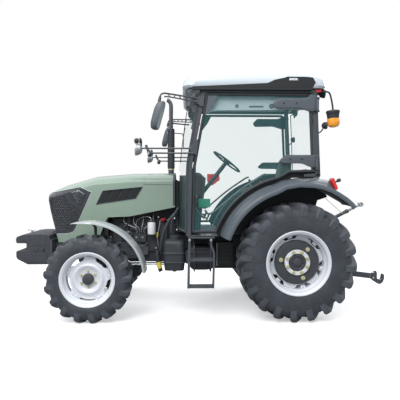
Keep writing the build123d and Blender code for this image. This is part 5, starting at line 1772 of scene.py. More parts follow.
# ---------------------------------------------------------------- engine
@dataclass
class Engine:
    """Fittings along the open sides of the engine, its cooler and its fan."""

    RUST: ClassVar[Finish] = Casting("manifold_iron", (0.07, 0.05, 0.042), "engine_black", 0.7)

    def left(self) -> None:
        """Fuel system, hoses and pipes on the left."""
        form = Form(FILTER)
        form.turned((1.515, 0.226, 0.835), (1.515, 0.226, 0.978), [
            (0.0, 0.03), (0.006, 0.043), (0.02, 0.046), (0.125, 0.046), (0.135, 0.044), (0.143, 0.036)], 40)
        form.make("fuel_filter", "chassis", bevel=0.001, replaces=["engine_fittings"])
        form = Form(ENGINE)
        form.block((1.48, 1.55), (0.15, 0.262), (0.978, 1.004))
        form.block((1.58, 1.72), (0.15, 0.196), (0.746, 0.84))
        form.turned((1.79, 0.15, 0.812), (1.79, 0.196, 0.812),
                    [(0, 0.066), (0.03, 0.066), (0.04, 0.05), (0.046, 0.048)], 32)
        for x, z, r, y in ((1.60, 0.86, 0.02, 0.19), (1.64, 0.866, 0.016, 0.186), (1.68, 0.86, 0.018, 0.19),
                           (1.83, 0.905, 0.024, 0.18), (1.75, 0.945, 0.016, 0.186),
                           (1.88, 0.75, 0.03, 0.172)):
            form.turned((x, 0.14, z), (x, y, z), [(0, r), (y - 0.15, r), (y - 0.142, r * 0.8)], 16)
        for k in range(4):
            x = 1.5 + 0.105 * k
            form.turned((x, 0.11, 1.08), (x, 0.14, 1.11), [(0, 0.014), (0.03, 0.014), (0.042, 0.008)], 12)
            form.block((x - 0.03, x + 0.03), (0.15, 0.18), (0.884, 0.956))
            form.block((x - 0.022, x + 0.022), (0.12, 0.158), (0.66, 0.70))
        for x in (1.47, 1.52, 1.57, 1.62, 1.67, 1.72, 1.77, 1.82, 1.87):
            form.bolt((x, 0.15, 1.0), (0, 1, 0), 0.008, 0.008)
            form.bolt((x, 0.123, 0.625), (0, 1, 0), 0.007, 0.007)
        form.prism([(1.44, 0.985), (1.44, 1.01), (1.92, 1.01), (1.92, 0.985)], 0.15, 0.156)
        form.make("left_engine_castings", "chassis", bevel=0.003)
        pipe = Form(STEEL)
        for k in range(4):
            x = 1.5 + 0.105 * k
            pipe.tube([(1.60 + 0.03 * k, 0.182, 0.842), (1.60 + 0.03 * k, 0.20, 0.90),
                       (x + 0.01, 0.196, 0.97), (x, 0.175, 1.06), (x, 0.14, 1.11)], 0.004, 8, 6)
        for z in (0.492, 0.519):
            pipe.rod((1.38, 0.187, z), (1.70, 0.187, z), 0.009)
            pipe.tube([(1.70, 0.187, z), (1.76, 0.187, z), (1.80, 0.17, z + 0.03), (1.84, 0.14, z + 0.07)],
                      0.009, 12)
        pipe.tube([(1.515, 0.262, 0.995), (1.53, 0.262, 1.03), (1.60, 0.235, 1.035), (1.68, 0.20, 0.99),
                   (1.70, 0.185, 0.88)], 0.0045, 8)
        pipe.tube([(1.42, 0.20, 0.99), (1.43, 0.21, 0.93), (1.45, 0.205, 0.80), (1.44, 0.196, 0.70)], 0.005,
                  8)
        for x, z in ((1.44, 1.03), (1.62, 0.80), (1.69, 0.80), (1.72, 0.70), (1.47, 0.68), (1.86, 0.85),
                     (1.78, 0.862)):
            pipe.bolt((x, 0.196, z), (0, 1, 0), 0.007, 0.008)
        pipe.make("fuel_pipes", "chassis", bevel=0.0)
        hose = Form(RUBBER)
        hose.tube([(1.225, 0.30, 1.10), (1.30, 0.315, 1.02), (1.37, 0.305, 0.88), (1.40, 0.27, 0.74),
                   (1.42, 0.22, 0.60), (1.43, 0.19, 0.55)], 0.017, 14)
        hose.tube([(1.21, 0.30, 1.14), (1.25, 0.315, 1.08), (1.285, 0.315, 0.98), (1.29, 0.31, 0.86)],
                  0.012, 12)
        hose.tube([(1.94, 0.08, 1.15), (1.90, 0.16, 1.13), (1.80, 0.2, 1.07), (1.77, 0.195, 0.98),
                   (1.83, 0.18, 0.91)],
                  0.017, 14)
        hose.tube([(1.99, 0.10, 0.72), (1.93, 0.17, 0.70), (1.88, 0.185, 0.74)], 0.018, 14)
        hose.tube([(1.56, 0.18, 0.74), (1.62, 0.21, 0.70), (1.72, 0.205, 0.69), (1.80, 0.19, 0.74)], 0.008,
                  10)
        hose.make("engine_hoses", "chassis")
        bits = Form(PIPE)
        bits.turned((1.375, 0.20, 1.0), (1.405, 0.235, 1.0), [(0, 0.022), (0.03, 0.022), (0.045, 0.014)],
                    16)
        bits.use(YELLOW).tube([(1.455, 0.205, 0.80), (1.458, 0.215, 0.835), (1.45, 0.22, 0.86),
                               (1.442, 0.215, 0.835), (1.455, 0.205, 0.80)], 0.0035, 8, 4)
        bits.make("filler_and_dipstick", "chassis")

    def right(self) -> None:
        """Manifold, starter and air cleaner on the right."""
        form = Form(Engine.RUST)
        form.rod((1.46, -0.216, 0.96), (1.90, -0.216, 0.96), 0.032)
        for k in range(4):
            x = 1.491 + 0.118 * k
            form.tube([(x, -0.15, 0.96), (x, -0.185, 0.965), (x, -0.216, 0.96)], 0.021, 12, 4)
            form.block((x - 0.034, x + 0.034), (-0.16, -0.149), (0.925, 0.995))
        form.make("exhaust_manifold", "chassis", bevel=0.002)
        form = Form(ENGINE)
        form.turned((1.45, -0.19, 0.72), (1.68, -0.19, 0.72),
                    [(0, 0.05), (0.15, 0.05), (0.16, 0.04), (0.22, 0.036), (0.23, 0.02)], 28)
        form.turned((1.50, -0.205, 0.795), (1.62, -0.205, 0.795),
                    [(0, 0.026), (0.11, 0.026), (0.12, 0.018)], 20)
        form.turned((1.74, -0.15, 0.70), (1.74, -0.245, 0.70), [(0, 0.045), (0.085, 0.045), (0.095, 0.03)],
                    28)
        form.make("starter_and_oil_filter", "chassis", bevel=0.002)

    def front(self) -> None:
        """Cooler with fins, fan, belt and pulleys."""
        form = Form(ENGINE)
        form.block((2.06, 2.14), (-0.215, 0.215), (0.742, 0.79))
        form.block((2.06, 2.14), (-0.215, 0.215), (1.27, 1.33))
        for _ in form.both():
            form.block((2.06, 2.14), (0.19, 0.215), (0.79, 1.27))
        form.turned((2.1, 0.0, 1.33), (2.1, 0.0, 1.372),
                    [(0, 0.034), (0.028, 0.034), (0.03, 0.04), (0.042, 0.038)], 28)
        form.make("cooler_tanks", "chassis", bevel=0.006)
        core = Form(STEEL)
        for k in range(46):
            z = 0.794 + 0.0103 * k
            core.block((2.075, 2.125), (-0.19, 0.19), (z, z + 0.0025))
        for k in range(19):
            y = -0.18 + 0.02 * k
            core.block((2.085, 2.115), (y - 0.0018, y + 0.0018), (0.79, 1.27))
        core.make("cooler_core", "chassis")
        fan = Form(PLASTIC)
        for k in range(7):
            t = 2 * math.pi * k / 7
            rings = []
            for r, w, pitch in ((0.045, 0.025, 0.03), (0.11, 0.04, 0.022), (0.182, 0.05, 0.014)):
                ring = []
                for s, dx in ((-1, -pitch), (1, pitch), (1, pitch + 0.003), (-1, -pitch + 0.003)):
                    a = t + s * w / r / 2
                    ring.append(fan.at(2.015 + dx * 0.5, r * math.sin(a), 0.95 + r * math.cos(a)))
                rings.append(ring)
            fan.loft(rings)
        fan.turned((1.985, 0, 0.95), (2.04, 0, 0.95), [(0, 0.05), (0.04, 0.05), (0.055, 0.03)], 28)
        fan.make("cooling_fan", "chassis", angle=40)
        belt = Form(RUBBER)
        spots = [(0.0, 0.95, 0.062), (0.0, 0.68, 0.075), (-0.14, 0.86, 0.038)]
        for y, z, r in spots:
            belt.turned((1.952, y, z), (1.985, y, z),
                        [(0, r), (0.008, r), (0.016, r - 0.008), (0.025, r), (0.033, r)], 36)
        y, z, r = spots[0]
        belt.tube([(1.968, y + r * math.cos(math.radians(a)), z + r * math.sin(math.radians(a)))
                   for a in (-10, 30, 70, 90)], 0.006, 8, 6)
        belt.make("belt_pulleys", "chassis")

    def build(self) -> None:
        """Make all the fittings."""
        self.left()
        self.right()
        self.front()


# ---------------------------------------------------------------- beside the engine
@dataclass
class SideTanks:
    """Ribbed canister, barrel tank, reflector tube and the two step ladders."""

    def canister(self) -> None:
        """Upright canister with sloping shoulders, ridges and a cap."""
        form = Form(PLASTIC)
        levels = ((0.482, 0.10), (0.487, 0.014), (0.56, 0.006), (0.566, 0.0), (0.576, 0.0), (0.582, 0.006),
                  (0.655, 0.006), (0.661, 0.0), (0.673, 0.0), (0.68, 0.006), (0.775, 0.008), (0.795, 0.02),
                  (0.808, 0.045), (0.812, 0.07))
        rings = []
        for z, inset in levels:
            rings.append(rounded_box(form, (1.135 + inset, 1.368 - inset), (0.302 + inset, 0.558 - inset),
                                     z, 0.045))
        form.loft(rings)
        form.turned((1.25, 0.45, 0.808), (1.25, 0.45, 0.852),
                    [(0, 0.058), (0.016, 0.058), (0.02, 0.05), (0.036, 0.05), (0.044, 0.04)], 32)
        for k in range(16):
            t = 2 * math.pi * k / 16
            form.rod((1.25 + 0.05 * math.cos(t), 0.45 + 0.05 * math.sin(t), 0.828),
                     (1.25 + 0.05 * math.cos(t), 0.45 + 0.05 * math.sin(t), 0.846), 0.004, 8)
        form.turned((1.25, 0.5, 0.470), (1.25, 0.5, 0.49), [(0, 0.012), (0.012, 0.03), (0.02, 0.04)], 20)
        form.make("ribbed_canister", "chassis", bevel=0.0015, replaces=["fuel_tank"])

    def barrel(self) -> None:
        """Black barrel tank whose ribs run round it, with straps and a filler."""
        form = Form(PLASTIC)
        levels = ((0.486, 0.055), (0.494, 0.03), (0.52, 0.012), (0.556, 0.006), (0.566, 0.0), (0.60, 0.0),
                  (0.606, 0.006), (0.612, 0.0), (0.655, 0.0), (0.662, 0.008), (0.668, 0.0), (0.70, 0.002),
                  (0.706, 0.008), (0.712, 0.004), (0.73, 0.012), (0.742, 0.03), (0.745, 0.055))
        rings = []
        for z, inset in levels:
            rings.append(rounded_box(form, (0.822 + inset, 1.098 - inset), (0.29 + inset, 0.55 - inset), z,
                                     0.05))
        form.loft(rings)
        form.block((1.10, 1.13), (0.33, 0.53), (0.56, 0.70))
        for x in (0.86, 1.03):
            form.block((x, x + 0.03), (0.395, 0.47), (0.70, 0.858))
        form.make("barrel_tank", "chassis", bevel=0.0015)
        strap = Form(BLACK_WITH_PAINTED_SHEEN)
        for x in (0.868, 1.04):
            strap.tube([(x, 0.42, 0.86), (x, 0.54, 0.76), (x, 0.556, 0.70), (x, 0.556, 0.56),
                        (x, 0.53, 0.482), (x, 0.42, 0.478)], 0.008, 8, 6)
        strap.make("tank_straps", "chassis")
        box = Form(ENGINE)
        box.block((0.60, 0.79), (0.16, 0.26), (0.50, 0.75))
        for k in range(5):
            z = 0.54 + 0.045 * k
            box.block((0.61, 0.78), (0.26, 0.266), (z, z + 0.01))
        box.make("valve_block", "chassis", bevel=0.004)
        tube = Form(STEEL)
        tube.rod((0.785, 0.30, 0.49), (0.785, 0.30, 0.745), 0.007)
        tube.use(PLASTIC).turned((0.785, 0.30, 0.745), (0.785, 0.30, 0.77),
                                 [(0, 0.014), (0.02, 0.014), (0.025, 0.01)], 16)
        tube.use(PLASTIC).block((0.775, 0.795), (0.17, 0.30), (0.50, 0.52))
        tube.use(PLASTIC).block((0.775, 0.795), (0.17, 0.30), (0.72, 0.74))
        tube.make("level_tube", "chassis", bevel=0.001)

    def reflector(self) -> None:
        """Slanted tube end with a yellow reflector in front of the canister."""
        form = Form(PLASTIC)
        form.tube([(1.452, 0.25, 0.66), (1.44, 0.27, 0.55), (1.42, 0.27, 0.46), (1.408, 0.27, 0.43)], 0.024,
                  20, 6)
        form.use(YELLOW).turned((1.438, 0.272, 0.535), (1.42, 0.272, 0.465), [(0, 0.027), (0.072, 0.027)],
                                24, True)
        form.make("drain_tube_reflector", "chassis", bevel=0.0)

    def ladder(self, side: int) -> None:
        """Step ladder with a kinked rear rail and two open treads."""
        form = Form(BLACK_WITH_PAINTED_SHEEN, side)
        y0, y1 = 0.688, 0.703
        form.prism(strip([(1.102, 0.336), (1.098, 0.60), (1.09, 0.862)], 0.026), y0, y1)
        form.prism(strip([(0.85, 0.336), (0.842, 0.60), (0.842, 0.70), (0.872, 0.78), (0.872, 0.862)],
                         0.022), y0, y1)
        for z in (0.334, 0.612):
            form.block((0.838, 1.104), (0.676, 0.69), (z, z + 0.026))
            form.block((0.838, 1.104), (0.61, 0.622), (z, z + 0.026))
            for k in range(11):
                x = 0.842 + 0.0245 * k
                form.block((x, x + 0.006), (0.622, 0.676), (z + 0.004, z + 0.022))
            for k in range(14):
                x = 0.848 + 0.0185 * k
                form.prism([(x, z + 0.026), (x + 0.01, z + 0.026), (x + 0.005, z + 0.032)], 0.676, 0.69)
        for x in (0.842, 1.098):
            form.prism(strip([(x, 0.336), (x, 0.64)], 0.016), 0.61, 0.622)
        form.block((0.836, 1.104), (0.585, 0.7), (0.846, 0.8595))
        form.make(f"step_ladder_{side_name(side)}", "chassis", bevel=0.0015,
                  replaces=["steps"] if side > 0 else ())
        form = Form(STEEL, side)
        for x in (0.872, 1.09):
            form.bolt((x, 0.703, 0.83), (0, 1, 0), 0.009, 0.01)
        form.make(f"step_bolts_{side_name(side)}", "chassis")

    def build(self) -> None:
        """Make the tanks and ladders."""
        self.canister()
        self.barrel()
        self.reflector()
        for side in SIDES:
            self.ladder(side)


def rounded_box(form: Form, x: Point, y: Point, z: float, radius: float) -> list[Vector]:
    """Plan ring of a rectangle with round corners, at a height."""
    ring = []
    for cx, cy, start in ((x[1] - radius, y[1] - radius, 0), (x[0] + radius, y[1] - radius, 90),
                          (x[0] + radius, y[0] + radius, 180), (x[1] - radius, y[0] + radius, 270)):
        for step in range(6):
            t = math.radians(start + step * 18)
            ring.append(form.at(cx + radius * math.cos(t), cy + radius * math.sin(t), z))
    return ring


# ---------------------------------------------------------------- exhaust, mirrors, lamps
@dataclass
class Exhaust:
    """Stack beside the windscreen with its perforated guard.

    Args:
        x: The stack's station.
        y: Its distance to the left.
    """

    x: float = 1.32
    y: float = -0.42

    def build(self) -> None:
        """Make the pipe, guard, clamp and stay."""
        x, y = self.x, self.y
        form = Form(BLACK_WITH_PAINTED_SHEEN)
        form.tube([(1.46, -0.222, 0.96), (1.41, -0.222, 0.962), (1.36, -0.30, 1.0), (1.325, -0.40, 1.06),
                   (x, y, 1.16)], 0.027, 20, 8)
        form.turned((x, y, 1.12), (x, y, 1.62),
                    [(0, 0.024), (0.03, 0.036), (0.45, 0.036), (0.48, 0.036), (0.5, 0.03)], 32)
        form.turned((x, y, 1.60), (x, y, 2.115),
                    [(0, 0.034), (0.004, 0.040), (0.5, 0.040), (0.51, 0.034), (0.515, 0.02)], 40)
        form.tube([(x, y, 2.10), (x, y, 2.30), (x, y, 2.40), (x + 0.008, y, 2.435), (x + 0.03, y, 2.462),
                   (x + 0.05, y, 2.47)], 0.026, 24, 8)
        form.tube([(x, y, 2.18), (1.2, -0.5, 2.18), (1.09, -0.56, 2.18)], 0.009, 12, 4)
        form.tube([(x, y, 2.055), (1.22, -0.47, 2.055), (1.17, -0.52, 2.04), (1.165, -0.53, 1.86)], 0.006,
                  10, 6)
        form.make("exhaust_stack", "chassis", bevel=0.0015, replaces=["exhaust"])
        guard = Form(PLASTIC)
        for k in range(27):
            z = 1.615 + 0.0182 * k
            guard.turned((x, y, z), (x, y, z + 0.007), [(0, 0.0415), (0.0035, 0.0435), (0.007, 0.0415)], 32)
        for t in turns(14):
            cx, cy = x + 0.0425 * math.cos(t), y + 0.0425 * math.sin(t)
            guard.rod((cx, cy, 1.61), (cx, cy, 2.105), 0.0025, 6)
        guard.make("exhaust_guard", "chassis")
        clamp = Form(ZINC)
        clamp.turned((x, y, 2.045), (x, y, 2.065), [(0, 0.030), (0.02, 0.030)], 32)
        clamp.turned((x, y, 1.585), (x, y, 1.60), [(0, 0.042), (0.015, 0.042)], 32)
        clamp.bolt((x + 0.034, y, 2.055), (1, 0, 0), 0.007, 0.012)
        clamp.make("exhaust_clamps", "chassis", bevel=0.001)


@dataclass
class Mirrors:
    """Mirrors on braced arms, and the head-height lamp arms.

    Args:
        side: 1 for the left, -1 for the right.
        middle: Middle of the head.
        lean: How far the head's top lies back, for each metre of height.
        turned_in: How far the head's outer edge lies ahead, for each metre across.
    """

    side: int
    middle: Point = (1.388, 0.852, 2.06)
    lean: float = 0.27
    turned_in: float = 0.12

    def oval(self, form: Form, half: tuple[float, float], depth: float, swing: float = 0.0) -> list[Vector]:
        """Rounded upright ring of the slanted head.

        Args:
            form: The form that holds the ring.
            half: Its half width and half height.
            depth: Distance ahead of the head's middle.
            swing: Share of the depth by which it moves inward.

        Returns:
            The ring's vectors.
        """
        x, y, z = self.middle
        ring = []
        for t in turns(40):
            c, s = math.cos(t), math.sin(t)
            across = half[0] * math.copysign(abs(c) ** 0.5, c)
            high = half[1] * math.copysign(abs(s) ** 0.62, s)
            ring.append(form.at(x + depth - self.lean * high + self.turned_in * across,
                                y + across - swing * depth, z + high))
        return ring

    def head(self) -> None:
        """Slanted rounded mirror shell with its glass facing the rear."""
        form = Form(TRIM, self.side)
        form.loft([self.oval(form, (0.083 * scale, 0.136 * scale), depth, self.turned_in)
                   for depth, scale in (
            (-0.02, 0.88), (-0.023, 0.97), (-0.014, 1.0), (0.018, 0.99), (0.038, 0.9), (0.051, 0.66),
            (0.054, 0.3))])
        form.make(f"mirror_shell_{side_name(self.side)}", "chassis", angle=60,
                  replaces=["mirrors"] if self.side > 0 else ())
        glass = Form(STEEL, self.side)
        glass.loft([self.oval(glass, (0.074, 0.125), depth) for depth in (-0.0225, -0.018)])
        glass.make(f"mirror_glass_{side_name(self.side)}", "chassis")

    def arms(self) -> None:
        """Two bars with cross braces, the down bar and the bracket."""
        form = Form(BLACK_WITH_PAINTED_SHEEN, self.side)
        a = [(0.97, 0.655, 2.262), (1.1, 0.708, 2.272), (1.3, 0.79, 2.286), (1.345, 0.81, 2.284),
             (1.372, 0.828, 2.262), (1.385, 0.845, 2.20)]
        b = [(0.97, 0.655, 2.222), (1.1, 0.708, 2.238), (1.3, 0.79, 2.256), (1.335, 0.806, 2.25)]
        form.tube(a, 0.0085, 12, 8)
        form.tube(b, 0.007, 12, 6)
        for k in range(5):
            x0, x1 = 1.06 + 0.055 * k, 1.085 + 0.055 * k
            z0, z1 = 2.234 + 0.0055 * k, 2.268 + 0.004 * k
            y = 0.655 + (x0 - 0.97) * 0.41
            if k % 2:
                z0, z1 = z1, z0
            form.rod((x0, y, z0), (x1, y + 0.01, z1), 0.005, 8)
        form.block((0.945, 0.99), (0.648, 0.668), (2.19, 2.285))
        form.prism([(0.985, 2.20), (1.06, 2.23), (1.06, 2.275), (0.985, 2.285)], 0.65, 0.672)
        form.prism([(1.03, 2.13), (1.07, 2.14), (1.05, 2.215), (1.01, 2.225)], 0.63, 0.65)
        # Lower pair of bars, which carries the forward lamp.
        for z in (1.762, 1.714):
            form.rod((1.05, 0.662, z), (1.585 if z > 1.75 else 1.50, 0.662, z), 0.0085)
        form.prism([(1.015, 1.70), (1.03, 1.70), (1.085, 1.732), (1.085, 1.79), (1.03, 1.84), (1.0, 1.86)],
                   0.648, 0.666)
        form.prism([(1.49, 1.72), (1.515, 1.72), (1.545, 1.79), (1.52, 1.80)], 0.654, 0.67)
        form.make(f"mirror_and_lamp_arms_{side_name(self.side)}", "chassis", bevel=0.0015)
        seat = Form(RUBBER, self.side)
        seat.turned((1.375, 0.835, 2.245), (1.385, 0.847, 2.19), [(0, 0.013), (0.05, 0.016)], 20)
        seat.make(f"mirror_boot_{side_name(self.side)}", "chassis")

    def build(self) -> None:
        """Make the mirror and its arms."""
        self.head()
        self.arms()


def round_lamp(name: str, side: int, place: Point, towards: Point, radius: float, depth: float,
               lens: Finish = CLEAR, shell: Finish = PLASTIC) -> None:
    """Round work lamp: ribbed housing with its ring, and the lens.

    Args:
        name: The piece's name.
        side: 1 for the left, -1 for the right.
        place: Middle of its face.
        towards: Way that it shines, a unit vector.
        radius: Its radius.
        depth: Depth of its housing.
        lens: Finish of its lens.
        shell: Finish of its housing.
    """
    form = Form(shell, side)
    back = [p - t * depth for p, t in zip(place, towards)]
    rings = [(0.0, radius * 0.35), (depth * 0.12, radius * 0.6)]
    for k in range(4):
        at = depth * (0.2 + 0.13 * k)
        rings += [(at, radius * (0.7 + 0.06 * k)), (at + depth * 0.03, radius * (0.8 + 0.06 * k)),
                  (at + depth * 0.07, radius * (0.8 + 0.06 * k)),
                  (at + depth * 0.09, radius * (0.72 + 0.06 * k))]
    rings += [(depth * 0.8, radius), (depth * 0.98, radius), (depth, radius * 0.96),
              (depth * 0.97, radius * 0.88)]
    form.turned(back, place, rings, 40)
    form.use(lens)
    start = [p - t * 0.004 for p, t in zip(place, towards)]
    end = [p + t * 0.006 for p, t in zip(place, towards)]
    form.turned(start, end, [(0, radius * 0.9), (0.003, radius * 0.88), (0.007, radius * 0.6),
                             (0.0095, radius * 0.1)], 40)
    form.make(name, "chassis", angle=40)


@dataclass
class Lamps:
    """Every lamp, the beacon and the tail lamps."""

    def side(self, side: int) -> None:
        """Forward lamp with the signal above it, and the rear lamps on one side."""
        name = side_name(side)
        round_lamp(f"forward_lamp_{name}", side, (1.64, 0.662, 1.752), (1, 0, 0), 0.064, 0.07, shell=STEEL)
        form = Form(PLASTIC, side)
        form.turned((1.605, 0.662, 1.838), (1.65, 0.662, 1.838),
                    [(0, 0.02), (0.01, 0.026), (0.03, 0.026), (0.043, 0.018)], 28)
        form.turned((1.575, 0.662, 1.838), (1.61, 0.662, 1.838),
                    [(0, 0.018), (0.01, 0.029), (0.022, 0.029)], 28)
        form.rod((1.578, 0.662, 1.775), (1.578, 0.662, 1.84), 0.008)
        form.turned((1.50, 0.655, 1.705), (1.47, 0.655, 1.695), [(0, 0.03), (0.02, 0.03), (0.03, 0.02)], 24)
        form.use(GREY).turned((1.503, 0.655, 1.706), (1.515, 0.655, 1.71),
                              [(0, 0.028), (0.008, 0.024), (0.012, 0.01)], 24)
        form.make(f"turn_signal_{name}", "chassis", replaces=["lamps"] if side > 0 else ())
        # Lamp on the rear pillar, and the work lamp under the roof's rear edge.
        round_lamp(f"pillar_lamp_{name}", side, (-0.318, 0.655, 2.0), (-1, 0, 0), 0.037, 0.05)
        arm = Form(PLASTIC, side)
        arm.tube([(-0.215, 0.64, 1.93), (-0.25, 0.65, 1.932), (-0.278, 0.655, 1.965), (-0.28, 0.655, 1.99)],
                 0.007, 10)
        arm.make(f"pillar_lamp_arm_{name}", "chassis")
        round_lamp(f"roof_lamp_{name}", side, (-0.324, 0.56, 2.343), (-1, 0, 0), 0.044, 0.058)
        arm = Form(PLASTIC, side)
        arm.block((-0.27, -0.205), (0.548, 0.572), (2.33, 2.362))
        arm.use(RED).block((-0.262, -0.205), (0.60, 0.648), (2.345, 2.372))
        arm.make(f"roof_lamp_bracket_{name}", "chassis", bevel=0.003)
        tail = Form(RED, side)
        face = [(-0.318, 1.440), (-0.331, 1.460), (-0.341, 1.457), (-0.380, 1.362), (-0.376, 1.346),
                (-0.362, 1.338)]
        tail.loft([[tail.at(x, y, z) for x, z in ring] for ring, y in (
            (face, 0.735), (face, 0.828), ([(x + 0.006, z) for x, z in face], 0.8345))])
        tail.use(PLASTIC).rod((-0.355, 0.79, 1.415), (-0.385, 0.79, 1.428), 0.008)
        tail.use(PLASTIC).turned((-0.382, 0.79, 1.427), (-0.418, 0.79, 1.446),
                                 [(0, 0.012), (0.01, 0.018), (0.034, 0.018), (0.04, 0.012)], 20)
        tail.make(f"tail_lamp_{name}", "chassis", bevel=0.002)

    def beacon(self) -> None:
        """Amber beacon hanging from its bent arm."""
        y = 0.625
        form = Form(PLASTIC)
        form.tube([(-0.205, y, 2.352), (-0.30, y, 2.353), (-0.345, y, 2.345), (-0.365, y, 2.31),
                   (-0.385, y, 2.22), (-0.392, y, 2.155)], 0.009, 12)
        form.turned((-0.39, y, 2.165), (-0.395, y, 2.07), [
            (0, 0.03), (0.008, 0.066), (0.02, 0.07), (0.028, 0.07), (0.036, 0.064), (0.07, 0.06),
            (0.092, 0.058)], 40)
        form.make("beacon_base", "chassis", angle=40, replaces=["beacon"])
        dome = Form(AMBER)
        dome.turned((-0.395, y, 2.078), (-0.40, y, 1.985), [
            (0, 0.056), (0.004, 0.061), (0.05, 0.061), (0.07, 0.057), (0.085, 0.044), (0.092, 0.02),
            (0.0935, 0.002)], 48)
        for t in turns(24):
            cx, cy = -0.397 + 0.061 * math.cos(t), y + 0.061 * math.sin(t)
            dome.rod((cx, cy, 2.022), (cx, cy, 2.07), 0.0022, 6)
        dome.make("beacon_dome", "chassis", angle=50)

    def build(self) -> None:
        """Make every lamp."""
        for side in SIDES:
            self.side(side)
        self.beacon()


# ---------------------------------------------------------------- three-point linkage
@dataclass
class Hitch:
    """Lower links, lift arms and rods, top link, drawbar, power take-off and couplers."""

    seat: tuple[float, float] = (-1.006, 0.377)
    lift: tuple[float, float] = (-0.45, 0.918)

    def lower_link(self, side: int) -> None:
        """Forged link with a hook claw and its latch."""
        name = side_name(side)
        form = Form(BLACK_WITH_PAINTED_SHEEN, side)
        form.prism([(-0.075, 0.484), (-0.085, 0.525), (-0.12, 0.531), (-0.155, 0.520), (-0.40, 0.484),
                    (-0.90, 0.42),
                    (-0.94, 0.41), (-0.94, 0.352), (-0.90, 0.36), (-0.40, 0.422), (-0.155, 0.452),
                    (-0.12, 0.449), (-0.085, 0.455)], 0.367, 0.393)
        hook = [(-0.925, 0.350), (-0.925, 0.420), (-0.948, 0.428), (-0.957, 0.443), (-0.971, 0.443),
                (-0.978, 0.423)]
        hook += [(self.seat[0] + 0.0285 * math.cos(math.radians(a)),
                  self.seat[1] + 0.0285 * math.sin(math.radians(a)))
                 for a in range(20, -200, -15)]
        hook += [(-1.037, 0.410), (-1.052, 0.411), (-1.0595, 0.394)]
        hook += [(self.seat[0] + 0.0535 * math.cos(math.radians(a)),
                  self.seat[1] + 0.0795 * math.sin(math.radians(a)))
                 for a in range(188, 296, 12)]
        hook += [(-0.946, 0.329)]
        form.prism(hook, 0.356, 0.404)
        form.make(f"lower_link_{name}_forging", f"lower_link_{name}", bevel=0.004,
                  replaces=[f"lower_link_{name}"])
        steel = Form(STEEL, side)
        steel.turned((-0.12, 0.3665, 0.49), (-0.12, 0.3938, 0.49),
                     [(0, 0.039), (0.003, 0.040), (0.024, 0.040), (0.027, 0.038)], 32)
        steel.rod((-0.955, 0.37, 0.405), (-0.955, 0.39, 0.405), 0.016)
        steel.tube([(-0.962, 0.38, 0.42), (-0.972, 0.38, 0.432), (-0.966, 0.38, 0.443),
                    (-0.95, 0.38, 0.437)], 0.006, 10, 6)
        steel.use(BLACK_WITH_PAINTED_SHEEN).rod((-0.925, 0.394, 0.385), (-0.86, 0.396, 0.395), 0.009)
        for x, z in ((-0.935, 0.37), (-0.905, 0.385)):
            steel.use(ZINC).bolt((x, 0.4045 if x < -0.92 else 0.393, z), (0, 1, 0), 0.008, 0.008)
        steel.make(f"lower_link_{name}_fittings", f"lower_link_{name}", bevel=0.0008)

    def lift_rod(self, side: int) -> None:
        """Threaded lift rod with its fork and adjusting sleeve."""
        name = side_name(side)
        form = Form(STEEL, side)
        x, z = self.lift
        form.turned((x, 0.3424, z), (x, 0.3822, z),
                    [(0, 0.028), (0.004, 0.0295), (0.036, 0.0295), (0.0396, 0.028)], 32)
        form.rod((x, 0.38, z - 0.015), (x, 0.38, 0.545), 0.0125)
        for k in range(26):
            top = 0.70 - 0.0056 * k
            form.turned((x, 0.38, top), (x, 0.38, top - 0.0056),
                        [(0, 0.0125), (0.0028, 0.0142), (0.0056, 0.0125)], 14)
        form.use(BLACK_WITH_PAINTED_SHEEN).turned((x, 0.38, 0.85), (x, 0.38, 0.70),
                               [(0, 0.0135), (0.004, 0.0165), (0.146, 0.0165), (0.15, 0.0135)], 24)
        form.make(f"lift_rod_{name}_screw", f"lift_rod_{name}", bevel=0.0, replaces=[f"lift_rod_{name}"])
        fork = Form(BLACK_WITH_PAINTED_SHEEN, side)
        for y0, y1 in ((0.346, 0.360), (0.40, 0.414)):
            fork.prism([(x - 0.025, 0.548), (x - 0.025, 0.452), (x - 0.019, 0.434), (x - 0.007, 0.420),
                        (x + 0.007, 0.420), (x + 0.019, 0.434), (x + 0.025, 0.452), (x + 0.025, 0.548)], y0,
                        y1)
        fork.block((x - 0.025, x + 0.025), (0.346, 0.414), (0.528, 0.548))
        fork.use(ZINC).bolt((x, 0.414, 0.448), (0, 1, 0), 0.011, 0.010)
        fork.make(f"lift_rod_{name}_fork", f"lift_rod_{name}", bevel=0.003)

    def arms(self) -> None:
        """Pair of lift arms with their cross pins."""
        form = Form(BLACK_WITH_PAINTED_SHEEN)
        x, z = self.lift
        for _ in form.both():
            form.prism([(-0.065, 0.958), (-0.083, 0.995), (-0.12, 1.012), (-0.157, 1.0), (-0.30, 0.966),
                        (-0.45, 0.948),
                        (-0.474, 0.936), (-0.478, 0.914), (-0.466, 0.894), (-0.445, 0.888), (-0.30, 0.905),
                        (-0.157, 0.916), (-0.12, 0.906), (-0.083, 0.918)], 0.175, 0.203)
            form.turned((-0.12, 0.1705, 0.96), (-0.12, 0.2048, 0.96),
                        [(0, 0.05), (0.003, 0.0525), (0.031, 0.0525), (0.0343, 0.05)], 36)
            form.rod((x, 0.181, z), (x, 0.3418, z), 0.0188)
            form.use(STEEL).turned((-0.12, 0.2, 0.96), (-0.12, 0.205, 0.96),
                                   [(0, 0.028), (0.004, 0.028), (0.005, 0.026)], 28)
            form.use(ZINC).bolt((x, 0.203, z - 0.006), (0, 1, 0), 0.012, 0.006).use(BLACK_WITH_PAINTED_SHEEN)
        form.make("lift_arm_pair", "lift_arms", bevel=0.004, replaces=["lift_arms"])

    def top_link(self) -> None:
        """Turnbuckle with threaded ends, ball eyes and a turning bar."""
        a, b = (-0.33, 0.0, 0.85), (-0.95, 0.0, 1.165)
        length = math.hypot(a[0] - b[0], a[2] - b[2])

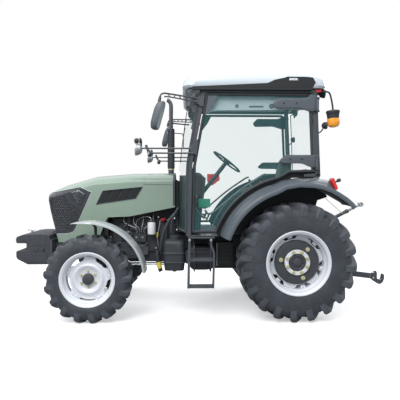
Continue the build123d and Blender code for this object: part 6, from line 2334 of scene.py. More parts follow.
        def on(share: float) -> Point:
            """Place at a distance along the link."""
            return tuple(p + (q - p) * share / length for p, q in zip(a, b))

        form = Form(STEEL)
        for start, end in ((0.02, 0.21), (0.52, length - 0.02)):
            form.rod(on(start), on(end), 0.0145)
        for start, end in ((0.10, 0.20), (0.53, 0.62)):
            for k in range(int((end - start) / 0.006)):
                s = start + 0.006 * k
                form.turned(on(s), on(s + 0.006), [(0, 0.0145), (0.003, 0.0162), (0.006, 0.0145)], 14)
        for place in (a, b):
            x, _, z = place
            ring = [(-0.0255, 0.0135), (-0.0255, 0.024), (-0.02, 0.0295), (0.02, 0.0295), (0.0255, 0.024),
                    (0.0255, 0.0135)]
            form.lathe((x, 0.0, z), ring, 40)
        form.make("top_link_ends", "top_link", bevel=0.0, replaces=["top_link"])
        body = Form(BLACK_WITH_PAINTED_SHEEN)
        body.turned(on(0.20), on(0.53),
                    [(0, 0.019), (0.005, 0.0235), (0.035, 0.0235), (0.04, 0.0205), (0.29, 0.0205),
                                         (0.295, 0.0245), (0.325, 0.0245), (0.33, 0.019)], 32)
        mid = on(0.315)
        body.rod((mid[0], -0.024, mid[2]), (mid[0], 0.024, mid[2]), 0.008)
        body.make("top_link_body", "top_link", bevel=0.0008)
        stay = Form(ZINC)
        low = on(0.445)
        stay.rod((-0.25, 0.034, 1.475), (low[0], 0.034, low[2]), 0.0034, 8)
        stay.make("top_link_stay", "chassis")

    def rear(self) -> None:
        """Top-link bracket, drawbar, power take-off and hydraulic couplers."""
        form = Form(BLACK_WITH_PAINTED_SHEEN)
        form.prism([(-0.24, 0.74), (-0.262, 0.74), (-0.262, 0.91), (-0.24, 0.91)], -0.11, 0.11)
        for _ in form.both():
            form.prism([(-0.262, 0.792), (-0.262, 0.898), (-0.300, 0.898), (-0.345, 0.883), (-0.359, 0.86),
                        (-0.359, 0.837), (-0.34, 0.815)], 0.0265, 0.0458)
            for z in (0.76, 0.89):
                form.use(ZINC).bolt((-0.262, 0.085, z), (-1, 0, 0), 0.011, 0.010).use(BLACK_WITH_PAINTED_SHEEN)
            form.turned((-0.12, 0.1702, 0.49), (-0.12, 0.3665, 0.49),
                        [(0, 0.034), (0.02, 0.034), (0.03, 0.0255), (0.196, 0.0255)], 28)
        form.prism([(-0.12, 0.395), (-0.12, 0.4295), (-0.72, 0.4295), (-0.72, 0.395)], -0.0375, 0.0375)
        ring, hole = [], []
        for k in range(32):
            t = 2 * math.pi * k / 32
            c, s = math.cos(t), math.sin(t)
            x = max(-0.80, min(-0.72, -0.75 + 0.05 * c / max(abs(c), abs(s))))
            y = max(-0.0375, min(0.0375, 0.05 * s / max(abs(c), abs(s))))
            ring.append((x, y))
            hole.append((-0.75 + 0.0162 * c, 0.0162 * s))
        form.loft([[form.at(x, y, z) for x, y in line] for line, z in (
            (hole, 0.395), (ring, 0.395), (ring, 0.4295), (hole, 0.4295))], ends=False, loop=True)
        form.make("hitch_and_drawbar", "chassis", bevel=0.003, replaces=["hitch_frame"])
        shaft = Form(STEEL)
        rings = []
        for x in (-0.24, -0.246, -0.322, -0.33):
            rings.append([shaft.at(x, r * math.cos(t), 0.6 + r * math.sin(t)) for t, r in (
                (2 * math.pi * k / 48, (0.0174 if k % 8 < 4 else 0.0145) * (1 if -0.326 < x else 0.92))
                for k in range(48))])
        shaft.loft(rings)
        shaft.turned((-0.24, 0, 0.6), (-0.244, 0, 0.6), [(0, 0.06), (0.004, 0.058)], 40)
        for t in turns(6):
            shaft.use(ZINC).bolt((-0.2425, 0.047 * math.cos(t), 0.6 + 0.047 * math.sin(t)), (-1, 0, 0),
                                 0.006, 0.006)
        shaft.make("power_take_off_shaft", "chassis", bevel=0.0005)
        block = Form(ENGINE)
        block.block((-0.262, -0.215), (0.118, 0.168), (0.60, 0.74))
        for z, lens in ((0.63, RED), (0.67, BLACK_WITH_PAINTED_SHEEN), (0.71, RED)):
            block.use(STEEL).turned((-0.262, 0.143, z), (-0.285, 0.143, z),
                                    [(0, 0.015), (0.02, 0.015), (0.023, 0.012)], 20)
            block.use(lens).turned((-0.285, 0.143, z), (-0.295, 0.143, z),
                                   [(0, 0.017), (0.008, 0.017), (0.01, 0.014)], 20)
        block.make("hydraulic_couplers", "chassis", bevel=0.002)

    def build(self) -> None:
        """Make the whole linkage."""
        for side in SIDES:
            self.lower_link(side)
            self.lift_rod(side)
        self.arms()
        self.top_link()
        self.rear()


# ---------------------------------------------------------------- axles and drive line
@dataclass
class Underside:
    """Gearbox, rear axle trumpets, front axle, knuckles and tie rod.

    Args:
        front: Station of the front axle.
        rear_height: Height of the rear axle.
        front_height: Height of the front axle.
    """

    front: float = 2.11
    rear_height: float = 0.60544
    front_height: float = 0.44501

    def transmission(self) -> None:
        """Gearbox and rear case with flanges, ribs and bolts."""
        form = Form(ENGINE)
        form.cross(self.chamfered(0.15, 0.43, 0.85, 0.03), 0.24, 0.90)
        form.cross(self.chamfered(0.15, 0.50, 0.85, 0.03), 0.90, 1.248)
        form.cross(self.chamfered(0.15, 0.50, 0.988, 0.05), 1.248, 1.338)
        form.prism([(0.24, 0.44), (0.24, 0.85), (-0.06, 1.0), (-0.19, 1.0), (-0.24, 0.9), (-0.24, 0.52),
                    (-0.12, 0.43)],
                   -0.17, 0.17)
        for x in (0.247, 0.9, 1.245):
            form.cross(self.chamfered(0.1495, 0.502 if x > 0.5 else 0.432, 0.849, 0.02), x - 0.011,
                       x + 0.011)
        for _ in form.both():
            for x in (0.42, 0.58, 0.74):
                form.prism([(x, 0.46), (x + 0.012, 0.46), (x + 0.012, 0.82), (x, 0.82)], 0.14, 0.1498)
            for x0 in (0.27, 0.88, 1.225):
                for k in range(6):
                    form.bolt((x0, 0.15, (0.53 if x0 > 0.5 else 0.46) + 0.065 * k), (0, 1, 0), 0.009, 0.008)
            form.turned((1.08, 0.15, 0.62), (1.08, 0.162, 0.62), [(0, 0.06), (0.008, 0.06), (0.012, 0.055)],
                        32)
        form.make("gearbox_castings", "chassis", bevel=0.006, replaces=["gearbox"])
        form = Form(ENGINE)
        for _ in form.both():
            z = self.rear_height
            form.turned((0, 0.17, z), (0, 0.5815, z), [
                (0, 0.116), (0.014, 0.116), (0.018, 0.108), (0.12, 0.100), (0.16, 0.084), (0.37, 0.080),
                (0.382, 0.10), (0.386, 0.113), (0.4115, 0.113)], 48)
            for t in turns(12):
                form.bolt((0.106 * math.cos(t), 0.184, z + 0.106 * math.sin(t)), (0, 1, 0), 0.008, 0.007)
            form.prism([(-0.035, z + 0.07), (0.045, z + 0.07), (0.045, 1.112), (-0.035, 1.112)], 0.242,
                       0.288)
            form.prism([(-0.033, 1.085), (0.043, 1.085), (0.043, 1.113), (-0.033, 1.113)], 0.225, 0.289)
        form.make("rear_axle_trumpets", "chassis", bevel=0.003, replaces=["rear_axle"])

    @staticmethod
    def chamfered(half: float, low: float, high: float, cut: float) -> Outline:
        """Section (across, height) of a case with cut corners."""
        return [(-half, low + cut), (-half + cut, low), (half - cut, low), (half, low + cut),
                (half, high - cut), (half - cut, high), (-half + cut, high), (-half, high - cut)]

    def front_axle(self) -> None:
        """Cast beam with a round differential, kingpin housings and prop shaft."""
        form = Form(ENGINE)
        x, z = self.front, self.front_height + 0.078
        for _ in form.both():
            form.turned((x, 0.08, z - 0.02), (x, 0.485, z), [
                (0, 0.07), (0.03, 0.062), (0.06, 0.05), (0.30, 0.044), (0.36, 0.048), (0.405, 0.05)], 36)
            form.turned((x, 0.52, self.front_height + 0.019), (x, 0.52, self.front_height + 0.157), [
                (0, 0.05), (0.006, 0.0545), (0.132, 0.0545), (0.138, 0.05)], 40)
            for k in range(8):
                t = 2 * math.pi * k / 8
                form.bolt((x + 0.042 * math.cos(t), 0.52 + 0.042 * math.sin(t), self.front_height + 0.1572),
                          (0, 0, 1), 0.005, 0.0001)
            form.prism([(x - 0.03, z + 0.03), (x + 0.03, z + 0.03), (x + 0.02, z + 0.052),
                        (x - 0.02, z + 0.052)], 0.10, 0.40)
        form.turned((x, -0.11, z - 0.02), (x, 0.11, z - 0.02), [
            (0, 0.07), (0.012, 0.082), (0.06, 0.0865), (0.16, 0.0865), (0.208, 0.082), (0.22, 0.07)], 48)
        form.prism([(x - 0.148, z + 0.04), (x - 0.095, z + 0.0915), (x + 0.095, z + 0.0915),
                    (x + 0.148, z + 0.04), (x + 0.06, z - 0.04), (x - 0.06, z - 0.04)], -0.059, 0.059)
        form.make("front_axle_beam", "chassis", bevel=0.004, replaces=["front_axle"])
        shaft = Form(STEEL)
        shaft.rod((x - 0.08, -0.06, 0.477), (0.90, -0.06, 0.477), 0.0185)
        shaft.use(IRON)
        for spot in (x - 0.13, 0.96):
            shaft.turned((spot + 0.03, -0.06, 0.477), (spot - 0.03, -0.06, 0.477),
                         [(0, 0.018), (0.01, 0.0235), (0.05, 0.0235), (0.06, 0.018)], 24)
        shaft.make("front_drive_shaft", "chassis")

    def knuckle(self, side: int) -> None:
        """Round knuckle with its hub case, steering arm and fender stay."""
        name = side_name(side)
        form = Form(ENGINE, side)
        x, z = self.front, self.front_height
        form.turned((x, 0.52, z - 0.061), (x, 0.52, z + 0.0175),
                    [(0, 0.05), (0.01, 0.062), (0.07, 0.062), (0.0785, 0.058)], 40)
        form.block((x - 0.05, x + 0.05), (0.53, 0.583), (z - 0.06, z + 0.01))
        form.turned((x, 0.5832, z), (x, 0.6018, z),
                    [(0, 0.086), (0.004, 0.0905), (0.0145, 0.0905), (0.0186, 0.088)], 48)
        form.prism([(x - 0.049, z), (x + 0.049, z), (x + 0.039, z + 0.183), (x - 0.039, z + 0.183)], 0.5834,
                   0.6018)
        form.prism([(x - 0.039, z + 0.1585), (x + 0.039, z + 0.1585), (x + 0.039, z + 0.1838),
                    (x - 0.039, z + 0.1838)], 0.463, 0.6018)
        form.turned((x, 0.52, z + 0.1584), (x, 0.52, z + 0.1838),
                    [(0, 0.052), (0.02, 0.052), (0.0254, 0.046)], 40)
        form.prism([(x - 0.184, 0.394), (x - 0.18, 0.4155), (x - 0.01, 0.4155), (x - 0.01, 0.394)], 0.50,
                   0.54)
        for t in turns(6, 0.3):
            form.bolt((x + 0.04 * math.cos(t), 0.52 + 0.04 * math.sin(t), z + 0.1838), (0, 0, 1), 0.006,
                      0.005)
        form.make(f"knuckle_{name}_casting", f"steer_knuckle_{name}", bevel=0.004,
                  replaces=[f"knuckle_{name}"])
        stay = Form(BLACK_WITH_PAINTED_SHEEN, side)
        top = z + 0.51
        stay.tube([(x - 0.04, 0.548, z + 0.17), (x - 0.04, 0.548, z + 0.30), (x - 0.04, 0.549, top - 0.06),
                   (x - 0.04, 0.565, top - 0.006), (x - 0.04, 0.62, top + 0.024),
                   (x - 0.04, 0.68, top + 0.043)], 0.0135, 16, 6)
        stay.prism([(x - 0.1, z + 0.5695), (x - 0.1, z + 0.556), (x + 0.015, z + 0.556),
                    (x + 0.015, z + 0.5745), (x - 0.043, z + 0.5735)], 0.64, 0.72)
        stay.make(f"fender_stay_{name}", f"steer_knuckle_{name}", bevel=0.0015)

    def tie_rod(self) -> None:
        """Tie rod with threaded ends and ball joints."""
        form = Form(STEEL)
        x, z = self.front - 0.16, 0.4323
        form.rod((x, -0.515, z), (x, 0.515, z), 0.0135)
        for _ in form.both():
            form.use(BLACK_WITH_PAINTED_SHEEN).turned((x, 0.38, z), (x, 0.48, z),
                                   [(0, 0.0142), (0.005, 0.0148), (0.095, 0.0148), (0.1, 0.0142)], 24)
            form.use(RUBBER).turned((x, 0.52, 0.4166), (x, 0.52, 0.4245),
                                    [(0, 0.014), (0.004, 0.019), (0.0079, 0.016)], 24)
            form.use(STEEL).turned((x, 0.52, 0.4245), (x, 0.52, 0.4498),
                                   [(0, 0.018), (0.004, 0.0222), (0.02, 0.0222), (0.0253, 0.016)], 28)
        form.make("tie_rod_bar", "tie_rod", bevel=0.0, replaces=["tie_rod"])

    def build(self) -> None:
        """Make the whole underside."""
        self.transmission()
        self.front_axle()
        for side in SIDES:
            self.knuckle(side)
        self.tie_rod()


# ---------------------------------------------------------------- inside the cab
@dataclass
class Interior:
    """Dashboard, steering wheel, pedals, levers and console.

    Args:
        hub: Middle of the steering wheel.
        rake: Slope of the steering column in degrees.
        rim: Radius of the steering wheel at the middle of its rim.
    """

    hub: tuple[float, float, float] = (0.65, 0.0, 1.666)
    rake: float = 52.0
    rim: float = 0.185
    PLATE: ClassVar[Finish] = Moulding("plate_green", (0.05, 0.45, 0.25), "black_plastic", 0.45)

    def along(self, distance: float, across: float = 0.0, lift: float = 0.0) -> Point:
        """Place down the steering column, across it and along its face."""
        c, s = math.cos(math.radians(self.rake)), math.sin(math.radians(self.rake))
        return (self.hub[0] + distance * c + lift * s, across, self.hub[2] - distance * s + lift * c)

    def wheel(self) -> None:
        """Padded rim, three dished spokes and a centre pad."""
        form = Form(PLASTIC)
        rings = []
        for t in turns(64):
            ring = []
            for u in turns(14):
                r = self.rim + 0.0125 * math.cos(u)
                ring.append(form.at(*self.along(0.0105 * math.sin(u), r * math.cos(t), r * math.sin(t))))
            rings.append(ring)
        form.loft(rings, ends=False, loop=True)
        for k in range(3):
            t = math.radians(90 + 120 * k)
            rings = []
            for r, w, d in ((0.03, 0.032, -0.006), (0.07, 0.022, 0.002), (0.12, 0.017, 0.003),
                            (0.178, 0.022, 0.0)):
                ring = []
                for s, h in ((-1, -0.004), (1, -0.004), (0.8, 0.004), (-0.8, 0.004)):
                    y = r * math.cos(t) - s * w / 2 * math.sin(t)
                    up = r * math.sin(t) + s * w / 2 * math.cos(t)
                    ring.append(form.at(*self.along(d + h, y, up)))
                rings.append(ring)
            form.loft(rings)
        form.turned(self.along(0.019), self.along(-0.014),
                    [(0, 0.03), (0.006, 0.038), (0.022, 0.039), (0.03, 0.034), (0.033, 0.02)], 40)
        form.make("steering_wheel_rim", "steering_wheel", angle=50, replaces=["steering_wheel"])

    def dash(self) -> None:
        """Dashboard with its cluster, column shroud, stalks and pedals."""
        form = Form(PLASTIC)
        outline = [(1.10, 0.873), (1.10, 1.478), (1.05, 1.508), (1.0, 1.536), (0.965, 1.528), (0.903, 1.47),
                   (0.915, 1.33), (0.932, 1.2), (0.958, 0.98), (0.962, 0.873)]
        slim = [(x + (1.06 - x) * 0.12, z) for x, z in outline]
        form.loft([[form.at(x, y, z) for x, z in line] for line, y in (
            (slim, -0.169), (outline, -0.15), (outline, 0.15), (slim, 0.169))])
        for _ in form.both():
            form.block((1.0, 1.06), (0.169, 0.1698), (1.02, 1.2))
        form.turned(self.along(0.47), self.along(0.0205), [
            (0, 0.024), (0.1, 0.024), (0.2, 0.0245), (0.28, 0.0245), (0.4, 0.0245), (0.4495, 0.022)], 32)
        form.make("dash_housing", "chassis", bevel=0.006, replaces=["dashboard"])
        face = Form(GLOSSY)
        face.prism([(0.925, 1.488), (0.968, 1.527), (0.972, 1.523), (0.929, 1.484)], -0.11, 0.11)
        for y in (-0.055, 0.055):
            face.use(SILVER).turned((0.9465, y, 1.5085), (0.9435, y, 1.5115), [(0, 0.026), (0.0042, 0.025)],
                                    28)
        face.make("dash_cluster", "chassis")
        stalk = Form(PLASTIC)
        for _ in stalk.both():
            stalk.tube([self.along(0.09, 0.02), self.along(0.08, 0.08), self.along(0.06, 0.13)], 0.0065, 10,
                       5)
            stalk.rod(self.along(0.06, 0.125), self.along(0.055, 0.148), 0.009)
        stalk.make("column_stalks", "chassis")
        box = Form(RED)
        box.prism([(0.71, 1.536), (0.862, 1.536), (0.862, 1.44), (0.80, 1.385), (0.70, 1.46)], -0.432,
                    -0.40)
        box.make("red_tool_box", "chassis", bevel=0.006)
        plate = Form(self.PLATE)
        plate.block((0.853, 1.005), (0.1699, 0.1735), (1.138, 1.236))
        plate.make("blank_green_plate", "chassis")
        pedal = Form(RUBBER)
        for y, z in ((0.30, 1.03), (-0.22, 1.03), (-0.31, 1.03), (-0.39, 1.0)):
            pedal.prism([(0.865, z + 0.035), (0.90, z - 0.04), (0.912, z - 0.034), (0.877, z + 0.041)],
                        y - 0.036, y + 0.036)
            pedal.use(BLACK_WITH_PAINTED_SHEEN).tube([(0.90, y, z), (0.955, y, z + 0.01), (1.02, y, z + 0.1),
                                   (1.095, y, z + 0.14)], 0.008, 10, 6)
            pedal.use(RUBBER)
        pedal.make("pedals", "chassis", bevel=0.002)

    def console(self) -> None:
        """Seat suspension, side console, levers and hand brake."""
        form = Form(PLASTIC)
        for k in range(7):
            z = 1.152 + 0.0118 * k
            inset = 0.004 if k % 2 else 0.0
            form.loft([rounded_box(form, (0.06 + inset, 0.38 - inset), (-0.185 + inset, 0.185 - inset), h,
                                   0.04)
                       for h in (z, z + 0.011)])
        form.loft([rounded_box(form, (0.045, 0.395), (-0.188, 0.188), h, 0.03) for h in (1.128, 1.152)])
        form.block((-0.055, 0.415), (-0.418, -0.252), (1.128, 1.31))
        form.prism([(-0.055, 1.308), (0.415, 1.308), (0.40, 1.328), (-0.04, 1.328)], -0.41, -0.26)
        form.make("seat_suspension_and_console", "chassis", bevel=0.006, replaces=["seat_base"])
        lever = Form(STEEL)
        for x0, x1, y, top, knob in ((0.30, 0.33, -0.33, 1.452, PLASTIC), (0.18, 0.19, -0.33, 1.425, RED),
                                     (0.08, 0.09, -0.33, 1.40, YELLOW)):
            lever.use(STEEL).rod((x0, y, 1.325), (x1, y, top), 0.0065)
            lever.use(RUBBER).turned((x0, y, 1.325), (x0 + 0.003, y, 1.355),
                                     [(0, 0.026), (0.01, 0.02), (0.03, 0.009)], 24)
            lever.use(knob).turned((x1, y, top - 0.02), (x1 + 0.002, y, top + 0.018), [
                (0, 0.008), (0.008, 0.013), (0.026, 0.014), (0.034, 0.010), (0.038, 0.003)], 24)
        lever.make("control_levers", "chassis")
        mat = Form(RUBBER)
        for k in range(26):
            y = -0.42 + 0.0325 * k
            mat.block((0.45, 0.92), (y, y + 0.02), (0.8722, 0.8765))
        mat.make("ribbed_floor_mat", "chassis")

    def build(self) -> None:
        """Make everything inside the cab but the seat."""
        self.wheel()
        self.dash()
        self.console()


@dataclass
class Seat:
    """Driver's seat: cushion and back, blown up as cloth.

    Args:
        pressure: Pressure inside the cloth.
        most: Furthest that a point may move.
        voxel: Size of the remesh's cells.
    """

    pressure: float = 4.0
    most: float = 0.022
    voxel: float = 0.006

    def pad(self, name: str, rings: list[list[Vector]], seams: Sequence[float]) -> None:
        """Padded piece through rings, with sewn channels across it.

        Args:
            name: The piece's name.
            rings: Rings of its slightly smaller shape.
            seams: Distances across at which channels run.
        """
        form = Form(CLOTH)
        form.loft(rings)
        piece = form.make(name, "chassis", replaces=["seat"] if name == "seat_cushion" else ())
        remesh = piece.modifiers.new("even", "REMESH")
        remesh.mode, remesh.voxel_size = "VOXEL", self.voxel * 1.0
        self.settle(piece)
        smoothing = piece.modifiers.new("soft", "SMOOTH")
        smoothing.factor, smoothing.iterations = 0.5, 6
        self.settle(piece)
        self.inflate(piece)
        for vert in piece.data.vertices:
            near = min(abs(vert.co.y - s) for s in seams)
            vert.co -= vert.normal * 0.006 * math.exp(-(near / 0.007) ** 2)
        piece.data.shade_smooth()

    @staticmethod
    def settle(piece: bpy.types.Object) -> None:
        """Apply the modifiers of a piece."""
        graph = bpy.context.evaluated_depsgraph_get()
        data = bpy.data.meshes.new_from_object(piece.evaluated_get(graph))
        piece.modifiers.clear()
        old, piece.data = piece.data, data
        bpy.data.meshes.remove(old)

    def inflate(self, piece: bpy.types.Object) -> None:
        """Blow the piece up with cloth, and cap how far each point moves."""
        before = [v.co.copy() for v in piece.data.vertices]
        cloth = piece.modifiers.new("cloth", "CLOTH")
        cloth.settings.use_pressure = True
        cloth.settings.uniform_pressure_force = self.pressure
        cloth.settings.effector_weights.gravity = 0.0
        scene = bpy.context.scene
        for frame in range(1, 21):
            scene.frame_set(frame)
        self.settle(piece)
        scene.frame_set(1)
        for vert, start in zip(piece.data.vertices, before):
            move = vert.co - start
            if move.length > self.most:
                vert.co = start + move.normalized() * self.most
        even = piece.modifiers.new("even", "SMOOTH")
        even.factor, even.iterations = 0.5, 3
        self.settle(piece)

    def build(self) -> None:
        """Make the cushion and back pads on their shells."""
        form = Form(CLOTH)
        cushion = []
        for z, inset in ((1.262, 0.04), (1.275, 0.02), (1.31, 0.016), (1.33, 0.04)):
            cushion.append(rounded_box(form, (0.03 + inset, 0.43 - inset), (-0.218 + inset, 0.218 - inset),
                                       z, 0.07))
        form.mesh.free()
        self.pad("seat_cushion", cushion, (-0.12, 0.12))
        form = Form(CLOTH)
        back = []
        for z, half, front, rear in ((1.36, 0.15, 0.035, -0.015), (1.42, 0.19, 0.045, -0.03),
                                     (1.55, 0.185, 0.022, -0.045),
                                     (1.66, 0.15, 0.0, -0.055), (1.715, 0.11, -0.012, -0.06)):
            ring = []
            for k in range(24):
                t = 2 * math.pi * k / 24
                c, s = math.cos(t), math.sin(t)
                ring.append(form.at((front + rear) / 2 + (front - rear) / 2 * math.copysign(abs(c) ** 0.7,
                                                                                            c),
                                    half * math.copysign(abs(s) ** 0.5, s), z))
            back.append(ring)
        form.mesh.free()
        self.pad("seat_back", back, (-0.09, 0.09))
        shell = Form(PLASTIC)
        shell.loft([rounded_box(shell, (0.01 + i, 0.44 - i), (-0.228 + i, 0.228 - i), z, 0.08) for z, i in (
            (1.2412, 0.03), (1.246, 0.01), (1.262, 0.0), (1.268, 0.004))])
        shell.loft([[shell.at(x - lean * (z - 1.3), y, z) for y, z in (
            (-0.16, 1.27), (0.16, 1.27), (0.19, 1.42), (0.185, 1.56), (0.12, 1.70), (-0.12, 1.70),
            (-0.185, 1.56), (-0.19, 1.42))] for x, lean in ((-0.02, 0.12), (-0.042, 0.12))])
        shell.make("seat_shell", "chassis", bevel=0.006)


ASSEMBLIES: list[Any] = [
    Nose(), Cab(), Roof(), RearFender(1), RearFender(-1), FrontFender(1), FrontFender(-1),
    FrontWeights(), Engine(), SideTanks(), Exhaust(), Mirrors(1), Mirrors(-1), Lamps(),
    Hitch(), Underside(), Interior(), Seat(),
]


# ---------------------------------------------------------------- frame's own nodes
PAIRED: dict[str, Finish] = {
    "door_frame": PLASTIC, "door_glass": GLASS, "front_fender": GREY, "front_rim": SILVER,
    "front_tyre": RUBBER, "knuckle": ENGINE, "lift_rod": STEEL, "lower_link": BLACK_WITH_PAINTED_SHEEN,
    "rear_fender": FENDER, "rear_hub": IRON, "rear_rim": SILVER, "rear_tyre": RUBBER,
}
DRESS: dict[str, Finish] = {
    "beacon": AMBER, "bonnet": GREEN, "bonnet_vents": PLASTIC, "cab_floor": BLACK_WITH_PAINTED_SHEEN, "cab_frame": BLACK_WITH_PAINTED_SHEEN,
    "dashboard": PLASTIC, "door_hinges": BLACK_WITH_PAINTED_SHEEN, "engine": ENGINE, "engine_fittings": ENGINE,
    "exhaust": BLACK_WITH_PAINTED_SHEEN, "front_axle": ENGINE, "front_frame": BLACK_WITH_PAINTED_SHEEN, "front_weights": IRON,
    "fuel_tank": PLASTIC, "gearbox": ENGINE, "grille": GLOSSY, "hitch_frame": STEEL, "lamps": PLASTIC,
    "lift_arms": BLACK_WITH_PAINTED_SHEEN, "mirrors": PLASTIC, "rear_axle": ENGINE, "rear_window": GLASS, "roof": WHITE,
    "seat": CLOTH, "seat_base": PLASTIC, "steering_wheel": PLASTIC, "steps": BLACK_WITH_PAINTED_SHEEN, "tie_rod": STEEL,
    "top_link": BLACK_WITH_PAINTED_SHEEN, "windscreen": GLASS,
    **{f"{name}_{side_name(side)}": finish for name, finish in PAIRED.items() for side in SIDES},
}


def dress_frame(nodes: dict[str, bpy.types.Object]) -> None:
    """Give every CAD node its finish.

    Args:
        nodes: The frame's nodes by name.
    """
    for name, node in nodes.items():
        node.data.materials.clear()
        node.data.materials.append(DRESS[name].material())
        node.data.shade_smooth()
        node.data.set_sharp_from_angle(angle=math.radians(25))


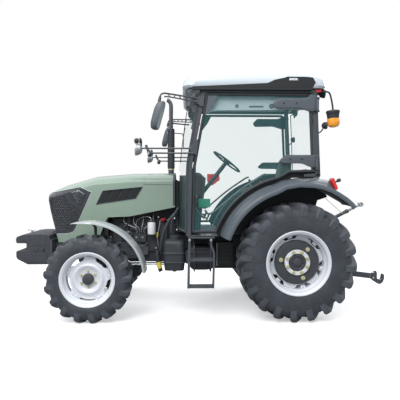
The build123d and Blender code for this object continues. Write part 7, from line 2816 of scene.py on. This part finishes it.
# ---------------------------------------------------------------- studio
@dataclass
class Studio:
    """Pale floor, soft light and the camera.

    Args:
        camera: The camera's station, distance to the left and height.
        focal: Its focal length over the picture's width.
        turn: How far its view leans to the rear, per metre of depth.
        drop: How far its view falls, per metre of depth.
    """

    camera: tuple[float, float, float] = (1.106, 4.95, 1.37)
    focal: float = 1.05
    turn: float = 0.0286
    drop: float = 0.031
    sensor: float = 36.0
    sky: tuple[float, float, float, float] = (0.0, 0.7, 0.46, 1.2)
    floor_size: float = 60.0
    floor_fade: tuple[float, float] = (2.4, 7.5)
    floor_glow: float = 0.4

    def aim(self) -> None:
        """Place the camera."""
        data = bpy.data.cameras.new("camera")
        data.sensor_width, data.lens = self.sensor, self.sensor * self.focal
        data.clip_end = 200.0
        camera = bpy.data.objects.new("camera", data)
        bpy.context.scene.collection.objects.link(camera)
        camera.location = (Form.rear + self.camera[0], self.camera[1], self.camera[2])
        towards = Vector((-self.turn, -1, -self.drop))
        camera.rotation_euler = towards.to_track_quat("-Z", "Y").to_euler()
        bpy.context.scene.camera = camera

    def floor(self) -> None:
        """Pale floor that keeps the tractor's shadow."""
        graph = Graph("pale_floor")
        speck = graph.noise(40, 3)
        graph.put(graph.surface, {
            "Base Color": graph.mix(speck, (0.80, 0.80, 0.80), (0.82, 0.82, 0.82)),
            "Roughness": 0.9, "Emission Color": (1, 1, 1, 1), "Emission Strength": self.floor_glow,
            "Alpha": 1 - graph.place().length().ramp(*self.floor_fade),
        })
        dull = graph.node("ShaderNodeBsdfDiffuse", {}, {"Color": (0.26, 0.27, 0.28, 1)})
        blend = graph.node("ShaderNodeMixShader", {}, {
            0: graph.add("ShaderNodeLightPath", {}, {}, "Is Camera Ray"),
            1: Field(graph, dull.outputs[0]), 2: Field(graph, graph.surface.outputs[0]),
        })
        graph.tree.links.new(blend.outputs[0], graph.output.inputs[0])
        half = self.floor_size / 2
        data = bpy.data.meshes.new("floor")
        data.from_pydata([(-half, -half, 0), (half, -half, 0), (half, half, 0), (-half, half, 0)],
                         [], [(0, 1, 2, 3)])
        data.materials.append(graph.material)
        floor = bpy.data.objects.new("floor", data)
        bpy.context.scene.collection.objects.link(floor)
        floor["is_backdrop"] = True

    def light(self) -> None:
        """White surroundings, and two large soft lamps."""
        world = bpy.data.worlds.new("studio")
        world.use_nodes = True
        tree = world.node_tree
        tree.nodes.clear()
        path = tree.nodes.new("ShaderNodeLightPath")
        seen = tree.nodes.new("ShaderNodeMath")
        seen.operation = "MAXIMUM"
        tree.links.new(path.outputs["Is Camera Ray"], seen.inputs[0])
        tree.links.new(path.outputs["Is Transmission Ray"], seen.inputs[1])
        dome, white = tree.nodes.new("ShaderNodeBackground"), tree.nodes.new("ShaderNodeBackground")
        dome.inputs[0].default_value = (0.93, 0.96, 1.0, 1)
        way = tree.nodes.new("ShaderNodeTexCoord")
        height = tree.nodes.new("ShaderNodeSeparateXYZ")
        rise = tree.nodes.new("ShaderNodeMapRange")
        rise.interpolation_type = "SMOOTHSTEP"
        for socket, value in zip(rise.inputs[1:5], self.sky):
            socket.default_value = value
        tree.links.new(way.outputs["Generated"], height.inputs[0])
        tree.links.new(height.outputs["Z"], rise.inputs[0])
        tree.links.new(rise.outputs[0], dome.inputs[1])
        white.inputs[0].default_value, white.inputs[1].default_value = (1, 1, 1, 1), 1.0
        mix = tree.nodes.new("ShaderNodeMixShader")
        out = tree.nodes.new("ShaderNodeOutputWorld")
        tree.links.new(seen.outputs[0], mix.inputs[0])
        tree.links.new(dome.outputs[0], mix.inputs[1])
        tree.links.new(white.outputs[0], mix.inputs[2])
        tree.links.new(mix.outputs[0], out.inputs[0])
        bpy.context.scene.world = world
        for name, place, size, power in (
            ("key", (2.5, 5.0, 6.5), 5.0, 475.0), ("fill", (-4.0, -4.5, 5.0), 5.0, 150.0),
        ):
            data = bpy.data.lights.new(name, "AREA")
            data.size, data.energy = size, power
            lamp = bpy.data.objects.new(name, data)
            lamp.location = place
            lamp.rotation_euler = (Vector((0, 0, 1)) - Vector(place)).to_track_quat("-Z", "Y").to_euler()
            bpy.context.scene.collection.objects.link(lamp)

    def build(self) -> None:
        """Set the whole studio."""
        self.aim()
        self.floor()
        self.light()
        settings = bpy.context.scene.view_settings
        settings.view_transform = "Standard"


# ---------------------------------------------------------------- the tractor
def joint_place(frame: dict[str, Any], name: str) -> Vector:
    """Where a joint of the frame lies."""
    return next(Vector(j["pos_m"]) for j in frame["joints"] if j["name"] == name)


def corners(points: Iterable[Vector]) -> list[list[float]]:
    """Lowest and highest corner as plain lists."""
    return [[round(float(v), 6) for v in p] for p in points]


def wheels(frame: dict[str, Any]) -> list[Wheel]:
    """The four wheels, at their joints' places."""
    made = []
    for side in SIDES:
        spot = joint_place(frame, f"rear_wheel_{side_name(side)}_spin")
        made.append(Wheel(
            Axle.REAR, side, (0.0, abs(spot.y), spot.z), 0.172, 0.305,
            [(0.146, 0.312), (0.16, 0.33), (0.168, 0.36), (0.172, 0.4), (0.1715, 0.44),
             (0.167, 0.48), (0.158, 0.515), (0.142, 0.54), (0.11, 0.556), (0.06, 0.564), (0.0, 0.567)],
            20, 0.062, 0.038, 0.162,
        ))
        spot = joint_place(frame, f"front_wheel_{side_name(side)}_spin")
        made.append(Wheel(
            Axle.FRONT, side, (spot.x - Form.rear, abs(spot.y), spot.z), 0.105, 0.254,
            [(0.082, 0.262), (0.094, 0.276), (0.102, 0.296), (0.105, 0.32), (0.1045, 0.345),
             (0.101, 0.368), (0.094, 0.388), (0.083, 0.402), (0.062, 0.411), (0.03, 0.416), (0.0, 0.417)],
            17, 0.04, 0.030, 0.096,
        ))
    return made


def main() -> None:
    """Load the frame, dress it and build every sub-assembly around it."""
    logging.basicConfig(level=logging.INFO, format="%(message)s")
    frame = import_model()
    box = corners(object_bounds())
    Form.rear = joint_place(frame, "rear_wheel_left_spin").x
    Studio().build()
    dress_frame(frame["nodes"])
    for part in [*wheels(frame), *ASSEMBLIES]:
        LOG.info("building %s", type(part).__name__)
        part.build()
    {"cad": box, "visual": corners(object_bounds())}


if __name__ == "__main__":
    main()
